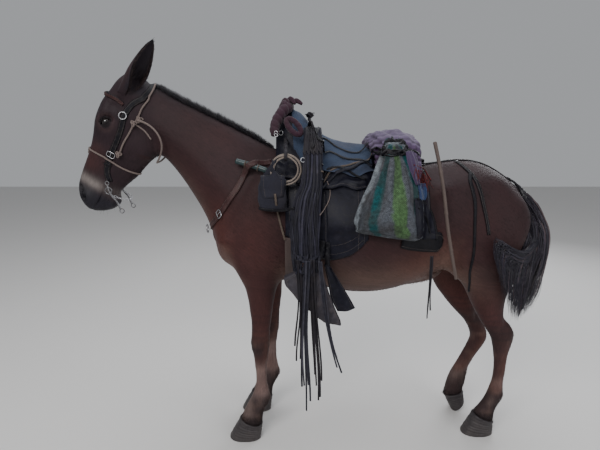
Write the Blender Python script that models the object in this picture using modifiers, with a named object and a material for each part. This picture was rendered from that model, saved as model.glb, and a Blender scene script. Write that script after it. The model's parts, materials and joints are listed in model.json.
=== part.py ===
"""A working mule at life size, standing with one hind foot rested, in its tack.

Metres, +Z up.  While it is built the mule faces -X, its near (left) side is -Y,
the ground is z = 0 and the mid-plane is y = 0.  The last step moves everything so
that the origin is the bottom centre of the whole model's box.
"""
import math

import bmesh
import bpy
import numpy as np
from mathutils import Matrix, Vector
from mathutils.bvhtree import BVHTree

for _ob in list(bpy.data.objects):
    bpy.data.objects.remove(_ob, do_unlink=True)

# ---------------------------------------------------------------- sizes (metres)
VOXEL = 0.0095          # cell of the flesh form before it is faceted
BODY_FACES = 3000       # triangles left in the flesh after faceting
GAP = 0.0005            # gap between any two solids
CUT = 0.0005            # thickness of the cuts that part the flesh

# trunk: x, centre height, up, down, half width, fullness above, fullness below
TRUNK = [
    (-0.405, 1.020, 0.050, 0.050, 0.050, 2.0, 2.0),
    (-0.375, 1.020, 0.120, 0.130, 0.110, 2.0, 2.0),
    (-0.320, 1.020, 0.200, 0.190, 0.155, 2.0, 2.1),
    (-0.240, 1.030, 0.290, 0.245, 0.180, 1.8, 2.1),
    (-0.150, 1.040, 0.328, 0.268, 0.190, 1.7, 2.1),
    (-0.050, 1.040, 0.332, 0.276, 0.203, 1.6, 2.1),
    (0.050, 1.030, 0.322, 0.285, 0.222, 1.7, 2.1),
    (0.160, 1.010, 0.306, 0.290, 0.244, 1.9, 2.1),
    (0.300, 1.000, 0.287, 0.293, 0.262, 2.0, 2.1),
    (0.430, 1.010, 0.280, 0.285, 0.258, 2.0, 2.1),
    (0.550, 1.030, 0.280, 0.262, 0.240, 1.9, 2.1),
    (0.660, 1.070, 0.258, 0.245, 0.222, 1.8, 2.1),
    (0.760, 1.090, 0.243, 0.230, 0.208, 1.8, 2.1),
    (0.860, 1.090, 0.212, 0.210, 0.192, 1.9, 2.1),
    (0.930, 1.080, 0.176, 0.180, 0.165, 2.0, 2.1),
    (0.985, 1.070, 0.125, 0.130, 0.120, 2.0, 2.0),
    (1.015, 1.065, 0.060, 0.070, 0.060, 2.0, 2.0),
]
# neck: crest x, z; underside x, z; half width
NECK = [
    (0.020, 1.350, -0.340, 0.840, 0.160),
    (-0.070, 1.372, -0.378, 0.915, 0.158),
    (-0.135, 1.403, -0.410, 0.990, 0.140),
    (-0.220, 1.450, -0.445, 1.075, 0.118),
    (-0.320, 1.502, -0.490, 1.155, 0.100),
    (-0.420, 1.552, -0.535, 1.228, 0.087),
    (-0.520, 1.602, -0.580, 1.290, 0.078),
    (-0.600, 1.640, -0.622, 1.340, 0.073),
    (-0.670, 1.662, -0.655, 1.390, 0.068),
    (-0.725, 1.662, -0.690, 1.440, 0.060),
]
# head: its frame hangs at the brow, runs down the face, and looks forward
BROW = (-0.800, 0.0, 1.665)
DOWN = (-0.375, 0.0, -0.927)
FORE = (-0.927, 0.0, 0.375)
# down the face, front, back, widest place, half width, fullness front, back
HEAD = [
    (-0.060, -0.030, -0.110, -0.060, 0.040, 2.0, 2.0),
    (-0.020, -0.004, -0.190, -0.070, 0.066, 2.2, 2.0),
    (0.043, 0.014, -0.250, -0.060, 0.080, 2.6, 2.0),
    (0.090, 0.029, -0.275, -0.052, 0.086, 2.9, 2.0),
    (0.130, 0.034, -0.281, -0.048, 0.087, 3.0, 2.0),
    (0.182, 0.037, -0.277, -0.048, 0.084, 3.0, 2.0),
    (0.240, 0.030, -0.262, -0.050, 0.074, 2.8, 2.1),
    (0.300, 0.026, -0.243, -0.052, 0.064, 2.6, 2.1),
    (0.364, 0.029, -0.215, -0.052, 0.056, 2.5, 2.2),
    (0.426, 0.033, -0.176, -0.050, 0.052, 2.4, 2.3),
    (0.470, 0.033, -0.168, -0.052, 0.054, 2.3, 2.4),
    (0.500, 0.028, -0.172, -0.052, 0.056, 2.3, 2.4),
    (0.530, 0.017, -0.164, -0.056, 0.054, 2.2, 2.4),
    (0.556, 0.002, -0.143, -0.064, 0.047, 2.1, 2.3),
    (0.574, -0.014, -0.116, -0.066, 0.036, 2.0, 2.2),
    (0.586, -0.036, -0.086, -0.060, 0.018, 2.0, 2.0),
]
# legs: height, front x, back x, middle y (near side), half width, fullness back
FORELEG = [
    (0.980, -0.350, -0.120, -0.100, 0.060, 2.0),
    (0.900, -0.322, -0.080, -0.112, 0.074, 2.0),
    (0.840, -0.290, -0.080, -0.120, 0.073, 2.0),
    (0.790, -0.262, -0.090, -0.124, 0.066, 2.0),
    (0.740, -0.252, -0.101, -0.127, 0.060, 2.0),
    (0.690, -0.245, -0.109, -0.130, 0.055, 2.0),
    (0.630, -0.236, -0.119, -0.130, 0.047, 2.0),
    (0.570, -0.229, -0.130, -0.130, 0.040, 2.0),
    (0.520, -0.229, -0.137, -0.130, 0.042, 2.2),
    (0.475, -0.228, -0.139, -0.130, 0.044, 2.2),
    (0.435, -0.222, -0.144, -0.130, 0.039, 2.0),
    (0.390, -0.217, -0.151, -0.130, 0.030, 1.9),
    (0.330, -0.213, -0.152, -0.130, 0.027, 1.9),
    (0.270, -0.216, -0.149, -0.130, 0.028, 1.9),
    (0.235, -0.226, -0.141, -0.130, 0.034, 2.0),
    (0.205, -0.240, -0.138, -0.130, 0.037, 2.0),
    (0.175, -0.256, -0.152, -0.130, 0.034, 2.0),
    (0.145, -0.270, -0.168, -0.130, 0.035, 2.0),
    (0.110, -0.284, -0.178, -0.130, 0.042, 2.0),
    (0.070, -0.296, -0.182, -0.130, 0.044, 2.0),
]
HINDLEG = [
    (1.170, 0.690, 0.985, -0.105, 0.095, 2.0),
    (1.080, 0.665, 1.022, -0.120, 0.108, 2.1),
    (1.010, 0.655, 1.008, -0.126, 0.110, 2.1),
    (0.940, 0.658, 0.980, -0.128, 0.108, 2.1),
    (0.870, 0.676, 0.962, -0.127, 0.099, 2.0),
    (0.810, 0.708, 0.958, -0.126, 0.089, 2.0),
    (0.745, 0.745, 0.954, -0.122, 0.076, 2.0),
    (0.685, 0.774, 0.944, -0.118, 0.062, 2.0),
    (0.630, 0.804, 0.953, -0.114, 0.051, 1.8),
    (0.580, 0.838, 0.984, -0.110, 0.042, 1.6),
    (0.545, 0.866, 1.006, -0.107, 0.040, 1.7),
    (0.505, 0.893, 1.008, -0.105, 0.040, 1.8),
    (0.460, 0.908, 1.000, -0.103, 0.036, 1.8),
    (0.410, 0.918, 0.991, -0.101, 0.030, 1.8),
    (0.340, 0.925, 0.988, -0.100, 0.027, 1.9),
    (0.280, 0.922, 0.984, -0.100, 0.028, 1.9),
    (0.240, 0.914, 0.984, -0.100, 0.033, 2.0),
    (0.205, 0.904, 0.986, -0.100, 0.037, 2.0),
    (0.175, 0.890, 0.976, -0.100, 0.034, 2.0),
    (0.145, 0.872, 0.961, -0.100, 0.034, 2.0),
    (0.110, 0.850, 0.950, -0.100, 0.040, 2.0),
    (0.070, 0.838, 0.950, -0.100, 0.042, 2.0),
]
RESTLEG = [
    (1.150, 0.690, 0.975, 0.105, 0.095, 2.0),
    (1.060, 0.660, 1.010, 0.120, 0.108, 2.1),
    (0.985, 0.642, 0.996, 0.127, 0.110, 2.1),
    (0.920, 0.630, 0.970, 0.128, 0.108, 2.1),
    (0.850, 0.628, 0.952, 0.128, 0.100, 2.0),
    (0.760, 0.646, 0.935, 0.122, 0.086, 2.0),
    (0.680, 0.680, 0.905, 0.115, 0.069, 2.0),
    (0.615, 0.733, 0.896, 0.110, 0.056, 2.0),
    (0.555, 0.788, 0.912, 0.105, 0.047, 1.8),
    (0.505, 0.838, 0.936, 0.100, 0.042, 1.6),
    (0.455, 0.868, 0.964, 0.097, 0.040, 1.6),
    (0.415, 0.879, 0.972, 0.095, 0.040, 1.7),
    (0.375, 0.866, 0.958, 0.094, 0.037, 1.8),
    (0.325, 0.842, 0.928, 0.092, 0.031, 1.8),
    (0.275, 0.817, 0.900, 0.090, 0.028, 1.9),
    (0.225, 0.792, 0.882, 0.090, 0.030, 1.9),
    (0.185, 0.778, 0.875, 0.090, 0.036, 2.0),
    (0.150, 0.769, 0.870, 0.090, 0.037, 2.0),
    (0.120, 0.765, 0.863, 0.090, 0.036, 2.0),
    (0.095, 0.763, 0.862, 0.090, 0.040, 2.0),
    (0.050, 0.766, 0.866, 0.090, 0.040, 2.0),
]
FARFORE_SHIFT = (0.034, 0.100)   # far foreleg: this much further back, its middle y
EYE_R = 0.0205
EYE = (-0.836, 0.0655, 1.494)     # x, |y|, z


# ---------------------------------------------------------------- small tools
def unit(v):
    v = np.asarray(v, float)
    return v / np.linalg.norm(v)


def hermite(t, y, q):
    """Smooth curve through the rows y at the knots t, read at q."""
    t = np.asarray(t, float)
    y = np.asarray(y, float)
    q = np.asarray(q, float)
    h = np.diff(t)
    d = np.diff(y, axis=0) / h[:, None]
    m = np.empty_like(y)
    m[1:-1] = (d[:-1] * h[1:, None] + d[1:] * h[:-1, None]) / (h[1:] + h[:-1])[:, None]
    m[0] = d[0]
    m[-1] = d[-1]
    i = np.clip(np.searchsorted(t, q, side="right") - 1, 0, len(h) - 1)
    s = ((q - t[i]) / h[i])[:, None]
    H = h[i][:, None]
    return ((1 + 2 * s) * (1 - s) ** 2 * y[i] + s * (1 - s) ** 2 * H * m[i]
            + s * s * (3 - 2 * s) * y[i + 1] + s * s * (s - 1) * H * m[i + 1])


def ring_rows(rows, seg, step):
    """Closed loft through rows of centre, two directions, four reaches, two fullnesses."""
    R = np.array([np.concatenate([np.asarray(r[0], float), unit(r[1]), unit(r[2]),
                                  np.array(r[3:], float)]) for r in rows])
    t = np.concatenate([[0.0], np.cumsum(np.linalg.norm(np.diff(R[:, :3], axis=0), axis=1) + 1e-3)])
    n = max(len(rows), int(t[-1] / step) + 1)
    A = hermite(t, R, np.linspace(0.0, t[-1], n))
    th = np.linspace(0.0, 2 * math.pi, seg, endpoint=False)
    c, s = np.cos(th), np.sin(th)
    verts = []
    for a in A:
        cen, U, V = a[:3], unit(a[3:6]), unit(a[6:9])
        up, dn, lf, rt, nu, nd = a[9:15]
        e = np.where(c >= 0, 2.0 / nu, 2.0 / nd)
        cu = np.sign(c) * np.abs(c) ** e
        su = np.sign(s) * np.abs(s) ** e
        uu = np.where(c >= 0, cu * up, cu * dn)
        vv = np.where(s >= 0, su * lf, su * rt)
        verts.append(cen[None] + uu[:, None] * U[None] + vv[:, None] * V[None])
    verts = np.concatenate(verts)
    faces = []
    for i in range(n - 1):
        for j in range(seg):
            k = (j + 1) % seg
            faces.append((i * seg + j, i * seg + k, (i + 1) * seg + k, (i + 1) * seg + j))
    faces.append(tuple(range(seg - 1, -1, -1)))
    faces.append(tuple((n - 1) * seg + j for j in range(seg)))
    return verts, faces


def ball(centre, radii, axis=(0, 0, 1), spin=(1, 0, 0)):
    """Ellipsoid: radii along spin, across, and along axis."""
    bm = bmesh.new()
    bmesh.ops.create_icosphere(bm, subdivisions=4, radius=1.0)
    w = unit(axis)
    u = np.asarray(spin, float)
    u = unit(u - w * np.dot(u, w))
    v = np.cross(w, u)
    co = np.array([x.co for x in bm.verts])
    faces = [tuple(x.index for x in f.verts) for f in bm.faces]
    bm.free()
    p = (co[:, :1] * radii[0] * u + co[:, 1:2] * radii[1] * v + co[:, 2:] * radii[2] * w)
    return p + np.asarray(centre, float), faces


def limb(points, seg=20, step=0.02):
    """Round-ended limb through (x, y, z, radius) points."""
    P = np.array(points, float)
    rows = []
    for i in range(len(P)):
        a = P[max(i - 1, 0), :3]
        b = P[min(i + 1, len(P) - 1), :3]
        w = unit(b - a)
        ref = np.array([0.0, 1.0, 0.0]) if abs(w[1]) < 0.9 else np.array([1.0, 0.0, 0.0])
        u = unit(ref - w * np.dot(ref, w))
        rows.append((w, u, np.cross(w, u)))
    out = []
    w, u, v = rows[0]
    for k in (1.0, 0.86, 0.5):
        r = P[0, 3]
        out.append((P[0, :3] - w * r * k * 0.9, u, v) + (r * math.sqrt(max(1 - k * k, 0.02)),) * 4 + (2, 2))
    for i in range(len(P)):
        w, u, v = rows[i]
        out.append((P[i, :3], u, v) + (P[i, 3],) * 4 + (2, 2))
    w, u, v = rows[-1]
    for k in (0.5, 0.86, 1.0):
        r = P[-1, 3]
        out.append((P[-1, :3] + w * r * k * 0.9, u, v) + (r * math.sqrt(max(1 - k * k, 0.02)),) * 4 + (2, 2))
    return ring_rows(out, seg, step)


def join(parts):
    vs, fs, k = [], [], 0
    for v, f in parts:
        vs.append(np.asarray(v))
        fs += [tuple(i + k for i in g) for g in f]
        k += len(v)
    return np.concatenate(vs), fs


def outward(me):
    bm = bmesh.new()
    bm.from_mesh(me)
    bmesh.ops.recalc_face_normals(bm, faces=bm.faces)
    if bm.calc_volume(signed=True) < 0:
        bmesh.ops.reverse_faces(bm, faces=bm.faces)
    bm.to_mesh(me)
    bm.free()


def mesh_object(name, verts, faces, coll=None, fix=True):
    me = bpy.data.meshes.new(name)
    me.from_pydata([tuple(float(c) for c in v) for v in verts], [], [tuple(int(i) for i in f) for f in faces])
    me.update()
    if fix:
        outward(me)
    ob = bpy.data.objects.new(name, me)
    (coll or WORK).objects.link(ob)
    return ob


def apply_modifiers(ob):
    dg = bpy.context.evaluated_depsgraph_get()
    dg.update()
    me = bpy.data.meshes.new_from_object(ob.evaluated_get(dg))
    ob.modifiers.clear()
    old = ob.data
    ob.data = me
    bpy.data.meshes.remove(old)
    return ob


def remesh(ob, size):
    m = ob.modifiers.new("Remesh", "REMESH")
    m.mode = "VOXEL"
    m.voxel_size = size
    m.adaptivity = 0.0
    return apply_modifiers(ob)


def head_point(s, t, y=0.0):
    """Place s down the face and t forward of the head's line, y to the side."""
    return np.array([BROW[0] + s * DOWN[0] + t * FORE[0], y, BROW[2] + s * DOWN[2] + t * FORE[2]])


# ---------------------------------------------------------------- flesh: the forms
def trunk_form():
    rows = [((x, 0, zc), (0, 0, 1), (0, 1, 0), up, dn, w, w, nu, nd)
            for x, zc, up, dn, w, nu, nd in TRUNK]
    return ring_rows(rows, 48, 0.03)


def neck_form():
    rows = []
    for cx, cz, bx, bz, w in NECK:
        top = np.array([cx, 0.0, cz])
        bot = np.array([bx, 0.0, bz])
        cen = bot + (top - bot) * 0.44
        L = np.linalg.norm(top - bot)
        rows.append((cen, top - bot, (0, 1, 0), L * 0.56, L * 0.44, w, w, 1.65, 2.1))
    return ring_rows(rows, 40, 0.03)


def head_form():
    rows = []
    for s, tf, tb, tc, w, nf, nb in HEAD:
        rows.append((head_point(s, tc), FORE, (0, 1, 0), tf - tc, tc - tb, w, w, nf, nb))
    return ring_rows(rows, 44, 0.015)


def leg_form(table, shift=0.0, mid=None, flip=False):
    rows = []
    for z, xf, xb, yc, w, nb in table:
        y = -yc if flip else yc
        if mid is not None:
            k = min(max((0.98 - z) / 0.35, 0.0), 1.0)
            y = y * (1 - k) + mid * k
        dx = shift * min(max((0.98 - z) / 0.35, 0.0), 1.0)
        rows.append((((xf + xb) / 2 + dx, y, z), (-1, 0, 0), (0, 1, 0),
                     (xb - xf) / 2, (xb - xf) / 2, w, w, 2.1, nb))
    return ring_rows(rows, 28, 0.012)


def flesh_forms():
    F = [trunk_form(), neck_form(), head_form(),
         leg_form(FORELEG), leg_form(FORELEG, FARFORE_SHIFT[0], FARFORE_SHIFT[1], True),
         leg_form(HINDLEG), leg_form(RESTLEG)]
    for s in (-1, 1):
        low = 0.03 if s > 0 else 0.0        # the rested side hangs a little lower
        fx = FARFORE_SHIFT[0] * 0.4 if s > 0 else 0.0
        F += [
            # shoulder, breast, back of the arm
            ball((-0.175, s * 0.115, 1.110), (0.110, 0.066, 0.190), (0.45, 0, 1)),
            ball((-0.290, s * 0.108, 0.985), (0.090, 0.066, 0.095), (0.45, 0, 1)),
            ball((-0.325, s * 0.060, 0.925), (0.062, 0.056, 0.080), (0.3, 0, 1)),
            ball((-0.125 + fx, s * 0.135, 0.930), (0.110, 0.056, 0.130), (0.3, 0, 1)),
            ball((-0.225 + fx, s * 0.132, 0.870), (0.070, 0.056, 0.120)),
            # hip, rump, seat bone, thigh, stifle
            ball((0.605, s * 0.165, 1.200 - low), (0.075, 0.048, 0.050)),
            ball((0.765, s * 0.105, 1.165 - low), (0.180, 0.100, 0.125), (0, 0, 1), (1, 0, -0.25)),
            ball((0.960, s * 0.090, 1.085 - low), (0.060, 0.066, 0.105)),
            ball((0.880, s * 0.125, 0.990 - low), (0.110, 0.092, 0.175)),
            ball((0.720 - low, s * 0.140, 0.900 - low), (0.080, 0.080, 0.115), (-0.3, 0, 1)),
            # jaw muscle, brow, cheek ridge, nostril, lips, chin
            ball(head_point(0.215, -0.165, s * 0.040), (0.098, 0.034, 0.092), DOWN, FORE),
            ball(head_point(0.135, -0.018, s * 0.064), (0.034, 0.030, 0.034), DOWN, FORE),
            limb([tuple(head_point(0.205, -0.060, s * 0.066)) + (0.014,),
                  tuple(head_point(0.270, -0.066, s * 0.058)) + (0.012,),
                  tuple(head_point(0.330, -0.070, s * 0.050)) + (0.009,)], 12, 0.01),
            ball(head_point(0.512, -0.018, s * 0.038), (0.026, 0.019, 0.036), DOWN, FORE),
            ball(head_point(0.548, -0.060, s * 0.026), (0.040, 0.026, 0.034), DOWN, FORE),
            ball(head_point(0.505, -0.140, s * 0.022), (0.034, 0.028, 0.042), DOWN, FORE),
            # ear seat
            ball(head_point(0.030, -0.070, s * 0.058), (0.040, 0.034, 0.040), DOWN, FORE),
        ]
    # breast bone, root of the tail, sheath
    F.append(limb([(-0.310, 0, 0.915, 0.075), (-0.200, 0, 0.850, 0.075), (-0.060, 0, 0.830, 0.060)]))
    F.append(limb([(0.860, 0, 1.225, 0.055), (0.950, 0, 1.200, 0.042), (1.020, 0, 1.165, 0.030)]))
    F.append(limb([(0.640, 0, 0.810, 0.055), (0.560, 0, 0.775, 0.046), (0.500, 0, 0.757, 0.036)]))
    return F


class Net:
    """Vertices, edges and triangles of a mesh as arrays, with simple smoothing."""

    def __init__(self, me):
        n = len(me.vertices)
        self.p = np.empty(n * 3)
        me.vertices.foreach_get("co", self.p)
        self.p = self.p.reshape(-1, 3)
        e = np.empty(len(me.edges) * 2, dtype=np.int64)
        me.edges.foreach_get("vertices", e)
        self.e = e.reshape(-1, 2)
        me.calc_loop_triangles()
        t = np.empty(len(me.loop_triangles) * 3, dtype=np.int64)
        me.loop_triangles.foreach_get("vertices", t)
        self.t = t.reshape(-1, 3)
        self.deg = np.bincount(self.e.ravel(), minlength=n).astype(float)
        self.n = n

    def lap(self, p=None):
        p = self.p if p is None else p
        a, b = self.e[:, 0], self.e[:, 1]
        out = np.empty_like(p)
        for k in range(p.shape[1]):
            out[:, k] = (np.bincount(a, p[b, k], self.n) + np.bincount(b, p[a, k], self.n)) / self.deg
        return out - p

    def normals(self):
        p, t = self.p, self.t
        f = np.cross(p[t[:, 1]] - p[t[:, 0]], p[t[:, 2]] - p[t[:, 0]])
        out = np.zeros_like(p)
        for k in range(3):
            for j in range(3):
                out[:, k] += np.bincount(t[:, j], f[:, k], self.n)
        return out / (np.linalg.norm(out, axis=1, keepdims=True) + 1e-12)

    def smooth(self, times, mask=1.0):
        """Evens the surface without shrinking it."""
        mask = np.broadcast_to(mask, (self.n,))[:, None]
        for _ in range(times):
            self.p = self.p + 0.55 * mask * self.lap()
            self.p = self.p - 0.57 * mask * self.lap()

    def fill(self, times, mask=1.0):
        """Fills creases between forms, leaves what stands out."""
        mask = np.broadcast_to(mask, (self.n,))
        for i in range(times):
            if i % 4 == 0:
                nn = self.normals()
            d = (self.lap() * nn).sum(1)
            d = np.where(d > 0, d, 0.15 * d) * mask
            self.p = self.p + 0.7 * d[:, None] * nn

    def put(self, me):
        me.vertices.foreach_set("co", self.p.ravel())
        me.update()


def near(p, c, r):
    d = (p - np.asarray(c, float)) / np.asarray(r, float)
    return np.exp(-(d * d).sum(1))


def along(p, pts, r):
    """Soft band about a polyline."""
    P = np.array(pts, float)
    best = np.full(len(p), 1e9)
    for a, b in zip(P[:-1], P[1:]):
        ab = b - a
        u = np.clip(((p - a) @ ab) / (ab @ ab), 0, 1)
        d = np.linalg.norm(p - (a + u[:, None] * ab), axis=1)
        best = np.minimum(best, d)
    return np.exp(-(best / r) ** 2)


def model_face(net):
    """Hollows and ridges that the forms alone don't give."""
    for s in (-1, 1):
        n = net.normals()
        p = net.p
        H = lambda a, b, y: head_point(a, b, s * y)
        d = np.zeros(len(p))
        d -= 0.007 * near(p, H(0.095, -0.045, 0.085), (0.024, 0.03, 0.022))      # hollow over the eye
        d -= 0.006 * near(p, H(0.245, -0.020, 0.070), (0.045, 0.03, 0.060))      # beside the nose
        d -= 0.004 * near(p, H(0.330, -0.110, 0.055), (0.05, 0.03, 0.05))       # in front of the jaw muscle
        d -= 0.010 * near(p, H(0.516, -0.014, 0.055), (0.014, 0.02, 0.017))      # nostril
        d -= 0.003 * along(p, [H(0.585, -0.055, 0.0), H(0.555, -0.085, 0.040),
                               H(0.500, -0.100, 0.052), H(0.450, -0.110, 0.052)], 0.006)   # mouth
        d -= 0.006 * near(p, H(0.470, -0.175, 0.0), (0.02, 0.06, 0.03))          # chin groove
        d += 0.003 * along(p, [H(0.110, -0.010, 0.080), H(0.118, -0.035, 0.090)], 0.014)
        net.p = p + d[:, None] * n


def model_body(net):
    """Muscle and bone under the skin of trunk, neck and limbs."""
    n = net.normals()
    p = net.p
    d = np.zeros(len(p))
    for s in (-1, 1):
        side = 1.0 / (1.0 + np.exp(-s * p[:, 1] / 0.02))
        low = 0.03 if s > 0 else 0.0
        fx = FARFORE_SHIFT[0] if s > 0 else 0.0
        d += side * (
            # flank hollow, point of hip, groove behind the thigh, fold of the stifle
            -0.012 * near(p, (0.570, s * 0.21, 1.110 - low), (0.060, 0.1, 0.085))
            + 0.009 * near(p, (0.612, s * 0.20, 1.215 - low), (0.035, 0.06, 0.030))
            - 0.006 * along(p, [(0.905, s * 0.16, 1.130), (0.900, s * 0.20, 1.000), (0.900, s * 0.20, 0.880)], 0.022)
            + 0.007 * near(p, (0.742 - low, s * 0.20, 0.905 - low), (0.040, 0.06, 0.045))
            - 0.006 * along(p, [(0.690, s * 0.22, 0.980), (0.665, s * 0.20, 0.900)], 0.025)
            # behind the shoulder, edge of the blade, point of the shoulder, back of the arm
            - 0.010 * along(p, [(-0.020, s * 0.16, 1.240), (-0.030, s * 0.19, 1.100), (-0.030, s * 0.18, 0.960)], 0.035)
            - 0.006 * along(p, [(-0.190, s * 0.12, 1.300), (-0.290, s * 0.15, 1.120), (-0.350, s * 0.13, 1.010)], 0.024)
            + 0.008 * near(p, (-0.338, s * 0.145, 0.985), (0.035, 0.05, 0.035))
            + 0.007 * near(p, (-0.120 + fx * 0.4, s * 0.19, 0.930), (0.070, 0.06, 0.070))
            - 0.006 * along(p, [(-0.230 + fx, s * 0.19, 0.960), (-0.170 + fx, s * 0.19, 0.850)], 0.018)
            # neck: gullet groove and the long muscle above it
            - 0.006 * along(p, [(-0.640, s * 0.08, 1.380), (-0.540, s * 0.09, 1.260), (-0.420, s * 0.11, 1.080)], 0.022)
            + 0.004 * along(p, [(-0.600, s * 0.08, 1.460), (-0.450, s * 0.10, 1.330), (-0.300, s * 0.13, 1.180)], 0.035))
    # groove between the breast muscles, between the thighs behind
    d -= 0.010 * along(p, [(-0.420, 0.0, 0.960), (-0.390, 0.0, 0.890)], 0.016)
    d -= 0.010 * along(p, [(1.010, 0.0, 1.080), (0.990, 0.0, 0.960)], 0.020)
    # limbs: knee, tendons, hock, fetlock
    for x, y in ((0.0, -0.130), (FARFORE_SHIFT[0], FARFORE_SHIFT[1])):
        d += 0.004 * near(p, (-0.222 + x, y, 0.485), (0.02, 0.05, 0.035))
        for s in (-1, 1):
            d -= 0.0045 * along(p, [(-0.172 + x, y + s * 0.035, 0.395), (-0.172 + x, y + s * 0.030, 0.250)], 0.009)
            d += 0.003 * near(p, (-0.180 + x, y + s * 0.040, 0.485), (0.03, 0.02, 0.03))
    for pts, y in (([(0.962, 0.0, 0.425), (0.958, 0.0, 0.270)], -0.100), ([(0.925, 0.0, 0.345), (0.862, 0.0, 0.225)], 0.090)):
        for s in (-1, 1):
            d -= 0.0045 * along(p, [(a, y + s * 0.030, c) for a, b, c in pts], 0.009)
    for x, y, z in ((0.955, -0.107, 0.605), (0.900, 0.103, 0.520)):
        for s in (-1, 1):
            d -= 0.009 * near(p, (x, y + s * 0.035, z), (0.018, 0.03, 0.045))     # in front of the hock's cord
    net.p = p + d[:, None] * n


def flesh(size, fill, ease):
    """The whole animal in one skin."""
    v, f = join(flesh_forms())
    ob = mesh_object("flesh", v, f, fix=False)
    remesh(ob, size)
    net = Net(ob.data)
    head = 1.0 / (1.0 + np.exp(((net.p[:, 0] + 0.66) * 0.93 + (net.p[:, 2] - 1.40) * -0.37) / 0.02))
    low = 1.0 / (1.0 + np.exp((net.p[:, 2] - 0.62) / 0.04))
    keep = (1.0 - head) * (1.0 - low)
    net.fill(fill // 4, 1.0 - 0.55 * head - 0.45 * low)
    net.fill(fill - fill // 4, keep)
    for _ in range(ease):
        net.p = net.p + 0.5 * keep[:, None] * net.lap()
    net.smooth(6, 1.0 - 0.5 * head)
    model_body(net)
    model_face(net)
    net.smooth(2, 0.6)
    net.put(ob.data)
    return ob


def facet(ob, count):
    tri = sum(len(f.vertices) - 2 for f in ob.data.polygons)
    m = ob.modifiers.new("Facet", "DECIMATE")
    m.ratio = min(1.0, count / tri)
    m.use_collapse_triangulate = True
    return apply_modifiers(ob)


WORK = bpy.data.collections.new("cutters")
bpy.context.scene.collection.children.link(WORK)
MULE = bpy.data.collections.new("mule")
bpy.context.scene.collection.children.link(MULE)

body = flesh(VOXEL, 120, 30)

# ---------------------------------------------------------------- eyes, ears, hooves
def tri_count(ob):
    return sum(len(f.vertices) - 2 for f in ob.data.polygons)


def boolean(ob, cutter, op="DIFFERENCE"):
    m = ob.modifiers.new("Cut", "BOOLEAN")
    m.operation = op
    m.solver = "EXACT"
    m.object = cutter
    return apply_modifiers(ob)


def islands(ob):
    """Splits a mesh into its loose bodies, largest first."""
    bm = bmesh.new()
    bm.from_mesh(ob.data)
    bm.verts.ensure_lookup_table()
    seen = set()
    out = []
    for v in bm.verts:
        if v.index in seen:
            continue
        stack, comp = [v], []
        seen.add(v.index)
        while stack:
            a = stack.pop()
            comp.append(a.index)
            for e in a.link_edges:
                b = e.other_vert(a)
                if b.index not in seen:
                    seen.add(b.index)
                    stack.append(b)
        out.append(set(comp))
    res = []
    for comp in out:
        b2 = bm.copy()
        b2.verts.ensure_lookup_table()
        bmesh.ops.delete(b2, geom=[x for x in b2.verts if x.index not in comp], context="VERTS")
        me = bpy.data.meshes.new("bit")
        vol = abs(b2.calc_volume())
        b2.to_mesh(me)
        b2.free()
        res.append((vol, me))
    bm.free()
    res.sort(key=lambda x: -x[0])
    return res


def keep_largest(ob):
    res = islands(ob)
    old = ob.data
    ob.data = res[0][1]
    for _, me in res[1:]:
        bpy.data.meshes.remove(me)
    bpy.data.meshes.remove(old)
    return ob


def clean(ob, dist=0.00002):
    bm = bmesh.new()
    bm.from_mesh(ob.data)
    bmesh.ops.remove_doubles(bm, verts=bm.verts, dist=dist)
    bmesh.ops.dissolve_degenerate(bm, dist=dist, edges=bm.edges)
    bmesh.ops.triangulate(bm, faces=bm.faces)
    bmesh.ops.recalc_face_normals(bm, faces=bm.faces)
    if bm.calc_volume(signed=True) < 0:
        bmesh.ops.reverse_faces(bm, faces=bm.faces)
    bm.to_mesh(ob.data)
    bm.free()
    return ob


def swollen(ob, by, name="swollen"):
    """A copy of a solid grown along its normals, for trimming what lies on it."""
    net = Net(ob.data)
    me = ob.data.copy()
    net.p = net.p + by * net.normals()
    net.put(me)
    c = bpy.data.objects.new(name, me)
    WORK.objects.link(c)
    return c


def block(size, centre, turn=(0, 0, 0)):
    bm = bmesh.new()
    bmesh.ops.create_cube(bm, size=1.0)
    M = (Matrix.Translation(Vector(centre)) @ Matrix.Rotation(turn[2], 4, "Z") @ Matrix.Rotation(turn[1], 4, "Y")
         @ Matrix.Rotation(turn[0], 4, "X") @ Matrix.Diagonal((size[0], size[1], size[2], 1.0)))
    bmesh.ops.transform(bm, matrix=M, verts=bm.verts)
    me = bpy.data.meshes.new("block")
    bm.to_mesh(me)
    bm.free()
    ob = bpy.data.objects.new("block", me)
    WORK.objects.link(ob)
    return ob


def drop(ob):
    me = ob.data
    bpy.data.objects.remove(ob, do_unlink=True)
    if me.users == 0:
        bpy.data.meshes.remove(me)


def eye_solid(name, side):
    bm = bmesh.new()
    bmesh.ops.create_uvsphere(bm, u_segments=12, v_segments=7, radius=EYE_R)
    M = Matrix.Translation(Vector((EYE[0], side * EYE[1], EYE[2]))) @ Matrix.Rotation(math.radians(90), 4, "X")
    bmesh.ops.transform(bm, matrix=M, verts=bm.verts)
    me = bpy.data.meshes.new(name)
    bm.to_mesh(me)
    bm.free()
    ob = bpy.data.objects.new(name, me)
    MULE.objects.link(ob)
    return ob


# ear: share of length, half width, how far round it closes (degrees), depth share
EAR = [(0.00, 0.026, 165, 1.00), (0.12, 0.034, 150, 0.98), (0.28, 0.044, 120, 0.90), (0.45, 0.050, 98, 0.78),
       (0.62, 0.047, 84, 0.66), (0.78, 0.037, 74, 0.56), (0.90, 0.024, 68, 0.46), (0.97, 0.011, 60, 0.40),
       (1.00, 0.004, 55, 0.35)]
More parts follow.
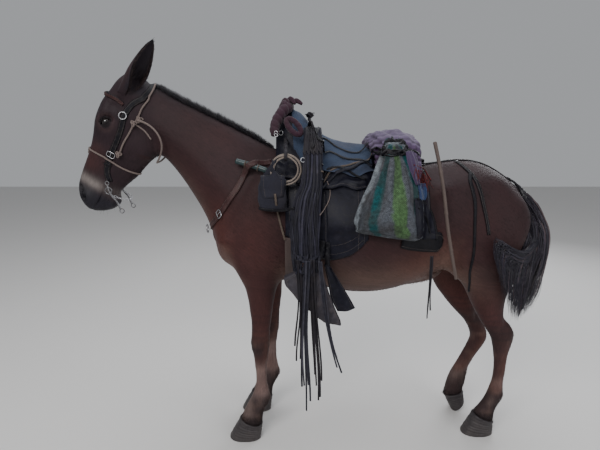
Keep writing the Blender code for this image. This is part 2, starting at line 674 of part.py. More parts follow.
# base, tip, way the cup opens, bow of the axis
EAR_NEAR = ((-0.760, -0.062, 1.612), (-0.604, -0.088, 1.824), (0.92, -0.42, 0.10), (0.012, -0.009, -0.004))
EAR_FAR = ((-0.752, 0.062, 1.606), (-0.722, 0.152, 1.800), (0.80, 0.60, 0.05), (-0.014, 0.012, 0.004))


def ear_grid(spec, nv, nu, inset=0.0):
    base, tip, face, bow = (np.asarray(a, float) for a in spec)
    A = unit(tip - base)
    O = unit(face - A * np.dot(face, A))
    S = np.cross(A, O)
    q = np.linspace(0, 1, nv)
    row = hermite([r[0] for r in EAR], [r[1:] for r in EAR], q)
    grid = np.zeros((nv, nu, 3))
    for i in range(nv):
        r, phi, dep = row[i]
        c = base + (tip - base) * q[i] + bow * math.sin(math.pi * q[i])
        a = np.radians(np.linspace(-phi, phi, nu))
        rr = max(r - inset, 0.001)
        grid[i] = c + (np.sin(a) * rr)[:, None] * S - (np.cos(a) * rr * dep)[:, None] * O + (rr * dep * 0.25) * O
    return grid


def sheet_solid(name, outer, inner, coll):
    """A closed slab between two grids of the same shape."""
    nv, nu = outer.shape[:2]
    verts = np.concatenate([outer.reshape(-1, 3), inner.reshape(-1, 3)])
    k = nv * nu
    F = []
    for i in range(nv - 1):
        for j in range(nu - 1):
            a, b, c, d = i * nu + j, i * nu + j + 1, (i + 1) * nu + j + 1, (i + 1) * nu + j
            F += [(a, b, c, d), (k + d, k + c, k + b, k + a)]
    for i in range(nv - 1):
        for j in (0, nu - 1):
            a, d = i * nu + j, (i + 1) * nu + j
            F.append((a, d, k + d, k + a) if j == 0 else (d, a, k + a, k + d))
    for j in range(nu - 1):
        for i in (0, nv - 1):
            a, b = i * nu + j, i * nu + j + 1
            F.append((b, a, k + a, k + b) if i == 0 else (a, b, k + b, k + a))
    return mesh_object(name, verts, F, coll)


# hoof: toe, heel on the sole; coronet front, back; middle y; half widths sole, coronet
HOOVES = {
    "hoof_front_left": ((-0.342, 0.0), (-0.186, 0.0), (-0.284, 0.106), (-0.181, 0.064), -0.130, 0.056, 0.043),
    "hoof_front_right": ((-0.308, 0.0), (-0.152, 0.0), (-0.250, 0.106), (-0.147, 0.064), 0.100, 0.056, 0.043),
    "hoof_hind_left": ((0.795, 0.0), (0.948, 0.0), (0.852, 0.110), (0.947, 0.068), -0.100, 0.050, 0.041),
    "hoof_hind_right": ((0.812, -0.006), (0.872, 0.052), (0.763, 0.090), (0.863, 0.112), 0.090, 0.048, 0.040),
}


def hoof_solid(name, coll, seg=14):
    toe, heel, cf, cb, yc, ws, wc = HOOVES[name]
    th = np.linspace(0, 2 * math.pi, seg, endpoint=False)
    c, s = np.cos(th), np.sin(th)
    e = 2.0 / 2.3
    cu = np.sign(c) * np.abs(c) ** e
    su = np.sign(s) * np.abs(s) ** e
    cu = np.where(c < -0.96, cu + 0.10, cu)           # the notch between the heels

    def outline(front, back, w, k=1.0):
        f, b = np.array(front), np.array(back)
        m, h = (f + b) / 2, (f - b) / 2 * k
        x = m[0] + h[0] * cu
        z = m[1] + h[1] * cu
        return np.stack([x, yc + w * k * su, z], 1)
    sole = outline(toe, heel, ws)
    cor = outline(cf, cb, wc)
    rings = [outline(toe, heel, ws, 0.93), sole + (cor - sole) * 0.04,
             sole + (cor - sole) * 0.5 + np.array([0, 0, 0]), sole + (cor - sole) * 0.93, cor * 1.0]
    n = np.array([cf[1] - cb[1], 0.0, cb[0] - cf[0]])
    n = unit(n)
    rings[-1] = rings[-1] - n * 0.0
    verts = np.concatenate(rings)
    F = []
    for i in range(len(rings) - 1):
        for j in range(seg):
            k = (j + 1) % seg
            F.append((i * seg + j, i * seg + k, (i + 1) * seg + k, (i + 1) * seg + j))
    F.append(tuple(range(seg)))
    F.append(tuple((len(rings) - 1) * seg + j for j in range(seg)))
    ob = mesh_object(name, verts, F, coll)
    bm = bmesh.new()
    bm.from_mesh(ob.data)
    geom = list(bm.verts) + list(bm.edges) + list(bm.faces)
    bmesh.ops.bisect_plane(bm, geom=geom, plane_co=(0, 0, 0), plane_no=(0, 0, -1), clear_outer=True)
    edges = [ed for ed in bm.edges if ed.is_boundary]
    if edges:
        bmesh.ops.contextual_create(bm, geom=edges)
    bm.to_mesh(ob.data)
    bm.free()
    return clean(ob)


# tail: dock and hair together, x, y, z, reach fore-and-aft, reach across
TAIL = [[(0.985, 0.000, 1.205, 0.034, 0.034), (1.042, -0.004, 1.147, 0.034, 0.034), (1.085, -0.016, 1.079, 0.036, 0.036),
         (1.101, -0.040, 1.013, 0.040, 0.042), (1.083, -0.080, 0.948, 0.046, 0.046), (1.056, -0.120, 0.889, 0.050, 0.046),
         (1.027, -0.155, 0.830, 0.054, 0.042), (1.006, -0.175, 0.767, 0.056, 0.036), (0.986, -0.185, 0.700, 0.042, 0.028),
         (0.968, -0.190, 0.641, 0.020, 0.016)],
        [(1.086, -0.070, 0.969, 0.045, 0.045), (1.020, -0.140, 0.923, 0.055, 0.045), (0.947, -0.215, 0.861, 0.078, 0.030),
         (0.878, -0.252, 0.892, 0.072, 0.020), (0.827, -0.266, 0.950, 0.050, 0.015), (0.808, -0.268, 0.985, 0.024, 0.010)]]
# mane: crest x, z below, height of the hair
MANE = [(-0.608, 1.650, 0.022), (-0.580, 1.638, 0.032), (-0.527, 1.612, 0.034), (-0.441, 1.568, 0.036), (-0.355, 1.522, 0.036),
        (-0.267, 1.480, 0.036), (-0.201, 1.446, 0.036), (-0.135, 1.408, 0.030)]


def tail_solid(coll):
    F = []
    for line in TAIL:
        rows = []
        P = np.array(line)
        for i in range(len(P)):
            w = unit(P[min(i + 1, len(P) - 1), :3] - P[max(i - 1, 0), :3])
            v = np.array([0.0, 1.0, 0.0]) if len(line) > 6 else np.array([0.0, 0.35, 1.0])
            v = unit(v - w * np.dot(v, w))
            u = np.cross(v, w)
            a, b = P[i, 3], P[i, 4]
            if len(line) > 6:
                rows.append((P[i, :3], u, v, a, a, b, b, 2.0, 2.0))
            else:
                rows.append((P[i, :3], v, u, a, a, b, b, 2.0, 2.0))
        F.append(ring_rows(rows, 18, 0.03))
    v, f = join(F)
    ob = mesh_object("tail", v, f, coll, fix=False)
    remesh(ob, 0.011)
    net = Net(ob.data)
    net.fill(16)
    net.smooth(4)
    net.put(ob.data)
    return ob


def mane_solid(coll):
    rows = []
    for x, z, h in MANE:
        rows.append(((x, 0, z), (-0.42, 0, 0.90), (0, 1, 0), h, 0.020, 0.015, 0.015, 1.7, 2.2))
    v, f = ring_rows(rows, 10, 0.055)
    return mesh_object("mane", v, f, coll)


# ---------------------------------------------------------------- flesh parted
def part_flesh(whole, swell):
    """Cuts the flesh at neck, limbs, tail and coronets and names the pieces."""
    for side in (-1, 1):
        bm = bmesh.new()
        bmesh.ops.create_icosphere(bm, subdivisions=3, radius=EYE_R + GAP)
        bmesh.ops.translate(bm, vec=(EYE[0], side * EYE[1], EYE[2]), verts=bm.verts)
        me = bpy.data.meshes.new("socket")
        bm.to_mesh(me)
        bm.free()
        c = bpy.data.objects.new("socket", me)
        WORK.objects.link(c)
        boolean(whole, c)
        drop(c)
    # coronets: everything under a slanted plane
    for name, (toe, heel, cf, cb, yc, ws, wc) in HOOVES.items():
        ang = math.atan2(cb[1] - cf[1], cb[0] - cf[0])
        n = np.array([-math.sin(ang), 0, math.cos(ang)])
        m = np.array([(cf[0] + cb[0]) / 2, yc, (cf[1] + cb[1]) / 2]) + n * GAP
        c = block((0.26, 0.16, 0.20), m - n * 0.10, (0, -ang, 0))
        boolean(whole, c)
        drop(c)
    cuts = [
        ((CUT, 0.6, 0.60), (-0.648, 0, 1.500), (0, math.radians(-2), 0)),      # head from neck
        ((CUT, 0.8, 0.76), (-0.235, 0, 1.190), (0, math.radians(41), 0)),      # neck from trunk
        ((0.50, 0.30, CUT), (-0.170, -0.160, 0.752), (0, 0, 0)),
        ((0.50, 0.30, CUT), (-0.170, 0.160, 0.752), (0, 0, 0)),
        ((0.50, 0.30, CUT), (0.850, -0.160, 0.800), (0, math.radians(-8), 0)),
        ((0.50, 0.30, CUT), (0.850, 0.160, 0.790), (0, math.radians(-8), 0)),
    ]
    for size, cen, turn in cuts:
        c = block(size, cen, turn)
        boolean(whole, c)
        drop(c)
    marks = {"head": (-0.88, 0, 1.40), "neck": (-0.45, 0, 1.40), "trunk": (0.30, 0, 1.05),
             "leg_front_left": (-0.18, -0.13, 0.40), "leg_front_right": (-0.15, 0.10, 0.40),
             "leg_hind_left": (0.93, -0.10, 0.45), "leg_hind_right": (0.90, 0.09, 0.40)}
    out = {}
    bits = islands(whole)
    for vol, me in bits:
        if len(out) == len(marks) or vol < 1e-5:
            bpy.data.meshes.remove(me)
            continue
        co = np.array([v.co for v in me.vertices])
        mid = (co.min(0) + co.max(0)) / 2
        name = min((k for k in marks if k not in out), key=lambda k: np.linalg.norm(mid - np.array(marks[k])))
        ob = bpy.data.objects.new(name, me)
        me.name = name
        MULE.objects.link(ob)
        clean(ob)
        out[name] = ob
    return out


facet(body, BODY_FACES)
skin = Net(body.data)
swell = swollen(body, 0.0016, "swell")
nodes = part_flesh(body, swell)
for n, s in (("eye_left", -1), ("eye_right", 1)):
    nodes[n] = eye_solid(n, s)
for n, spec in (("ear_left", EAR_NEAR), ("ear_right", EAR_FAR)):
    ob = sheet_solid(n, ear_grid(spec, 6, 7), ear_grid(spec, 6, 7, 0.006), MULE)
    boolean(ob, swell)
    keep_largest(ob)
    nodes[n] = clean(ob)
for n in HOOVES:
    nodes[n] = hoof_solid(n, MULE)
tail = tail_solid(MULE)
facet(tail, 280)
boolean(tail, swell)
nodes["tail"] = clean(keep_largest(tail))
mane = mane_solid(MULE)
boolean(mane, swell)
keep_largest(mane)
facet(mane, 150)
nodes["mane"] = clean(mane)


# ---------------------------------------------------------------- what it wears
class Layers:
    """Outermost surface of everything made so far, met from outside."""

    def __init__(self):
        self.trees = []

    def add(self, ob):
        me = ob.data
        me.calc_loop_triangles()
        self.trees.append(BVHTree.FromPolygons([v.co.copy() for v in me.vertices],
                                               [tuple(t.vertices) for t in me.loop_triangles]))
        return ob

    def meet(self, p, out, reach=0.30):
        """First surface met coming in towards p against the way out."""
        best = None
        o = Vector(p) + Vector(out) * reach
        for t in self.trees:
            r = t.ray_cast(o, -Vector(out), reach * 2.2)
            if r[0] is not None and (best is None or r[3] < best[1]):
                best = (r[0], r[3])
        return None if best is None else np.array(best[0])

    def hits(self, ob):
        me = ob.data
        me.calc_loop_triangles()
        own = BVHTree.FromPolygons([v.co.copy() for v in me.vertices], [tuple(t.vertices) for t in me.loop_triangles])
        return any(own.overlap(t) for t in self.trees)


def closed_body(ob):
    bm = bmesh.new()
    bm.from_mesh(ob.data)
    good = all(len(e.link_faces) == 2 for e in bm.edges) and all(f.calc_area() > 1e-10 for f in bm.faces)
    bm.free()
    return good and len(islands(ob)) == 1


def settle(make, steps=(0.0, 0.001, 0.002, 0.003, 0.004, 0.0055, 0.007, 0.009, 0.011, 0.013, 0.016)):
    """Makes a piece with a growing gap under it until it is sound and clear of the rest."""
    for k, extra in enumerate(steps):
        ob = make(extra)
        if (closed_body(ob) and not LAY.hits(ob)) or k == len(steps) - 1:
            return ob
        drop(ob)


LAY = Layers()


def out_trunk(p, z0=1.04):
    v = np.array([0.0, p[1], p[2] - z0])
    return unit(v) if np.linalg.norm(v) > 1e-6 else np.array([0.0, 0.0, 1.0])


def out_head(p):
    q = np.asarray(p, float) - np.array(BROW)
    s = float(np.dot(q, DOWN))
    c = head_point(s, -0.11)
    return unit(np.asarray(p, float) - c)


def out_side(p):
    return np.array([0.0, -1.0 if p[1] < 0 else 1.0, 0.0])


def smooth_route(pts, step):
    P = np.array(pts, float)
    t = np.concatenate([[0], np.cumsum(np.linalg.norm(np.diff(P, axis=0), axis=1))])
    n = max(int(round(t[-1] / step)) + 1, 3)
    return hermite(t, P, np.linspace(0, t[-1], n))


def lifted(C, O, H, clear, rounds=5, sub=4):
    """Raises the grid C + O*H until nothing under it comes through its faces."""
    H = H.copy()
    nv, nu = H.shape
    ks = [k / sub for k in range(sub + 1)]
    for _ in range(rounds):
        P = C + O * H[..., None]
        need = np.zeros_like(H)
        for i in range(nv - 1):
            for j in range(nu - 1):
                for a in ks:
                    for b in ks:
                        w = ((1 - a) * (1 - b), (1 - a) * b, a * (1 - b), a * b)
                        ids = ((i, j), (i, j + 1), (i + 1, j), (i + 1, j + 1))
                        p = sum(w[k] * P[ids[k]] for k in range(4))
                        o = unit(sum(w[k] * O[ids[k]] for k in range(4)))
                        h = LAY.meet(p, o, 0.12)
                        if h is None:
                            continue
                        g = float(np.dot(h - p, o)) + clear
                        if g > 1e-5:
                            q = g / sum(x * x for x in w)
                            for k in range(4):
                                need[ids[k]] = max(need[ids[k]], q * w[k])
        if need.max() < 1e-4:
            break
        H += need
    return H


def lay_strap(name, pts, width, thick, out=out_trunk, clear=0.004, step=0.045, across=2, reach=0.30):
    """A flat strap laid on whatever lies under its route."""
    R = smooth_route(pts, step)
    n = len(R)
    C = np.zeros((n, across, 3))
    O = np.zeros((n, across, 3))
    H = np.zeros((n, across))
    for i in range(n):
        t = unit(R[min(i + 1, n - 1)] - R[max(i - 1, 0)])
        o = out(R[i])
        o = unit(o - t * np.dot(o, t))
        b = np.cross(t, o)
        hs = []
        for j in range(across):
            q = R[i] + b * width * (j / (across - 1) - 0.5)
            h = LAY.meet(q, o, reach)
            hs.append(np.dot(h - R[i], o) if h is not None else None)
            C[i, j] = q
            O[i, j] = o
        known = [h for h in hs if h is not None]
        top = max(known) if known else 0.0
        for j in range(across):
            h = hs[j] if hs[j] is not None else top
            H[i, j] = max(h, top - 0.25 * width)

    def make(extra):
        K = lifted(C, O, H + clear + extra, (clear + extra) * 0.7)
        return sheet_solid(name, C + O * (K + thick)[..., None], C + O * K[..., None], MULE)

    return settle(make)


def trunk_wrap(x, side, ang, z0=1.04):
    """Place round the barrel: 0 is the top, 90 is the side, 180 is under."""
    a = math.radians(ang)
    o = np.array([0.0, side * math.sin(a), math.cos(a)])
    return np.array([x, 0.0, z0]), o


def lay_sheet(name, nv, angs, thick, clear=0.0055, trim=None):
    """A sheet laid over the back: stations along the back by angles round it."""
    nu = len(angs)
    C = np.zeros((nv, nu, 3))
    O = np.zeros((nv, nu, 3))
    H = np.zeros((nv, nu))
    for i in range(nv):
        for j, a in enumerate(angs):
            k = trim(i / (nv - 1), a)
            c, o = trunk_wrap(k[0], 1 if k[1] > 0 else -1, abs(k[1]))
            h = LAY.meet(c, o, 0.60)
            C[i, j] = c
            O[i, j] = o
            H[i, j] = float(np.dot(h - c, o))

    def make(extra):
        K = lifted(C, O, H + clear + extra, (clear + extra) * 0.9)
        return sheet_solid(name, C + O * (K + thick)[..., None], C + O * K[..., None], MULE)

    return settle(make)


def barrel(x0, x1, a0, a1, nx=12, na=22, clear=0.008):
    """The space already taken round the barrel, as one solid to trim with."""
    outer = np.zeros((nx, na, 3))
    inner = np.zeros((nx, na, 3))
    high = np.zeros((nx, na))
    for i, x in enumerate(np.linspace(x0, x1, nx)):
        for j, a in enumerate(np.linspace(a0, a1, na)):
            c, o = trunk_wrap(x, 1 if a > 0 else -1, abs(a))
            h = LAY.meet(c, o, 0.60)
            high[i, j] = float(np.dot(h - c, o))
            outer[i, j] = o
            inner[i, j] = c
    pad = np.pad(high, 1, mode="edge")
    top = high.copy()
    for i in range(3):
        for j in range(3):
            top = np.maximum(top, np.minimum(pad[i:i + nx, j:j + na], high + 0.012))
    way = outer.copy()
    outer = inner + way * (top + clear)[..., None]
    inner = inner + way * 0.04
    return sheet_solid("barrel", outer, inner, WORK)


def tube(name, pts, radius, sides=2, step=0.02, closed=False, coll=None):
    """A round cord or rod: a bevelled curve made a mesh."""
    C = smooth_route(pts, step) if not closed else np.array(pts)
    cu = bpy.data.curves.new(name, "CURVE")
    cu.dimensions = "3D"
    cu.bevel_depth = radius
    cu.bevel_resolution = sides
    cu.use_fill_caps = not closed
    sp = cu.splines.new("POLY")
    sp.points.add(len(C) - 1)
    for k, c in enumerate(C):
        sp.points[k].co = (c[0], c[1], c[2], 1.0)
    sp.use_cyclic_u = closed
    co = bpy.data.objects.new(name + "_line", cu)
    WORK.objects.link(co)
    dg = bpy.context.evaluated_depsgraph_get()
    dg.update()
    me = bpy.data.meshes.new_from_object(co.evaluated_get(dg))
    bpy.data.objects.remove(co, do_unlink=True)
    bpy.data.curves.remove(cu)
    me.name = name
    ob = bpy.data.objects.new(name, me)
    (coll or MULE).objects.link(ob)
    clean(ob, 0.00005)
    return ob


def solid(name, form, cuts=(), coll=None, faces=0, round_=None):
    """A closed form less what it lies against, and less the space taken round the barrel."""
    v, f = form

    def make(extra):
        ob = mesh_object(name, v, f, coll or MULE)
        if round_:
            g = barrel(*round_, clear=0.006 + extra)
            boolean(ob, g)
            drop(g)
        for c in cuts:
            g = swollen(c, 0.0015 + extra)
            boolean(ob, g)
            drop(g)
        keep_largest(ob)
        clean(ob)
        if faces and tri_count(ob) > faces:
            facet(ob, faces)
            clean(ob)
        return ob

    return settle(make)


def mirrored(pts):
    return [(p[0], -p[1]) + tuple(p[2:]) for p in pts]


for k in ("head", "neck", "trunk", "leg_hind_left", "leg_hind_right", "leg_front_left", "leg_front_right"):
    LAY.add(nodes[k])

# saddle blanket over the back, ends beside the barrel
def blanket_trim(u, a):
    return -0.045 + u * 0.585, a


blanket = lay_sheet("saddle_blanket", 8, [-88, -68, -48, -28, -10, 10, 28, 48, 68, 88], 0.009, trim=blanket_trim)
LAY.add(blanket)


# leather skirts with a rounded lower edge
def skirt_trim(u, a):
    low = 96 + 22 * math.sin(math.pi * min(max((u - 0.02) / 0.96, 0), 1)) ** 0.8
    k = (abs(a) - 8) / 88.0
    return -0.062 + u * 0.345, (1 if a > 0 else -1) * (8 + k * (low - 8))


skirt = lay_sheet("saddle_skirt", 7, [-96, -78, -60, -42, -24, -8, 8, 24, 42, 60, 78, 96], 0.006, trim=skirt_trim)
LAY.add(skirt)

# black lobes of leather behind
for nm, s in (("rear_flap_left", -1), ("rear_flap_right", 1)):
    pts = [(0.430, s * 0.26, 1.020), (0.480, s * 0.25, 1.012), (0.540, s * 0.24, 1.002), (0.596, s * 0.23, 0.996)]
    LAY.add(lay_strap(nm, pts, 0.085, 0.008, step=0.055, clear=0.005, across=3))

# girth under the barrel
ring = []
for ang in (116, 132, 148, 164, 180, 196, 212, 228, 244):
    c, o = trunk_wrap(-0.030, -1, ang)
    ring.append(tuple(LAY.meet(c, o, 0.60)))
girth = lay_strap("girth", ring, 0.070, 0.006, step=0.06, clear=0.005)
LAY.add(girth)

# seat: x, top height, half width low down, low height
SEAT = [(-0.108, 1.470, 0.060, 1.330), (-0.085, 1.520, 0.085, 1.290), (-0.045, 1.545, 0.105, 1.260), (0.000, 1.533, 0.125, 1.240),
        (0.045, 1.484, 0.140, 1.225), (0.090, 1.444, 0.152, 1.215), (0.160, 1.412, 0.162, 1.205), (0.230, 1.396, 0.168, 1.200),
        (0.290, 1.392, 0.168, 1.200), (0.325, 1.385, 0.150, 1.215)]
seat_rows = []
for x, zt, w, zl in SEAT:
    zc = zl + 0.04
    seat_rows.append(((x, 0, zc), (0, 0, 1), (0, 1, 0), zt - zc, 0.04, w, w, 1.55, 2.0))
taken = (-0.16, 0.62, -120, 120, 26, 42)
form = ring_rows(seat_rows, 24, 0.05)
seat_tree = BVHTree.FromPolygons([Vector(v) for v in form[0]], [tuple(f) for f in form[1]])


def seat_piece():
    """The seat fills the room between what it lies on and its own outline."""
    xs = [-0.104, -0.090, -0.060, -0.022, 0.015, 0.055, 0.105, 0.180, 0.250, 0.312]
    fr = np.linspace(-1, 1, 13)
    C = np.zeros((len(xs), len(fr), 3))
    O = np.zeros((len(xs), len(fr), 3))
    H = np.zeros((len(xs), len(fr)))
    T = np.zeros((len(xs), len(fr)))
    for i, x in enumerate(xs):
        wide = 30 + 17 * min(1.0, max(0.0, x + 0.080) / 0.12)
        for j, f in enumerate(fr):
            c, o = trunk_wrap(x, 1 if f > 0 else -1, abs(f) * wide)
            h = LAY.meet(c, o, 0.60)
            C[i, j], O[i, j], H[i, j] = c, o, float(np.dot(h - c, o))
            r = seat_tree.ray_cast(Vector(c) + Vector(o) * 0.9, -Vector(o), 0.9)
            T[i, j] = float(np.dot(np.array(r[0]) - c, o)) if r[0] is not None else 0.0

    def make(extra):
        K = lifted(C, O, H + 0.005 + extra, (0.005 + extra) * 0.9)
        top = np.maximum(T, K + 0.009)
        return sheet_solid("saddle_seat", C + O * top[..., None], C + O * K[..., None], MULE)

    return settle(make)


seat = seat_piece()
LAY.add(seat)

# rolled cloth across the back of the seat
ROLL = [(0.405, -0.235, 1.255, 0.075, 0.034), (0.405, -0.195, 1.325, 0.092, 0.045), (0.402, -0.110, 1.392, 0.106, 0.052),
        (0.400, 0.000, 1.402, 0.108, 0.055), (0.402, 0.110, 1.392, 0.106, 0.052), (0.405, 0.195, 1.325, 0.092, 0.045),
        (0.405, 0.235, 1.255, 0.075, 0.034)]
rr = []
for i, (x, y, z, a, b) in enumerate(ROLL):
    p0, p1 = ROLL[max(i - 1, 0)], ROLL[min(i + 1, len(ROLL) - 1)]
    t = unit(np.array(p1[:3]) - np.array(p0[:3]))
    n = np.cross(t, (1, 0, 0))
    n = n if n[2] > 0 else -n
    rr.append(((x, y, z), (1, 0, 0), n, a, a, b, b, 2.0, 2.0))
roll = solid("cloth_roll", ring_rows(rr, 14, 0.07), (seat,), round_=taken, faces=170)
LAY.add(roll)

# pommel: two fat loops of cloth round the fork, and a small knob behind it
pommel_a = tube("pommel_wrap_front", [(-0.098, 0.122, 1.448), (-0.102, 0.096, 1.496), (-0.088, 0.062, 1.534), (-0.058, 0.020, 1.556), (-0.050, -0.015, 1.558),
                                      (-0.068, -0.050, 1.545), (-0.094, -0.082, 1.508), (-0.107, -0.108, 1.470), (-0.106, -0.124, 1.440)], 0.0235, 2, 0.040)
ring = []
for k in range(12):
    t = 2 * math.pi * k / 12
    p, q = 0.040 * math.cos(t), 0.018 * math.sin(t)
    ring.append((-0.026 + 0.687 * p + 0.727 * q, -0.126 + 0.45 * (-0.727 * p + 0.687 * q), 1.474 - 0.727 * p + 0.687 * q))
pommel_b = tube("pommel_wrap_rear", ring, 0.0120, 1, closed=True)


def trimmed(ob, *others, by=0.0012):
    for o in others:
        g = swollen(o, by) if by else o
        boolean(ob, g)
        if g is not o:
            drop(g)
    return clean(keep_largest(ob))


trimmed(pommel_a, seat)
pommel_b.data.transform(Matrix.Translation((0, -0.012, 0)))
trimmed(pommel_b, seat, pommel_a)
LAY.add(pommel_a)
LAY.add(pommel_b)

# sack of woven plastic hung on the near side behind the skirt
SACK = [(1.372, 0.385, 0.040, -0.185, 0.024), (1.335, 0.385, 0.062, -0.222, 0.030), (1.260, 0.378, 0.092, -0.262, 0.036),
        (1.175, 0.367, 0.122, -0.292, 0.042), (1.110, 0.357, 0.140, -0.306, 0.046), (1.072, 0.352, 0.140, -0.306, 0.042),
        (1.046, 0.350, 0.128, -0.300, 0.022)]
sack = solid("sack", ring_rows([((x, y, z), (1, 0, -0.155 * min(max((1.25 - z) / 0.15, 0.0), 1.0)), (0, 1, 0), a, a, b, b, 2.6, 2.6) for z, x, a, y, b in SACK], 16, 0.08),
             (roll, seat), round_=taken, faces=190)
LAY.add(sack)
cloth = lay_strap("cloth_side", [(0.528, -0.165, 1.262), (0.530, -0.190, 1.220), (0.528, -0.215, 1.165)], 0.050, 0.012, step=0.05, clear=0.005)
LAY.add(cloth)

# stirrup leathers, hooded stirrups, and a loose flap behind the near one
for nm, s in (("left", -1), ("right", 1)):
    LAY.add(lay_strap("stirrup_leather_" + nm, [(0.085, s * 0.19, 1.200), (0.090, s * 0.24, 1.100), (0.092, s * 0.255, 1.000),
                                                (0.094, s * 0.258, 0.950)], 0.048, 0.005, step=0.07, clear=0.005))

taken_side = (-0.26, 0.14, -125, -20, 26, 36)

# hood: a folded leather wedge, corners in side view x, z, and how far it stands out
HOOD = [(0.062, 0.938), (-0.068, 0.872), (-0.062, 0.842), (0.012, 0.752), (0.106, 0.672), (0.176, 0.662), (0.120, 0.800), (0.084, 0.915)]


def wedge(name, outline, y0, y1, coll=None, bow=0.0):
    """A flat outline in side view given thickness from y0 to y1."""
    n = len(outline)
    m = np.array(outline).mean(0)
    verts = []
    for y, k in ((y0, 1.0), (y1, 1.0)):
        for x, z in outline:
            verts.append((m[0] + (x - m[0]) * k, y, m[1] + (z - m[1]) * k))
    verts.append((m[0], y0 - bow, m[1]))
    verts.append((m[0], y1 - bow, m[1]))
    F = []
    for i in range(n):
        j = (i + 1) % n
        F += [(i, j, 2 * n), (n + j, n + i, 2 * n + 1), (i, n + i, n + j, j)]
    ob = mesh_object(name, verts, F, coll or MULE)
    clean(ob)
    return ob


hood_l = wedge("stirrup_hood_left", HOOD, -0.328, -0.272, bow=0.008)
hood_r = wedge("stirrup_hood_right", HOOD, 0.328, 0.272, bow=-0.008)
for o in (hood_l, hood_r):
    s = -1 if o is hood_l else 1
    # the foot's room inside, open to the back
    c = block((0.150, 0.038, 0.110), (0.118, s * 0.300, 0.735), (0, math.radians(38), 0))
    boolean(o, c)
    drop(c)
    clean(keep_largest(o))
fender = wedge("stirrup_flap", [(0.100, 0.915), (0.128, 0.905), (0.205, 0.775), (0.236, 0.716), (0.160, 0.706), (0.130, 0.770)], -0.267, -0.262)
LAY.add(hood_l)
LAY.add(fender)

# coiled rope, pouch and short tube hung in front of the near skirt
COIL = (-0.058, -0.204, 1.302, 0.056, 0.0120)
major, minor = COIL[3], COIL[4]
vs = []
for i in range(18):
    t = 2 * math.pi * i / 18
    for j in range(6):
        q = 2 * math.pi * j / 6
        r = major + minor * 1.15 * math.cos(q)
        vs.append((COIL[0] + r * math.cos(t), COIL[1] + minor * 0.9 * math.sin(q) - 0.10 * r * math.sin(t), COIL[2] + r * math.sin(t)))
fs = [(i * 6 + j, i * 6 + (j + 1) % 6, ((i + 1) % 18) * 6 + (j + 1) % 6, ((i + 1) % 18) * 6 + j) for i in range(18) for j in range(6)]
coil = mesh_object("rope_coil", vs, fs, MULE)
clean(coil)
LAY.add(coil)
pouch = solid("pouch", ring_rows([((-0.118, -0.172, 1.262), (1, 0, 0), (0, 1, 0.25), 0.050, 0.050, 0.010, 0.010, 2.6, 2.6),
                                  ((-0.117, -0.186, 1.230), (1, 0, 0), (0, 1, 0.25), 0.058, 0.058, 0.018, 0.018, 2.6, 2.6),
                                  ((-0.114, -0.200, 1.185), (1, 0, 0), (0, 1, 0.25), 0.060, 0.060, 0.021, 0.021, 2.6, 2.6),
                                  ((-0.112, -0.206, 1.140), (1, 0, 0), (0, 1, 0.25), 0.060, 0.060, 0.016, 0.016, 2.6, 2.6)], 14, 0.06),
              (coil,), round_=taken_side, faces=96)
tube_g = tube("green_tube", [(-0.272, -0.128, 1.331), (-0.205, -0.137, 1.313), (-0.140, -0.150, 1.292)], 0.0125, 2, 0.07)
for o in (pouch, tube_g):
    LAY.add(o)

# breast collar, its ring, and the strap between the forelegs
for nm, s in (("left", -1), ("right", 1)):
    LAY.add(lay_strap("breast_collar_" + nm, [(-0.125, s * 0.110, 1.335), (-0.216, s * 0.112, 1.299), (-0.276, s * 0.136, 1.208), (-0.318, s * 0.138, 1.150),
                                              (-0.362, s * 0.118, 1.085), (-0.402, s * 0.062, 1.026)], 0.026, 0.005,
                      out=lambda p: unit(np.array([-max(0.0, -0.20 - p[0]) * 6.0, p[1] * 6, 0.25])), step=0.05, clear=0.005))
LAY.add(lay_strap("breast_strap_low", [(-0.412, 0, 0.975), (-0.395, 0, 0.915), (-0.350, 0, 0.855), (-0.290, 0, 0.815), (-0.200, 0, 0.785), (-0.115, 0, 0.770)],
                  0.026, 0.005, out=lambda p: unit(np.array([-max(0.05, -0.10 - p[0]), 0, -max(0.02, 1.02 - p[2])])), step=0.06, clear=0.005))

# crupper from the cantle to the dock, and the straps over the rump
LAY.add(lay_strap("crupper", [(0.525, 0, 1.385), (0.578, 0, 1.372), (0.657, 0, 1.345), (0.740, 0, 1.335), (0.830, 0, 1.312), (0.900, 0, 1.270), (0.960, 0, 1.235)],
                  0.024, 0.006, out=lambda p: np.array([0.0, 0.0, 1.0]), step=0.07, clear=0.005))
for nm, s in (("left", -1), ("right", 1)):
    LAY.add(lay_strap("rump_strap_" + nm, [(0.700, s * 0.030, 1.330), (0.730, s * 0.123, 1.284), (0.756, s * 0.194, 1.208), (0.773, s * 0.210, 1.134),
                                           (0.786, s * 0.222, 1.073), (0.792, s * 0.229, 1.031)], 0.022, 0.005, step=0.055, clear=0.005))
    LAY.add(lay_strap("thigh_strap_" + nm, [(0.731, s * 0.201, 1.175), (0.734, s * 0.217, 1.071), (0.737, s * 0.222, 0.964), (0.735, s * 0.212, 0.880),
                                            (0.728, s * 0.205, 0.800), (0.722, s * 0.200, 0.728)][0:4], 0.018, 0.004, step=0.07, clear=0.005))

# stick tucked in behind the roll on the near side
stick = tube("stick", [(0.553, -0.185, 1.412), (0.573, -0.212, 1.310), (0.590, -0.238, 1.200), (0.603, -0.252, 1.100), (0.625, -0.262, 0.980), (0.655, -0.266, 0.850)],
             0.0085, 2, 0.09)


# ---------------------------------------------------------------- bridle and halter
def head_route(*pts):
    return [tuple(head_point(s, t, y)) for s, t, y in pts]


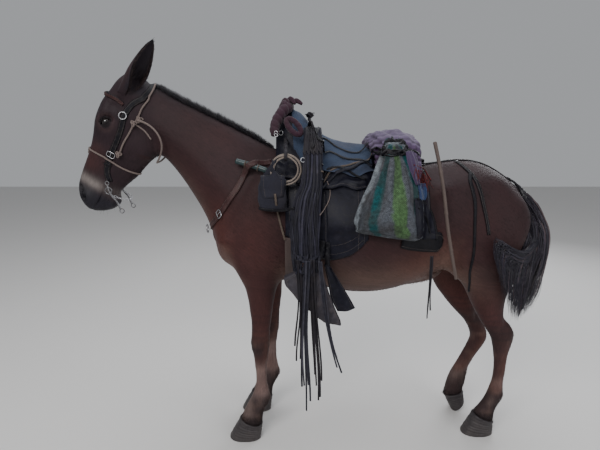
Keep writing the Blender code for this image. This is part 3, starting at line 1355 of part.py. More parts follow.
BRIDLE_NEAR = [(-0.854, -0.050, 1.232), (-0.860, -0.055, 1.272), (-0.850, -0.058, 1.317), (-0.825, -0.065, 1.365), (-0.794, -0.076, 1.417),
               (-0.769, -0.084, 1.468), (-0.749, -0.087, 1.523), (-0.716, -0.085, 1.565), (-0.668, -0.074, 1.598), (-0.650, -0.050, 1.640)]
bridle_pts = BRIDLE_NEAR + [(-0.646, 0.0, 1.690)] + [(x, -y, z) for x, y, z in reversed(BRIDLE_NEAR)]
nodes_b = lay_strap("bridle_headpiece", bridle_pts, 0.026, 0.004,
                    out=lambda p: unit(np.array([0.25 if p[2] > 1.60 else 0.0, p[1] * 6, max(0.0, (p[2] - 1.58) * 6)])), step=0.042, clear=0.0045)
LAY.add(nodes_b)
brow_n = [(-0.752, -0.090, 1.562), (-0.782, -0.087, 1.574), (-0.818, -0.062, 1.588), (-0.838, -0.030, 1.594)]
brow = lay_strap("bridle_browband", brow_n + [(-0.843, 0, 1.596)] + [(x, -y, z) for x, y, z in reversed(brow_n)], 0.018, 0.004,
                 out=lambda p: unit(np.array([-max(0.0, -0.74 - p[0]) * 8, p[1] * 5, 0.05])), step=0.04, clear=0.0045)
LAY.add(brow)

for nm, s in (("left", -1), ("right", 1)):
    pts = [(-0.856, s * 0.071, 1.222), (-0.850, s * 0.073, 1.196), (-0.838, s * 0.072, 1.170), (-0.822, s * 0.071, 1.150), (-0.806, s * 0.070, 1.112)]
    tube("bit_shank_" + nm, pts, 0.0045, 2, 0.03)

# rope halter: over the poll and down both cheeks, round the nose, under the jaw
HALTER_NEAR = [(-0.796, -0.070, 1.352), (-0.785, -0.074, 1.372), (-0.770, -0.080, 1.400), (-0.739, -0.086, 1.443), (-0.713, -0.088, 1.485),
               (-0.690, -0.086, 1.519), (-0.680, -0.086, 1.545), (-0.658, -0.086, 1.575), (-0.634, -0.074, 1.612), (-0.622, -0.048, 1.650)]


def outside(pts, out, off, reach=0.2):
    res = []
    for p in pts:
        o = out(np.array(p))
        h = LAY.meet(p, o, reach)
        res.append(tuple((h if h is not None else np.array(p)) + o * off))
    return res


HR = 0.0042
poll_out = lambda p: unit(np.array([0.25 if p[2] > 1.60 else 0.0, p[1] * 6, max(0.0, (p[2] - 1.58) * 6)]))
side = [(x, y, z) for x, y, z in smooth_route(HALTER_NEAR + [(-0.620, 0.0, 1.690)] + [(x, -y, z) for x, y, z in reversed(HALTER_NEAR)], 0.028)]
halter = tube("halter_headpiece", outside(side, poll_out, HR + 0.0055), HR, 1, 0.03)
LAY.add(halter)


def nose_rope(extra):
    nose = []
    for k in range(34):
        t = 2 * math.pi * k / 34
        o = np.array(FORE) * math.cos(t) + np.array([0, 1, 0]) * math.sin(t)
        c = head_point(0.324 + 0.012 * math.cos(t), -0.10)
        h = LAY.meet(c, o, 0.30)
        nose.append(tuple(h + o * (HR + 0.005 + extra)))
    return tube("halter_noseband", nose, HR, 1, closed=True)


noseband = settle(nose_rope)
LAY.add(noseband)
throat = tube("halter_loop", [(-0.690, -0.098, 1.500), (-0.660, -0.100, 1.490), (-0.630, -0.100, 1.470), (-0.607, -0.098, 1.440), (-0.597, -0.092, 1.405),
                              (-0.603, -0.080, 1.368), (-0.622, -0.060, 1.335)], HR, 2, 0.03)

# ---------------------------------------------------------------- leather thongs of the saddle
bundle_rows = []
for z, x, y, a, b in [(1.470, 0.050, -0.120, 0.034, 0.012), (1.430, 0.052, -0.160, 0.036, 0.014), (1.340, 0.050, -0.208, 0.037, 0.015), (1.250, 0.046, -0.240, 0.040, 0.015),
                      (1.190, 0.030, -0.262, 0.050, 0.014), (1.100, 0.018, -0.284, 0.058, 0.013), (1.020, 0.020, -0.303, 0.058, 0.012), (0.952, 0.024, -0.314, 0.056, 0.010)]:
    bundle_rows.append(((x, y, z), (1, 0, 0), (0, 1, 0.15), a, a, b, b, 2.4, 2.4))
bundle = solid("thong_bundle", ring_rows(bundle_rows, 12, 0.09), (seat, pommel_b), round_=taken_side, faces=150)
THONGS = [(-0.006, 0.935, -0.006, 0.520, 0.022), (0.024, 0.935, 0.026, 0.290, 0.026), (0.052, 0.935, 0.078, 0.330, 0.026), (0.076, 0.935, 0.175, 0.470, 0.018)]


def thong(name, x0, z0, x1, z1, w, y0, y1, t=0.003):
    """A thin strip of leather that hangs with a slight curl."""
    n = 7
    rows = []
    for k in range(n):
        u = k / (n - 1)
        x = x0 + (x1 - x0) * u ** 1.6 + 0.006 * math.sin(5.0 * u + 9 * x0 * 10)
        y = y0 + (y1 - y0) * u + 0.004 * math.sin(4.0 * u + 7 * x1 * 10)
        z = z0 + (z1 - z0) * u
        rows.append((x, y, z))
    outer = np.array([[(x - w / 2, y - t / 2, z), (x + w / 2, y - t / 2, z)] for x, y, z in rows])
    inner = np.array([[(x - w / 2, y + t / 2, z), (x + w / 2, y + t / 2, z)] for x, y, z in rows])
    ob = sheet_solid(name, outer, inner, MULE)
    return ob


for i, (x0, z0, x1, z1, w) in enumerate(THONGS):
    thong("thong_near_%d" % (i + 1), x0, z0, x1, z1, w, -0.346 - 0.013 * (i % 2), -0.343 - 0.013 * (i % 2))
thong("thong_far", 0.020, 0.860, 0.030, 0.400, 0.024, 0.345, 0.338)
thong("rear_thong", 0.540, 0.955, 0.545, 0.680, 0.016, -0.285, -0.280)

# ---------------------------------------------------------------- colour of each piece
FINISH = {  # name starts with: colour, roughness, metallic
    "head": ((0.075, 0.045, 0.034), 0.75, 0.0), "neck": ((0.078, 0.046, 0.034), 0.75, 0.0), "trunk": ((0.080, 0.048, 0.036), 0.75, 0.0),
    "leg": ((0.085, 0.045, 0.032), 0.75, 0.0), "ear": ((0.060, 0.038, 0.030), 0.8, 0.0), "eye": ((0.012, 0.008, 0.007), 0.08, 0.0),
    "hoof": ((0.170, 0.155, 0.140), 0.6, 0.0), "mane": ((0.016, 0.015, 0.018), 0.8, 0.0), "tail": ((0.020, 0.019, 0.026), 0.7, 0.0),
    "saddle_blanket": ((0.300, 0.330, 0.380), 0.95, 0.0), "saddle_skirt": ((0.055, 0.040, 0.033), 0.6, 0.0),
    "saddle_seat": ((0.190, 0.210, 0.250), 0.9, 0.0), "rear_flap": ((0.020, 0.018, 0.020), 0.6, 0.0), "girth": ((0.250, 0.210, 0.170), 0.9, 0.0),
    "cloth_roll": ((0.330, 0.300, 0.420), 0.95, 0.0), "cloth_side": ((0.300, 0.280, 0.400), 0.95, 0.0), "sack": ((0.480, 0.480, 0.490), 0.7, 0.0),
    "pommel_wrap": ((0.085, 0.030, 0.040), 0.8, 0.0), "stirrup_leather": ((0.050, 0.036, 0.030), 0.6, 0.0),
    "stirrup_hood": ((0.150, 0.120, 0.105), 0.7, 0.0), "stirrup_flap": ((0.030, 0.034, 0.050), 0.6, 0.0), "rope_coil": ((0.440, 0.330, 0.220), 0.9, 0.0),
    "pouch": ((0.130, 0.160, 0.140), 0.8, 0.0), "green_tube": ((0.020, 0.055, 0.040), 0.4, 0.0), "breast_collar": ((0.100, 0.060, 0.042), 0.65, 0.0),
    "breast_strap": ((0.060, 0.038, 0.030), 0.65, 0.0), "crupper": ((0.018, 0.016, 0.018), 0.6, 0.0), "rump_strap": ((0.018, 0.016, 0.018), 0.6, 0.0),
    "thigh_strap": ((0.160, 0.120, 0.090), 0.7, 0.0), "stick": ((0.240, 0.150, 0.085), 0.7, 0.0), "bridle": ((0.022, 0.018, 0.018), 0.55, 0.0),
    "bit": ((0.420, 0.400, 0.380), 0.35, 1.0), "halter": ((0.420, 0.300, 0.180), 0.9, 0.0), "thong": ((0.045, 0.034, 0.034), 0.7, 0.0),
    "rear_thong": ((0.160, 0.120, 0.090), 0.7, 0.0),
}


def colour(ob):
    key = max((k for k in FINISH if ob.name.startswith(k)), key=len)
    rgb, rough, metal = FINISH[key]
    m = bpy.data.materials.new("m_" + ob.name)
    m.use_nodes = True
    b = m.node_tree.nodes["Principled BSDF"]
    b.inputs["Base Color"].default_value = (rgb[0], rgb[1], rgb[2], 1.0)
    b.inputs["Roughness"].default_value = rough
    b.inputs["Metallic"].default_value = metal
    m.diffuse_color = (rgb[0], rgb[1], rgb[2], 1.0)
    m.roughness = rough
    m.metallic = metal
    ob.data.materials.clear()
    ob.data.materials.append(m)


# ---------------------------------------------------------------- set on the origin
for o in list(WORK.objects):
    drop(o)
FREE = ("thong_near", "thong_far", "rear_thong", "rope_coil")
ALL = [o for o in MULE.objects if o.type == "MESH"]
lo = np.array([1e9] * 3)
hi = -lo
for o in ALL:
    colour(o)
    if not o.name.startswith(FREE):
        co = np.array([v.co for v in o.data.vertices])
        lo = np.minimum(lo, co.min(0))
        hi = np.maximum(hi, co.max(0))
SHIFT = (-(lo[0] + hi[0]) / 2, -(lo[1] + hi[1]) / 2, -lo[2])
for o in ALL:
    o.location = SHIFT
bpy.context.view_layer.update()
print("nodes", len(ALL), "triangles", sum(tri_count(o) for o in ALL), "shift", SHIFT, "box", lo, hi)
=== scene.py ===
"""Looks of the saddled mule: skin, hair, eyes, hooves and everything it wears."""
import json
import math
import time

import bpy
import bmesh
import numpy as np
from mathutils import Matrix, Vector
from mathutils.bvhtree import BVHTree

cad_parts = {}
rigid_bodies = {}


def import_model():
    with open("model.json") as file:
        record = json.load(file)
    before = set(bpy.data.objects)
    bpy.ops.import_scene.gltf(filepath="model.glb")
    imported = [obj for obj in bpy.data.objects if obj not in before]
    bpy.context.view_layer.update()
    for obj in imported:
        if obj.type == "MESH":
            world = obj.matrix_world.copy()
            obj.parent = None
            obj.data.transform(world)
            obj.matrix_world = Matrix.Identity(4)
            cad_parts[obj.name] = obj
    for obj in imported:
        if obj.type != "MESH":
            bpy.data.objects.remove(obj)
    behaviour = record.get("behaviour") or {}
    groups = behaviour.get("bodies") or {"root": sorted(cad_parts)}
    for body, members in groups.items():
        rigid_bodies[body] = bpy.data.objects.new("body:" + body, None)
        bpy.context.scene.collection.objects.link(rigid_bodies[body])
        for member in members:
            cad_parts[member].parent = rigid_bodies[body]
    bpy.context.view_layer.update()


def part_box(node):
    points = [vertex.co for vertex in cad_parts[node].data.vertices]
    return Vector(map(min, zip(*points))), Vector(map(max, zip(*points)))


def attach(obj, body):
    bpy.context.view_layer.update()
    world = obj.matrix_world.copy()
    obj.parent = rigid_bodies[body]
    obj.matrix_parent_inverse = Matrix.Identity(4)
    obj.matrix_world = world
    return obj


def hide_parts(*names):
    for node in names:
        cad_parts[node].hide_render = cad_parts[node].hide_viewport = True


T0 = time.time()
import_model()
RNG = np.random.RandomState(7)

# The part was drawn about its own middle plane; the frame's origin is under its box.
EYE_R = 0.0205
EYE = (-0.836, 0.0655, 1.494)
_lo, _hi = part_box("eye_left")
SHIFT = np.array([(_lo[0] + _hi[0]) / 2 - EYE[0], (_lo[1] + _hi[1]) / 2 + EYE[1], (_lo[2] + _hi[2]) / 2 - EYE[2]])


def tick(what):
    print("%6.1f s  %s" % (time.time() - T0, what))


# ---------------------------------------------------------------- camera
cam = bpy.data.cameras.new("camera")
cam.lens = 27.0
cam.sensor_width = 36.0
cam_ob = bpy.data.objects.new("camera", cam)
cam_ob.location = (SHIFT[0], -2.06 + SHIFT[1], 1.48 + SHIFT[2])
cam_ob.rotation_euler = (math.radians(90.0 - 12.5), 0.0, 0.0)
bpy.context.scene.collection.objects.link(cam_ob)
bpy.context.scene.camera = cam_ob

PIECES = bpy.data.collections.new("looks")
bpy.context.scene.collection.children.link(PIECES)
WORK = bpy.data.collections.new("work")
bpy.context.scene.collection.children.link(WORK)

# ---------------------------------------------------------------- sizes, as in the solids
CUT = 0.0005
GAP = 0.0005
# trunk: x, centre height, up, down, half width, fullness above, fullness below
TRUNK = [
    (-0.405, 1.020, 0.050, 0.050, 0.050, 2.0, 2.0),
    (-0.375, 1.020, 0.120, 0.130, 0.110, 2.0, 2.0),
    (-0.320, 1.020, 0.200, 0.190, 0.155, 2.0, 2.1),
    (-0.240, 1.030, 0.290, 0.245, 0.180, 1.8, 2.1),
    (-0.150, 1.040, 0.328, 0.268, 0.190, 1.7, 2.1),
    (-0.050, 1.040, 0.332, 0.276, 0.203, 1.6, 2.1),
    (0.050, 1.030, 0.322, 0.285, 0.222, 1.7, 2.1),
    (0.160, 1.010, 0.306, 0.290, 0.244, 1.9, 2.1),
    (0.300, 1.000, 0.287, 0.293, 0.262, 2.0, 2.1),
    (0.430, 1.010, 0.280, 0.285, 0.258, 2.0, 2.1),
    (0.550, 1.030, 0.280, 0.262, 0.240, 1.9, 2.1),
    (0.660, 1.070, 0.258, 0.245, 0.222, 1.8, 2.1),
    (0.760, 1.090, 0.243, 0.230, 0.208, 1.8, 2.1),
    (0.860, 1.090, 0.212, 0.210, 0.192, 1.9, 2.1),
    (0.930, 1.080, 0.176, 0.180, 0.165, 2.0, 2.1),
    (0.985, 1.070, 0.125, 0.130, 0.120, 2.0, 2.0),
    (1.015, 1.065, 0.060, 0.070, 0.060, 2.0, 2.0),
]
# neck: crest x, z; underside x, z; half width
NECK = [
    (0.020, 1.350, -0.340, 0.840, 0.160),
    (-0.070, 1.372, -0.378, 0.915, 0.158),
    (-0.135, 1.403, -0.410, 0.990, 0.140),
    (-0.220, 1.450, -0.445, 1.075, 0.118),
    (-0.320, 1.502, -0.490, 1.155, 0.100),
    (-0.420, 1.552, -0.535, 1.228, 0.087),
    (-0.520, 1.602, -0.580, 1.290, 0.078),
    (-0.600, 1.640, -0.622, 1.340, 0.073),
    (-0.670, 1.662, -0.655, 1.390, 0.068),
    (-0.725, 1.662, -0.690, 1.440, 0.060),
]
# head: its frame hangs at the brow, runs down the face, and looks forward
BROW = (-0.800, 0.0, 1.665)
DOWN = (-0.375, 0.0, -0.927)
FORE = (-0.927, 0.0, 0.375)
# down the face, front, back, widest place, half width, fullness front, back
HEAD = [
    (-0.060, -0.030, -0.110, -0.060, 0.040, 2.0, 2.0),
    (-0.020, -0.004, -0.190, -0.070, 0.066, 2.2, 2.0),
    (0.043, 0.014, -0.250, -0.060, 0.080, 2.6, 2.0),
    (0.090, 0.029, -0.275, -0.052, 0.086, 2.9, 2.0),
    (0.130, 0.034, -0.281, -0.048, 0.087, 3.0, 2.0),
    (0.182, 0.037, -0.277, -0.048, 0.084, 3.0, 2.0),
    (0.240, 0.030, -0.262, -0.050, 0.074, 2.8, 2.1),
    (0.300, 0.026, -0.243, -0.052, 0.064, 2.6, 2.1),
    (0.364, 0.029, -0.215, -0.052, 0.056, 2.5, 2.2),
    (0.426, 0.033, -0.176, -0.050, 0.052, 2.4, 2.3),
    (0.470, 0.033, -0.168, -0.052, 0.054, 2.3, 2.4),
    (0.500, 0.028, -0.172, -0.052, 0.056, 2.3, 2.4),
    (0.530, 0.017, -0.164, -0.056, 0.054, 2.2, 2.4),
    (0.556, 0.002, -0.143, -0.064, 0.047, 2.1, 2.3),
    (0.574, -0.014, -0.116, -0.066, 0.036, 2.0, 2.2),
    (0.586, -0.036, -0.086, -0.060, 0.018, 2.0, 2.0),
]
# legs: height, front x, back x, middle y (near side), half width, fullness back
FORELEG = [
    (0.980, -0.350, -0.120, -0.100, 0.060, 2.0),
    (0.900, -0.322, -0.080, -0.112, 0.074, 2.0),
    (0.840, -0.290, -0.080, -0.120, 0.073, 2.0),
    (0.790, -0.262, -0.090, -0.124, 0.066, 2.0),
    (0.740, -0.252, -0.101, -0.127, 0.060, 2.0),
    (0.690, -0.245, -0.109, -0.130, 0.055, 2.0),
    (0.630, -0.236, -0.119, -0.130, 0.047, 2.0),
    (0.570, -0.229, -0.130, -0.130, 0.040, 2.0),
    (0.520, -0.229, -0.137, -0.130, 0.042, 2.2),
    (0.475, -0.228, -0.139, -0.130, 0.044, 2.2),
    (0.435, -0.222, -0.144, -0.130, 0.039, 2.0),
    (0.390, -0.217, -0.151, -0.130, 0.030, 1.9),
    (0.330, -0.213, -0.152, -0.130, 0.027, 1.9),
    (0.270, -0.216, -0.149, -0.130, 0.028, 1.9),
    (0.235, -0.226, -0.141, -0.130, 0.034, 2.0),
    (0.205, -0.240, -0.138, -0.130, 0.037, 2.0),
    (0.175, -0.256, -0.152, -0.130, 0.034, 2.0),
    (0.145, -0.270, -0.168, -0.130, 0.035, 2.0),
    (0.110, -0.284, -0.178, -0.130, 0.042, 2.0),
    (0.070, -0.296, -0.182, -0.130, 0.044, 2.0),
]
HINDLEG = [
    (1.170, 0.690, 0.985, -0.105, 0.095, 2.0),
    (1.080, 0.665, 1.022, -0.120, 0.108, 2.1),
    (1.010, 0.655, 1.008, -0.126, 0.110, 2.1),
    (0.940, 0.658, 0.980, -0.128, 0.108, 2.1),
    (0.870, 0.676, 0.962, -0.127, 0.099, 2.0),
    (0.810, 0.708, 0.958, -0.126, 0.089, 2.0),
    (0.745, 0.745, 0.954, -0.122, 0.076, 2.0),
    (0.685, 0.774, 0.944, -0.118, 0.062, 2.0),
    (0.630, 0.804, 0.953, -0.114, 0.051, 1.8),
    (0.580, 0.838, 0.984, -0.110, 0.042, 1.6),
    (0.545, 0.866, 1.006, -0.107, 0.040, 1.7),
    (0.505, 0.893, 1.008, -0.105, 0.040, 1.8),
    (0.460, 0.908, 1.000, -0.103, 0.036, 1.8),
    (0.410, 0.918, 0.991, -0.101, 0.030, 1.8),
    (0.340, 0.925, 0.988, -0.100, 0.027, 1.9),
    (0.280, 0.922, 0.984, -0.100, 0.028, 1.9),
    (0.240, 0.914, 0.984, -0.100, 0.033, 2.0),
    (0.205, 0.904, 0.986, -0.100, 0.037, 2.0),
    (0.175, 0.890, 0.976, -0.100, 0.034, 2.0),
    (0.145, 0.872, 0.961, -0.100, 0.034, 2.0),
    (0.110, 0.850, 0.950, -0.100, 0.040, 2.0),
    (0.070, 0.838, 0.950, -0.100, 0.042, 2.0),
]
RESTLEG = [
    (1.150, 0.690, 0.975, 0.105, 0.095, 2.0),
    (1.060, 0.660, 1.010, 0.120, 0.108, 2.1),
    (0.985, 0.642, 0.996, 0.127, 0.110, 2.1),
    (0.920, 0.630, 0.970, 0.128, 0.108, 2.1),
    (0.850, 0.628, 0.952, 0.128, 0.100, 2.0),
    (0.760, 0.646, 0.935, 0.122, 0.086, 2.0),
    (0.680, 0.680, 0.905, 0.115, 0.069, 2.0),
    (0.615, 0.733, 0.896, 0.110, 0.056, 2.0),
    (0.555, 0.788, 0.912, 0.105, 0.047, 1.8),
    (0.505, 0.838, 0.936, 0.100, 0.042, 1.6),
    (0.455, 0.868, 0.964, 0.097, 0.040, 1.6),
    (0.415, 0.879, 0.972, 0.095, 0.040, 1.7),
    (0.375, 0.866, 0.958, 0.094, 0.037, 1.8),
    (0.325, 0.842, 0.928, 0.092, 0.031, 1.8),
    (0.275, 0.817, 0.900, 0.090, 0.028, 1.9),
    (0.225, 0.792, 0.882, 0.090, 0.030, 1.9),
    (0.185, 0.778, 0.875, 0.090, 0.036, 2.0),
    (0.150, 0.769, 0.870, 0.090, 0.037, 2.0),
    (0.120, 0.765, 0.863, 0.090, 0.036, 2.0),
    (0.095, 0.763, 0.862, 0.090, 0.040, 2.0),
    (0.050, 0.766, 0.866, 0.090, 0.040, 2.0),
]
FARFORE_SHIFT = (0.034, 0.100)   # far foreleg: this much further back, its middle y


# ---------------------------------------------------------------- small tools
def unit(v):
    v = np.asarray(v, float)
    return v / np.linalg.norm(v)


def hermite(t, y, q):
    """Smooth curve through the rows y at the knots t, read at q."""
    t = np.asarray(t, float)
    y = np.asarray(y, float)
    q = np.asarray(q, float)
    h = np.diff(t)
    d = np.diff(y, axis=0) / h[:, None]
    m = np.empty_like(y)
    m[1:-1] = (d[:-1] * h[1:, None] + d[1:] * h[:-1, None]) / (h[1:] + h[:-1])[:, None]
    m[0] = d[0]
    m[-1] = d[-1]
    i = np.clip(np.searchsorted(t, q, side="right") - 1, 0, len(h) - 1)
    s = ((q - t[i]) / h[i])[:, None]
    H = h[i][:, None]
    return ((1 + 2 * s) * (1 - s) ** 2 * y[i] + s * (1 - s) ** 2 * H * m[i]
            + s * s * (3 - 2 * s) * y[i + 1] + s * s * (s - 1) * H * m[i + 1])


def ring_rows(rows, seg, step):
    """Closed loft through rows of centre, two directions, four reaches, two fullnesses."""
    R = np.array([np.concatenate([np.asarray(r[0], float), unit(r[1]), unit(r[2]),
                                  np.array(r[3:], float)]) for r in rows])
    t = np.concatenate([[0.0], np.cumsum(np.linalg.norm(np.diff(R[:, :3], axis=0), axis=1) + 1e-3)])
    n = max(len(rows), int(t[-1] / step) + 1)
    A = hermite(t, R, np.linspace(0.0, t[-1], n))
    th = np.linspace(0.0, 2 * math.pi, seg, endpoint=False)
    c, s = np.cos(th), np.sin(th)
    verts = []
    for a in A:
        cen, U, V = a[:3], unit(a[3:6]), unit(a[6:9])
        up, dn, lf, rt, nu, nd = a[9:15]
        e = np.where(c >= 0, 2.0 / nu, 2.0 / nd)
        cu = np.sign(c) * np.abs(c) ** e
        su = np.sign(s) * np.abs(s) ** e
        uu = np.where(c >= 0, cu * up, cu * dn)
        vv = np.where(s >= 0, su * lf, su * rt)
        verts.append(cen[None] + uu[:, None] * U[None] + vv[:, None] * V[None])
    verts = np.concatenate(verts)
    faces = []
    for i in range(n - 1):
        for j in range(seg):
            k = (j + 1) % seg
            faces.append((i * seg + j, i * seg + k, (i + 1) * seg + k, (i + 1) * seg + j))
    faces.append(tuple(range(seg - 1, -1, -1)))
    faces.append(tuple((n - 1) * seg + j for j in range(seg)))
    return verts, faces


def ball(centre, radii, axis=(0, 0, 1), spin=(1, 0, 0)):
    """Ellipsoid: radii along spin, across, and along axis."""
    bm = bmesh.new()
    bmesh.ops.create_icosphere(bm, subdivisions=4, radius=1.0)
    w = unit(axis)
    u = np.asarray(spin, float)
    u = unit(u - w * np.dot(u, w))
    v = np.cross(w, u)
    co = np.array([x.co for x in bm.verts])
    faces = [tuple(x.index for x in f.verts) for f in bm.faces]
    bm.free()
    p = (co[:, :1] * radii[0] * u + co[:, 1:2] * radii[1] * v + co[:, 2:] * radii[2] * w)
    return p + np.asarray(centre, float), faces


def limb(points, seg=20, step=0.02):
    """Round-ended limb through (x, y, z, radius) points."""
    P = np.array(points, float)
    rows = []
    for i in range(len(P)):
        a = P[max(i - 1, 0), :3]
        b = P[min(i + 1, len(P) - 1), :3]
        w = unit(b - a)
        ref = np.array([0.0, 1.0, 0.0]) if abs(w[1]) < 0.9 else np.array([1.0, 0.0, 0.0])
        u = unit(ref - w * np.dot(ref, w))
        rows.append((w, u, np.cross(w, u)))
    out = []
    w, u, v = rows[0]
    for k in (1.0, 0.86, 0.5):
        r = P[0, 3]
        out.append((P[0, :3] - w * r * k * 0.9, u, v) + (r * math.sqrt(max(1 - k * k, 0.02)),) * 4 + (2, 2))
    for i in range(len(P)):
        w, u, v = rows[i]
        out.append((P[i, :3], u, v) + (P[i, 3],) * 4 + (2, 2))
    w, u, v = rows[-1]
    for k in (0.5, 0.86, 1.0):
        r = P[-1, 3]
        out.append((P[-1, :3] + w * r * k * 0.9, u, v) + (r * math.sqrt(max(1 - k * k, 0.02)),) * 4 + (2, 2))
    return ring_rows(out, seg, step)


def join(parts):
    vs, fs, k = [], [], 0
    for v, f in parts:
        vs.append(np.asarray(v))
        fs += [tuple(i + k for i in g) for g in f]
        k += len(v)
    return np.concatenate(vs), fs


def outward(me):
    bm = bmesh.new()
    bm.from_mesh(me)
    bmesh.ops.recalc_face_normals(bm, faces=bm.faces)
    if bm.calc_volume(signed=True) < 0:
        bmesh.ops.reverse_faces(bm, faces=bm.faces)
    bm.to_mesh(me)
    bm.free()


def mesh_object(name, verts, faces, coll=None, fix=True):
    me = bpy.data.meshes.new(name)
    me.from_pydata([tuple(float(c) for c in v) for v in verts], [], [tuple(int(i) for i in f) for f in faces])
    me.update()
    if fix:
        outward(me)
    ob = bpy.data.objects.new(name, me)
    (coll or WORK).objects.link(ob)
    return ob


def apply_modifiers(ob):
    dg = bpy.context.evaluated_depsgraph_get()
    dg.update()
    me = bpy.data.meshes.new_from_object(ob.evaluated_get(dg))
    ob.modifiers.clear()
    old = ob.data
    ob.data = me
    bpy.data.meshes.remove(old)
    return ob


def remesh(ob, size):
    m = ob.modifiers.new("Remesh", "REMESH")
    m.mode = "VOXEL"
    m.voxel_size = size
    m.adaptivity = 0.0
    return apply_modifiers(ob)


def head_point(s, t, y=0.0):
    """Place s down the face and t forward of the head's line, y to the side."""
    return np.array([BROW[0] + s * DOWN[0] + t * FORE[0], y, BROW[2] + s * DOWN[2] + t * FORE[2]])


# ---------------------------------------------------------------- flesh: the forms
def trunk_form():
    rows = [((x, 0, zc), (0, 0, 1), (0, 1, 0), up, dn, w, w, nu, nd)
            for x, zc, up, dn, w, nu, nd in TRUNK]
    return ring_rows(rows, 48, 0.03)


def neck_form():
    rows = []
    for cx, cz, bx, bz, w in NECK:
        top = np.array([cx, 0.0, cz])
        bot = np.array([bx, 0.0, bz])
        cen = bot + (top - bot) * 0.44
        L = np.linalg.norm(top - bot)
        rows.append((cen, top - bot, (0, 1, 0), L * 0.56, L * 0.44, w, w, 1.65, 2.1))
    return ring_rows(rows, 40, 0.03)


def head_form():
    rows = []
    for s, tf, tb, tc, w, nf, nb in HEAD:
        rows.append((head_point(s, tc), FORE, (0, 1, 0), tf - tc, tc - tb, w, w, nf, nb))
    return ring_rows(rows, 44, 0.015)


def leg_form(table, shift=0.0, mid=None, flip=False):
    rows = []
    for z, xf, xb, yc, w, nb in table:
        y = -yc if flip else yc
        if mid is not None:
            k = min(max((0.98 - z) / 0.35, 0.0), 1.0)
            y = y * (1 - k) + mid * k
        dx = shift * min(max((0.98 - z) / 0.35, 0.0), 1.0)
        rows.append((((xf + xb) / 2 + dx, y, z), (-1, 0, 0), (0, 1, 0),
                     (xb - xf) / 2, (xb - xf) / 2, w, w, 2.1, nb))
    return ring_rows(rows, 28, 0.012)


def flesh_forms():
    F = [trunk_form(), neck_form(), head_form(),
         leg_form(FORELEG), leg_form(FORELEG, FARFORE_SHIFT[0], FARFORE_SHIFT[1], True),
         leg_form(HINDLEG), leg_form(RESTLEG)]
    for s in (-1, 1):
        low = 0.03 if s > 0 else 0.0        # the rested side hangs a little lower
        fx = FARFORE_SHIFT[0] * 0.4 if s > 0 else 0.0
        F += [
            # shoulder, breast, back of the arm
            ball((-0.175, s * 0.115, 1.110), (0.110, 0.066, 0.190), (0.45, 0, 1)),
            ball((-0.290, s * 0.108, 0.985), (0.090, 0.066, 0.095), (0.45, 0, 1)),
            ball((-0.325, s * 0.060, 0.925), (0.062, 0.056, 0.080), (0.3, 0, 1)),
            ball((-0.125 + fx, s * 0.135, 0.930), (0.110, 0.056, 0.130), (0.3, 0, 1)),
            ball((-0.225 + fx, s * 0.132, 0.870), (0.070, 0.056, 0.120)),
            # hip, rump, seat bone, thigh, stifle
            ball((0.605, s * 0.165, 1.200 - low), (0.075, 0.048, 0.050)),
            ball((0.765, s * 0.105, 1.165 - low), (0.180, 0.100, 0.125), (0, 0, 1), (1, 0, -0.25)),
            ball((0.960, s * 0.090, 1.085 - low), (0.060, 0.066, 0.105)),
            ball((0.880, s * 0.125, 0.990 - low), (0.110, 0.092, 0.175)),
            ball((0.720 - low, s * 0.140, 0.900 - low), (0.080, 0.080, 0.115), (-0.3, 0, 1)),
            # jaw muscle, brow, cheek ridge, nostril, lips, chin
            ball(head_point(0.215, -0.165, s * 0.040), (0.098, 0.034, 0.092), DOWN, FORE),
            ball(head_point(0.135, -0.018, s * 0.064), (0.034, 0.030, 0.034), DOWN, FORE),
            limb([tuple(head_point(0.205, -0.060, s * 0.066)) + (0.014,),
                  tuple(head_point(0.270, -0.066, s * 0.058)) + (0.012,),
                  tuple(head_point(0.330, -0.070, s * 0.050)) + (0.009,)], 12, 0.01),
            ball(head_point(0.512, -0.018, s * 0.038), (0.026, 0.019, 0.036), DOWN, FORE),
            ball(head_point(0.548, -0.060, s * 0.026), (0.040, 0.026, 0.034), DOWN, FORE),
            ball(head_point(0.505, -0.140, s * 0.022), (0.034, 0.028, 0.042), DOWN, FORE),
            # ear seat
            ball(head_point(0.030, -0.070, s * 0.058), (0.040, 0.034, 0.040), DOWN, FORE),
        ]
    # breast bone, root of the tail, sheath
    F.append(limb([(-0.310, 0, 0.915, 0.075), (-0.200, 0, 0.850, 0.075), (-0.060, 0, 0.830, 0.060)]))
    F.append(limb([(0.860, 0, 1.225, 0.055), (0.950, 0, 1.200, 0.042), (1.020, 0, 1.165, 0.030)]))
    F.append(limb([(0.640, 0, 0.810, 0.055), (0.560, 0, 0.775, 0.046), (0.500, 0, 0.757, 0.036)]))
    return F


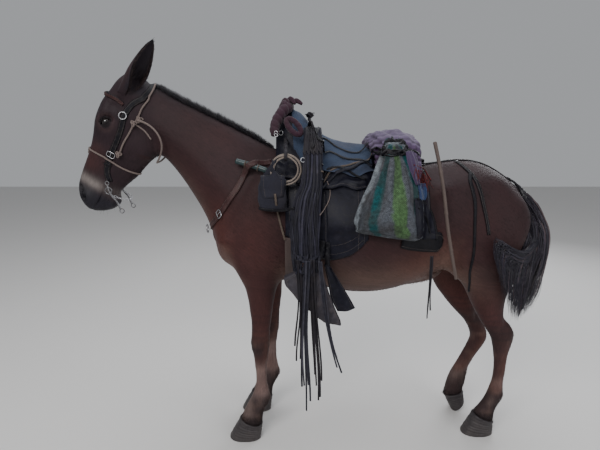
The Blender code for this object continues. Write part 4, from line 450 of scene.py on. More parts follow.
class Net:
    """Vertices, edges and triangles of a mesh as arrays, with simple smoothing."""

    def __init__(self, me):
        n = len(me.vertices)
        self.p = np.empty(n * 3)
        me.vertices.foreach_get("co", self.p)
        self.p = self.p.reshape(-1, 3)
        e = np.empty(len(me.edges) * 2, dtype=np.int64)
        me.edges.foreach_get("vertices", e)
        self.e = e.reshape(-1, 2)
        me.calc_loop_triangles()
        t = np.empty(len(me.loop_triangles) * 3, dtype=np.int64)
        me.loop_triangles.foreach_get("vertices", t)
        self.t = t.reshape(-1, 3)
        self.deg = np.bincount(self.e.ravel(), minlength=n).astype(float)
        self.n = n

    def lap(self, p=None):
        p = self.p if p is None else p
        a, b = self.e[:, 0], self.e[:, 1]
        out = np.empty_like(p)
        for k in range(p.shape[1]):
            out[:, k] = (np.bincount(a, p[b, k], self.n) + np.bincount(b, p[a, k], self.n)) / self.deg
        return out - p

    def normals(self):
        p, t = self.p, self.t
        f = np.cross(p[t[:, 1]] - p[t[:, 0]], p[t[:, 2]] - p[t[:, 0]])
        out = np.zeros_like(p)
        for k in range(3):
            for j in range(3):
                out[:, k] += np.bincount(t[:, j], f[:, k], self.n)
        return out / (np.linalg.norm(out, axis=1, keepdims=True) + 1e-12)

    def smooth(self, times, mask=1.0):
        """Evens the surface without shrinking it."""
        mask = np.broadcast_to(mask, (self.n,))[:, None]
        for _ in range(times):
            self.p = self.p + 0.55 * mask * self.lap()
            self.p = self.p - 0.57 * mask * self.lap()

    def fill(self, times, mask=1.0):
        """Fills creases between forms, leaves what stands out."""
        mask = np.broadcast_to(mask, (self.n,))
        for i in range(times):
            if i % 4 == 0:
                nn = self.normals()
            d = (self.lap() * nn).sum(1)
            d = np.where(d > 0, d, 0.15 * d) * mask
            self.p = self.p + 0.7 * d[:, None] * nn

    def put(self, me):
        me.vertices.foreach_set("co", self.p.ravel())
        me.update()


def near(p, c, r):
    d = (p - np.asarray(c, float)) / np.asarray(r, float)
    return np.exp(-(d * d).sum(1))


def along(p, pts, r):
    """Soft band about a polyline."""
    P = np.array(pts, float)
    best = np.full(len(p), 1e9)
    for a, b in zip(P[:-1], P[1:]):
        ab = b - a
        u = np.clip(((p - a) @ ab) / (ab @ ab), 0, 1)
        d = np.linalg.norm(p - (a + u[:, None] * ab), axis=1)
        best = np.minimum(best, d)
    return np.exp(-(best / r) ** 2)


def model_face(net):
    """Hollows and ridges that the forms alone don't give."""
    for s in (-1, 1):
        n = net.normals()
        p = net.p
        H = lambda a, b, y: head_point(a, b, s * y)
        d = np.zeros(len(p))
        d -= 0.007 * near(p, H(0.095, -0.045, 0.085), (0.024, 0.03, 0.022))      # hollow over the eye
        d -= 0.006 * near(p, H(0.245, -0.020, 0.070), (0.045, 0.03, 0.060))      # beside the nose
        d -= 0.004 * near(p, H(0.330, -0.110, 0.055), (0.05, 0.03, 0.05))       # in front of the jaw muscle
        d -= 0.010 * near(p, H(0.516, -0.014, 0.055), (0.014, 0.02, 0.017))      # nostril
        d -= 0.003 * along(p, [H(0.585, -0.055, 0.0), H(0.555, -0.085, 0.040),
                               H(0.500, -0.100, 0.052), H(0.450, -0.110, 0.052)], 0.006)   # mouth
        d -= 0.006 * near(p, H(0.470, -0.175, 0.0), (0.02, 0.06, 0.03))          # chin groove
        d += 0.003 * along(p, [H(0.110, -0.010, 0.080), H(0.118, -0.035, 0.090)], 0.014)
        net.p = p + d[:, None] * n


def model_body(net):
    """Muscle and bone under the skin of trunk, neck and limbs."""
    n = net.normals()
    p = net.p
    d = np.zeros(len(p))
    for s in (-1, 1):
        side = 1.0 / (1.0 + np.exp(-s * p[:, 1] / 0.02))
        low = 0.03 if s > 0 else 0.0
        fx = FARFORE_SHIFT[0] if s > 0 else 0.0
        d += side * (
            # flank hollow, point of hip, groove behind the thigh, fold of the stifle
            -0.012 * near(p, (0.570, s * 0.21, 1.110 - low), (0.060, 0.1, 0.085))
            + 0.009 * near(p, (0.612, s * 0.20, 1.215 - low), (0.035, 0.06, 0.030))
            - 0.006 * along(p, [(0.905, s * 0.16, 1.130), (0.900, s * 0.20, 1.000), (0.900, s * 0.20, 0.880)], 0.022)
            + 0.007 * near(p, (0.742 - low, s * 0.20, 0.905 - low), (0.040, 0.06, 0.045))
            - 0.006 * along(p, [(0.690, s * 0.22, 0.980), (0.665, s * 0.20, 0.900)], 0.025)
            # behind the shoulder, edge of the blade, point of the shoulder, back of the arm
            - 0.010 * along(p, [(-0.020, s * 0.16, 1.240), (-0.030, s * 0.19, 1.100), (-0.030, s * 0.18, 0.960)], 0.035)
            - 0.006 * along(p, [(-0.190, s * 0.12, 1.300), (-0.290, s * 0.15, 1.120), (-0.350, s * 0.13, 1.010)], 0.024)
            + 0.008 * near(p, (-0.338, s * 0.145, 0.985), (0.035, 0.05, 0.035))
            + 0.007 * near(p, (-0.120 + fx * 0.4, s * 0.19, 0.930), (0.070, 0.06, 0.070))
            - 0.006 * along(p, [(-0.230 + fx, s * 0.19, 0.960), (-0.170 + fx, s * 0.19, 0.850)], 0.018)
            # neck: gullet groove and the long muscle above it
            - 0.006 * along(p, [(-0.640, s * 0.08, 1.380), (-0.540, s * 0.09, 1.260), (-0.420, s * 0.11, 1.080)], 0.022)
            + 0.004 * along(p, [(-0.600, s * 0.08, 1.460), (-0.450, s * 0.10, 1.330), (-0.300, s * 0.13, 1.180)], 0.035))
    # groove between the breast muscles, between the thighs behind
    d -= 0.010 * along(p, [(-0.420, 0.0, 0.960), (-0.390, 0.0, 0.890)], 0.016)
    d -= 0.010 * along(p, [(1.010, 0.0, 1.080), (0.990, 0.0, 0.960)], 0.020)
    # limbs: knee, tendons, hock, fetlock
    for x, y in ((0.0, -0.130), (FARFORE_SHIFT[0], FARFORE_SHIFT[1])):
        d += 0.004 * near(p, (-0.222 + x, y, 0.485), (0.02, 0.05, 0.035))
        for s in (-1, 1):
            d -= 0.0045 * along(p, [(-0.172 + x, y + s * 0.035, 0.395), (-0.172 + x, y + s * 0.030, 0.250)], 0.009)
            d += 0.003 * near(p, (-0.180 + x, y + s * 0.040, 0.485), (0.03, 0.02, 0.03))
    for pts, y in (([(0.962, 0.0, 0.425), (0.958, 0.0, 0.270)], -0.100), ([(0.925, 0.0, 0.345), (0.862, 0.0, 0.225)], 0.090)):
        for s in (-1, 1):
            d -= 0.0045 * along(p, [(a, y + s * 0.030, c) for a, b, c in pts], 0.009)
    for x, y, z in ((0.955, -0.107, 0.605), (0.900, 0.103, 0.520)):
        for s in (-1, 1):
            d -= 0.009 * near(p, (x, y + s * 0.035, z), (0.018, 0.03, 0.045))     # in front of the hock's cord
    net.p = p + d[:, None] * n


def flesh(size, fill, ease):
    """The whole animal in one skin."""
    v, f = join(flesh_forms())
    ob = mesh_object("flesh", v, f, fix=False)
    remesh(ob, size)
    net = Net(ob.data)
    head = 1.0 / (1.0 + np.exp(((net.p[:, 0] + 0.66) * 0.93 + (net.p[:, 2] - 1.40) * -0.37) / 0.02))
    low = 1.0 / (1.0 + np.exp((net.p[:, 2] - 0.62) / 0.04))
    keep = (1.0 - head) * (1.0 - low)
    net.fill(fill // 4, 1.0 - 0.55 * head - 0.45 * low)
    net.fill(fill - fill // 4, keep)
    for _ in range(ease):
        net.p = net.p + 0.5 * keep[:, None] * net.lap()
    net.smooth(6, 1.0 - 0.5 * head)
    model_body(net)
    model_face(net)
    net.smooth(2, 0.6)
    net.put(ob.data)
    return ob


def facet(ob, count):
    tri = sum(len(f.vertices) - 2 for f in ob.data.polygons)
    m = ob.modifiers.new("Facet", "DECIMATE")
    m.ratio = min(1.0, count / tri)
    m.use_collapse_triangulate = True
    return apply_modifiers(ob)


def tri_count(ob):
    return sum(len(f.vertices) - 2 for f in ob.data.polygons)


def boolean(ob, cutter, op="DIFFERENCE"):
    m = ob.modifiers.new("Cut", "BOOLEAN")
    m.operation = op
    m.solver = "EXACT"
    m.object = cutter
    return apply_modifiers(ob)


def islands(ob):
    """Splits a mesh into its loose bodies, largest first."""
    bm = bmesh.new()
    bm.from_mesh(ob.data)
    bm.verts.ensure_lookup_table()
    seen = set()
    out = []
    for v in bm.verts:
        if v.index in seen:
            continue
        stack, comp = [v], []
        seen.add(v.index)
        while stack:
            a = stack.pop()
            comp.append(a.index)
            for e in a.link_edges:
                b = e.other_vert(a)
                if b.index not in seen:
                    seen.add(b.index)
                    stack.append(b)
        out.append(set(comp))
    res = []
    for comp in out:
        b2 = bm.copy()
        b2.verts.ensure_lookup_table()
        bmesh.ops.delete(b2, geom=[x for x in b2.verts if x.index not in comp], context="VERTS")
        me = bpy.data.meshes.new("bit")
        vol = abs(b2.calc_volume())
        b2.to_mesh(me)
        b2.free()
        res.append((vol, me))
    bm.free()
    res.sort(key=lambda x: -x[0])
    return res


def keep_largest(ob):
    res = islands(ob)
    old = ob.data
    ob.data = res[0][1]
    for _, me in res[1:]:
        bpy.data.meshes.remove(me)
    bpy.data.meshes.remove(old)
    return ob


def clean(ob, dist=0.00002):
    bm = bmesh.new()
    bm.from_mesh(ob.data)
    bmesh.ops.remove_doubles(bm, verts=bm.verts, dist=dist)
    bmesh.ops.dissolve_degenerate(bm, dist=dist, edges=bm.edges)
    bmesh.ops.triangulate(bm, faces=bm.faces)
    bmesh.ops.recalc_face_normals(bm, faces=bm.faces)
    if bm.calc_volume(signed=True) < 0:
        bmesh.ops.reverse_faces(bm, faces=bm.faces)
    bm.to_mesh(ob.data)
    bm.free()
    return ob


def swollen(ob, by, name="swollen"):
    """A copy of a solid grown along its normals, for trimming what lies on it."""
    net = Net(ob.data)
    me = ob.data.copy()
    net.p = net.p + by * net.normals()
    net.put(me)
    c = bpy.data.objects.new(name, me)
    WORK.objects.link(c)
    return c


def block(size, centre, turn=(0, 0, 0)):
    bm = bmesh.new()
    bmesh.ops.create_cube(bm, size=1.0)
    M = (Matrix.Translation(Vector(centre)) @ Matrix.Rotation(turn[2], 4, "Z") @ Matrix.Rotation(turn[1], 4, "Y")
         @ Matrix.Rotation(turn[0], 4, "X") @ Matrix.Diagonal((size[0], size[1], size[2], 1.0)))
    bmesh.ops.transform(bm, matrix=M, verts=bm.verts)
    me = bpy.data.meshes.new("block")
    bm.to_mesh(me)
    bm.free()
    ob = bpy.data.objects.new("block", me)
    WORK.objects.link(ob)
    return ob


def drop(ob):
    me = ob.data
    bpy.data.objects.remove(ob, do_unlink=True)
    if me.users == 0:
        bpy.data.meshes.remove(me)


# ear: share of length, half width, how far round it closes (degrees), depth share
EAR = [(0.00, 0.026, 165, 1.00), (0.12, 0.034, 150, 0.98), (0.28, 0.044, 120, 0.90), (0.45, 0.050, 98, 0.78),
       (0.62, 0.047, 84, 0.66), (0.78, 0.037, 74, 0.56), (0.90, 0.024, 68, 0.46), (0.97, 0.011, 60, 0.40),
       (1.00, 0.004, 55, 0.35)]
# base, tip, way the cup opens, bow of the axis
EAR_NEAR = ((-0.760, -0.062, 1.612), (-0.604, -0.088, 1.824), (0.92, -0.42, 0.10), (0.012, -0.009, -0.004))
EAR_FAR = ((-0.752, 0.062, 1.606), (-0.722, 0.152, 1.800), (0.80, 0.60, 0.05), (-0.014, 0.012, 0.004))


def ear_grid(spec, nv, nu, inset=0.0):
    base, tip, face, bow = (np.asarray(a, float) for a in spec)
    A = unit(tip - base)
    O = unit(face - A * np.dot(face, A))
    S = np.cross(A, O)
    q = np.linspace(0, 1, nv)
    row = hermite([r[0] for r in EAR], [r[1:] for r in EAR], q)
    grid = np.zeros((nv, nu, 3))
    for i in range(nv):
        r, phi, dep = row[i]
        c = base + (tip - base) * q[i] + bow * math.sin(math.pi * q[i])
        a = np.radians(np.linspace(-phi, phi, nu))
        rr = max(r - inset, 0.001)
        grid[i] = c + (np.sin(a) * rr)[:, None] * S - (np.cos(a) * rr * dep)[:, None] * O + (rr * dep * 0.25) * O
    return grid


def sheet_solid(name, outer, inner, coll):
    """A closed slab between two grids of the same shape."""
    nv, nu = outer.shape[:2]
    verts = np.concatenate([outer.reshape(-1, 3), inner.reshape(-1, 3)])
    k = nv * nu
    F = []
    for i in range(nv - 1):
        for j in range(nu - 1):
            a, b, c, d = i * nu + j, i * nu + j + 1, (i + 1) * nu + j + 1, (i + 1) * nu + j
            F += [(a, b, c, d), (k + d, k + c, k + b, k + a)]
    for i in range(nv - 1):
        for j in (0, nu - 1):
            a, d = i * nu + j, (i + 1) * nu + j
            F.append((a, d, k + d, k + a) if j == 0 else (d, a, k + a, k + d))
    for j in range(nu - 1):
        for i in (0, nv - 1):
            a, b = i * nu + j, i * nu + j + 1
            F.append((b, a, k + a, k + b) if i == 0 else (a, b, k + b, k + a))
    return mesh_object(name, verts, F, coll)


# hoof: toe, heel on the sole; coronet front, back; middle y; half widths sole, coronet
HOOVES = {
    "hoof_front_left": ((-0.342, 0.0), (-0.186, 0.0), (-0.284, 0.106), (-0.181, 0.064), -0.130, 0.056, 0.043),
    "hoof_front_right": ((-0.308, 0.0), (-0.152, 0.0), (-0.250, 0.106), (-0.147, 0.064), 0.100, 0.056, 0.043),
    "hoof_hind_left": ((0.795, 0.0), (0.948, 0.0), (0.852, 0.110), (0.947, 0.068), -0.100, 0.050, 0.041),
    "hoof_hind_right": ((0.812, -0.006), (0.872, 0.052), (0.763, 0.090), (0.863, 0.112), 0.090, 0.048, 0.040),
}


# tail: dock and hair together, x, y, z, reach fore-and-aft, reach across
TAIL = [[(0.985, 0.000, 1.205, 0.034, 0.034), (1.042, -0.004, 1.147, 0.034, 0.034), (1.085, -0.016, 1.079, 0.036, 0.036),
         (1.101, -0.040, 1.013, 0.040, 0.042), (1.083, -0.080, 0.948, 0.046, 0.046), (1.056, -0.120, 0.889, 0.050, 0.046),
         (1.027, -0.155, 0.830, 0.054, 0.042), (1.006, -0.175, 0.767, 0.056, 0.036), (0.986, -0.185, 0.700, 0.042, 0.028),
         (0.968, -0.190, 0.641, 0.020, 0.016)],
        [(1.086, -0.070, 0.969, 0.045, 0.045), (1.020, -0.140, 0.923, 0.055, 0.045), (0.947, -0.215, 0.861, 0.078, 0.030),
         (0.878, -0.252, 0.892, 0.072, 0.020), (0.827, -0.266, 0.950, 0.050, 0.015), (0.808, -0.268, 0.985, 0.024, 0.010)]]
# mane: crest x, z below, height of the hair
MANE = [(-0.608, 1.650, 0.022), (-0.580, 1.638, 0.032), (-0.527, 1.612, 0.034), (-0.441, 1.568, 0.036), (-0.355, 1.522, 0.036),
        (-0.267, 1.480, 0.036), (-0.201, 1.446, 0.036), (-0.135, 1.408, 0.030)]




# ---------------------------------------------------------------- pieces and their table
MADE = []


def piece(ob, mat=None, replaces=(), smooth=True):
    """Hands a finished piece over: its material, its body, the solids it stands for."""
    if ob.name not in PIECES.objects:
        for c in list(ob.users_collection):
            c.objects.unlink(ob)
        PIECES.objects.link(ob)
    if mat is not None:
        ob.data.materials.clear()
        ob.data.materials.append(mat)
    if smooth:
        ob.data.polygons.foreach_set("use_smooth", np.ones(len(ob.data.polygons), dtype=bool))
    ob.data.transform(Matrix.Translation(Vector(SHIFT)))
    ob.data.update()
    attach(ob, "root")
    if replaces:
        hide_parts(*replaces)
    MADE.append(ob)
    return ob


def smooth01(x, a, b):
    t = np.clip((x - a) / (b - a), 0.0, 1.0)
    return t * t * (3 - 2 * t)


def srgb(r, g, b):
    c = np.array([r, g, b], float) / 255.0
    return np.where(c <= 0.04045, c / 12.92, ((c + 0.055) / 1.055) ** 2.4)


def noise3(p, scale, seed=0):
    """Smooth value noise from a hash of a lattice, one number a point."""
    q = p * scale + seed * 17.13
    i = np.floor(q).astype(np.int64)
    f = q - i
    f = f * f * (3 - 2 * f)
    out = np.zeros(len(p))
    for dx in (0, 1):
        for dy in (0, 1):
            for dz in (0, 1):
                h = ((i[:, 0] + dx) * 73856093) ^ ((i[:, 1] + dy) * 19349663) ^ ((i[:, 2] + dz) * 83492791)
                h = (h ^ (h >> 13)) * 1274126177
                v = ((h ^ (h >> 16)) & 0xFFFF) / 65535.0
                w = (f[:, 0] if dx else 1 - f[:, 0]) * (f[:, 1] if dy else 1 - f[:, 1]) * (f[:, 2] if dz else 1 - f[:, 2])
                out += w * v
    return out * 2 - 1


def head_axes(p):
    """Down the face, forward of the head's line, and side, for places in the head."""
    q = p - np.array(BROW)
    return q @ np.array(DOWN), q @ np.array(FORE), p[:, 1]


# ---------------------------------------------------------------- skin
skin = flesh(0.0107, 120, 30)
tick("flesh")
for name, (toe, heel, cf, cb, yc, ws, wc) in HOOVES.items():
    ang = math.atan2(cb[1] - cf[1], cb[0] - cf[0])
    n = np.array([-math.sin(ang), 0, math.cos(ang)])
    m = np.array([(cf[0] + cb[0]) / 2, yc, (cf[1] + cb[1]) / 2]) + n * GAP
    c = block((0.26, 0.16, 0.20), m - n * 0.10, (0, -ang, 0))
    boolean(skin, c)
    drop(c)
keep_largest(skin)
tick("coronets")


def refine(ob, where, ease=2):
    """Splits the faces picked by where(points) in four, and evens them."""
    bm = bmesh.new()
    bm.from_mesh(ob.data)
    bm.verts.ensure_lookup_table()
    co = np.array([v.co for v in bm.verts])
    pick = where(co)
    edges = [e for e in bm.edges if pick[e.verts[0].index] and pick[e.verts[1].index]]
    bmesh.ops.subdivide_edges(bm, edges=edges, cuts=1, use_grid_fill=True, smooth=0.0)
    bm.to_mesh(ob.data)
    bm.free()
    if ease:
        net = Net(ob.data)
        net.smooth(ease, where(net.p).astype(float))
        net.put(ob.data)


def in_head(p):
    s, t, y = head_axes(p)
    return (s > -0.03) & (p[:, 0] < -0.60) & (t > -0.30)


def near_face_parts(p):
    s, t, y = head_axes(p)
    eye = np.zeros(len(p), bool)
    for side in (-1, 1):
        eye |= np.linalg.norm(p - np.array([EYE[0], side * EYE[1], EYE[2]]), axis=1) < 0.048
    return eye | ((s > 0.44) & in_head(p))


refine(skin, in_head)
refine(skin, in_head)
tick("head refined")
net = Net(skin.data)
COAT = 0.0028
net.p = net.p - COAT * net.normals()
net.put(skin.data)

# ears, with their own cup and edge, joined to the skin
for n, spec in (("ear_l", EAR_NEAR), ("ear_r", EAR_FAR)):
    outer = ear_grid(spec, 44, 33, 0.0008)
    inner = ear_grid(spec, 44, 33, 0.0040)
    e = sheet_solid(n, outer, inner, WORK)
    boolean(skin, e, "UNION")
    drop(e)
keep_largest(skin)
tick("ears joined")


def ear_base(p):
    out = np.zeros(len(p))
    for spec in (EAR_NEAR, EAR_FAR):
        b, tip = np.array(spec[0]), np.array(spec[1])
        c = b + (tip - b) * 0.10
        d = np.linalg.norm(p - c, axis=1)
        out = np.maximum(out, 1 - smooth01(d, 0.040, 0.062))
    return out


net = Net(skin.data)
m = ear_base(net.p)
for _ in range(10):
    net.p = net.p + 0.5 * m[:, None] * net.lap()
net.put(skin.data)
refine(skin, near_face_parts, 1)
tick("face parts refined")


def eye_axes(side):
    e1 = unit(np.array([-0.89, 0.0, -0.455]))
    e3 = unit(np.array([-0.22, side * 1.0, 0.05]))
    e3 = unit(e3 - e1 * np.dot(e3, e1))
    e2 = np.cross(e3, e1) * (1 if side < 0 else -1)
    if e2[2] < 0:
        e2 = -e2
    return e1, e2, e3


def model_eyes(net):
    for side in (-1, 1):
        c = np.array([EYE[0], side * EYE[1], EYE[2]])
        e1, e2, e3 = eye_axes(side)
        q = net.p - c
        u, v, w = q @ e1, q @ e2, q @ e3
        sel = (np.abs(u) < 0.06) & (np.abs(v) < 0.055) & (w > -0.02) & (w < 0.06)
        a = 0.0225
        k = np.clip(1 - (np.abs(u) / a) ** 1.9, 0, 1)
        top = 0.0104 * k ** 0.80
        bot = -0.0074 * k ** 0.95
        mid = (top + bot) / 2
        half = (top - bot) / 2
        # signed distance, roughly, to the rim of the opening
        dv = np.abs(v - mid) - half
        du = np.abs(u) - a
        out = np.where(np.abs(u) < a, dv, np.hypot(np.maximum(du, 0), np.maximum(np.abs(v - mid) - 0.0015, 0)))
        r2 = u * u + v * v
        ball_w = np.sqrt(np.maximum(EYE_R ** 2 - r2, 0.0))
        lid_w = np.sqrt(np.maximum((EYE_R + 0.0030) ** 2 - r2 * 0.80, 0.00004))
        inside = sel & (out < 0)
        lid = sel & (out >= 0)
        blend = np.exp(-(np.maximum(out - 0.003, 0) / 0.0115) ** 2)
        upper = smooth01(v - mid, 0.0, 0.006)
        crease = -0.0022 * np.exp(-((out - 0.0095) / 0.0022) ** 2) * upper * np.exp(-(u / 0.024) ** 2)
        crease += 0.0016 * np.exp(-((out - 0.0140) / 0.0035) ** 2) * upper * np.exp(-(u / 0.026) ** 2)
        crease += -0.0012 * np.exp(-((out - 0.0075) / 0.0020) ** 2) * (1 - upper) * np.exp(-(u / 0.02) ** 2)
        crease += 0.0010 * np.exp(-(out / 0.0025) ** 2)
        new = w.copy()
        new = np.where(lid, w + (lid_w - w) * blend + crease, new)
        new = np.where(inside, np.minimum(ball_w - 0.0035 - 0.05 * np.clip(-out, 0, 0.006), w + 0.02), new)
        net.p = net.p + ((new - w) * sel)[:, None] * e3
        # tear corner, a small notch towards the nose
        n = net.normals()
        net.p = net.p - (0.0025 * near(net.p, c + e1 * 0.0235 + e3 * 0.016, (0.004, 0.006, 0.004)))[:, None] * n


def nostril_path(side, k=0.0):
    H = lambda a, b, y: head_point(a, b, side * y)
    return [H(0.494, 0.010, 0.040), H(0.502, -0.004, 0.050), H(0.520, -0.014, 0.054), H(0.538, -0.022, 0.048)]


def model_muzzle(net):
    for side in (-1, 1):
        n = net.normals()
        H = lambda a, b, y: head_point(a, b, side * y)
        p = net.p
        keep = np.where(p[:, 1] * side > 0.004, 1.0, 0.0)
        line = nostril_path(side)
        near_line = along(p, line, 0.0124)
        rim = along(p, line, 0.0208) - near_line
        d = -0.0225 * near_line ** 1.3 + 0.0046 * np.clip(rim, 0, 1)
        # fold over the false nostril and its wing
        d += -0.0022 * along(p, [H(0.462, 0.016, 0.040), H(0.480, 0.014, 0.044)], 0.005)
        # lips
        lip = [H(0.585, -0.058, 0.0), H(0.575, -0.066, 0.020), H(0.552, -0.084, 0.040), H(0.520, -0.094, 0.050), H(0.480, -0.100, 0.053), H(0.448, -0.102, 0.051)]
        d += 0.0020 * along(p, [q + np.array(FORE) * 0.012 for q in lip], 0.008)
        d += 0.0022 * along(p, [q - np.array(FORE) * 0.012 for q in lip], 0.008)
        d -= 0.0058 * along(p, lip, 0.0032)
        # wrinkles at the corner, where the bit pulls
        for k in range(4):
            a = 0.452 - 0.010 * k
            d -= 0.0012 * along(p, [H(a, -0.088 + 0.004 * k, 0.052), H(a - 0.006, -0.104, 0.053), H(a - 0.004, -0.120, 0.050)], 0.0026)
        # chin
        d += 0.0030 * near(p, H(0.535, -0.140, 0.0), (0.022, 0.035, 0.022))
        d += 0.0012 * np.sin(p[:, 2] * 700 + p[:, 0] * 300) * near(p, H(0.560, -0.040, 0.030), (0.02, 0.02, 0.02)) * 0.4
        net.p = p + (d * keep)[:, None] * n


def model_head_detail(net):
    for side in (-1, 1):
        n = net.normals()
        p = net.p
        H = lambda a, b, y: head_point(a, b, side * y)
        d = np.zeros(len(p))
        # cheek ridge and the groove under it, vein, jaw edge, temple
        d += 0.0022 * along(p, [H(0.190, -0.062, 0.085), H(0.250, -0.068, 0.076), H(0.320, -0.074, 0.064), H(0.370, -0.076, 0.056)], 0.007)
        d -= 0.0018 * along(p, [H(0.200, -0.085, 0.085), H(0.270, -0.090, 0.074), H(0.340, -0.094, 0.060)], 0.010)
        d += 0.0013 * along(p, [H(0.250, -0.225, 0.045), H(0.300, -0.180, 0.055), H(0.330, -0.120, 0.056), H(0.345, -0.060, 0.052), H(0.330, -0.010, 0.045)], 0.0034)
        d += 0.0011 * along(p, [H(0.345, -0.060, 0.052), H(0.385, -0.030, 0.046), H(0.420, -0.010, 0.040)], 0.0030)
        d += 0.0015 * along(p, [H(0.120, -0.235, 0.030), H(0.190, -0.255, 0.034), H(0.260, -0.240, 0.030)], 0.009)
        d -= 0.0020 * near(p, H(0.060, -0.060, 0.080), (0.020, 0.020, 0.020))
        d -= 0.0020 * near(p, H(0.095, -0.120, 0.085), (0.030, 0.03, 0.030))
        d += 0.0012 * along(p, [H(0.080, -0.020, 0.080), H(0.092, -0.040, 0.088), H(0.110, -0.075, 0.086)], 0.005)
        d += 0.0006 * np.sin(head_axes(p)[0] * 900) * near(p, H(0.088, -0.030, 0.085), (0.02, 0.02, 0.014))
        net.p = p + d[:, None] * n


def model_body_detail(net):
    """Folds, veins and tendons that a short coat shows."""
    n = net.normals()
    p = net.p
    d = np.zeros(len(p))
    s_, t_, _ = head_axes(p)
    for side in (-1, 1):
        on = 1.0 / (1.0 + np.exp(-side * p[:, 1] / 0.01))
        low = 0.03 if side > 0 else 0.0
        fx = FARFORE_SHIFT[0] if side > 0 else 0.0
        # folds behind the elbow and at the throat, the flank's fold
        for k in range(4):
            d -= on * 0.0022 * along(p, [(-0.075 + fx * 0.4 + 0.013 * k, side * 0.17, 0.955 - 0.01 * k), (-0.085 + fx * 0.4 + 0.013 * k, side * 0.16, 0.885)], 0.005)
        for k in range(3):
            d -= on * 0.0016 * along(p, [(-0.640 + 0.016 * k, side * 0.068, 1.470), (-0.640 + 0.020 * k, side * 0.060, 1.400), (-0.650 + 0.022 * k, side * 0.035, 1.350)], 0.005)
        d -= on * 0.0040 * along(p, [(0.640, side * 0.21, 0.980), (0.610, side * 0.19, 0.880), (0.590, side * 0.16, 0.810)], 0.012)
        # ribs, hardly seen
        for k in range(7):
            x = 0.10 + 0.058 * k
            d += on * 0.0009 * along(p, [(x, side * 0.24, 1.10), (x + 0.05, side * 0.25, 0.98), (x + 0.04, side * 0.20, 0.84)], 0.012)
        # veins of the belly, forearm and thigh
        d += on * 0.0016 * along(p, [(-0.060, side * 0.13, 0.830), (0.060, side * 0.16, 0.810), (0.200, side * 0.17, 0.790), (0.330, side * 0.15, 0.775)], 0.0045)
        d += on * 0.0018 * along(p, [(-0.262 + fx, side * 0.125, 0.830), (-0.235 + fx, side * 0.118, 0.730), (-0.215 + fx, side * 0.105, 0.600)], 0.0042)
        d += on * 0.0018 * along(p, [(0.780, side * 0.08, 0.860), (0.850, side * 0.075, 0.720), (0.905, side * 0.075, 0.560)], 0.0045)
        # hamstrings and the split down the buttock
        d -= on * 0.0045 * along(p, [(0.985, side * 0.135, 1.080), (0.975, side * 0.165, 0.960), (0.948, side * 0.150, 0.860)], 0.012)
    for x, y, s in ((0.0, -0.130, 0), (FARFORE_SHIFT[0], FARFORE_SHIFT[1], 0)):
        # knee bones, chestnut, ergot, fetlock joint
        d += 0.0016 * along(p, [(-0.232 + x, y - 0.030, 0.500), (-0.234 + x, y + 0.030, 0.500)], 0.008)
        d -= 0.0016 * along(p, [(-0.228 + x, y - 0.035, 0.478), (-0.228 + x, y + 0.035, 0.478)], 0.006)
        d -= 0.0016 * along(p, [(-0.228 + x, y - 0.035, 0.445), (-0.228 + x, y + 0.035, 0.445)], 0.007)
        for sd in (-1, 1):
            d += 0.0020 * near(p, (-0.190 + x, y + sd * 0.036, 0.212), (0.022, 0.012, 0.022))
            d -= 0.0016 * along(p, [(-0.165 + x, y + sd * 0.030, 0.420), (-0.163 + x, y + sd * 0.027, 0.240)], 0.0045)
    net.p = p + d[:, None] * n


net = Net(skin.data)
model_head_detail(net)
model_muzzle(net)
net.smooth(1, in_head(net.p).astype(float) * 0.7)
model_eyes(net)
model_body_detail(net)
net.put(skin.data)
keep_largest(skin)
tick("skin modelled: %d triangles" % tri_count(skin))


# ---------------------------------------------------------------- markings, the same for skin and coat
DARK = srgb(38, 23, 26)
BROWN = srgb(62, 34, 32)
WARM = srgb(88, 48, 39)
PALE = srgb(108, 86, 76)
BLACK = srgb(19, 17, 22)
SLATE = srgb(29, 27, 34)
MEAL = srgb(132, 124, 120)


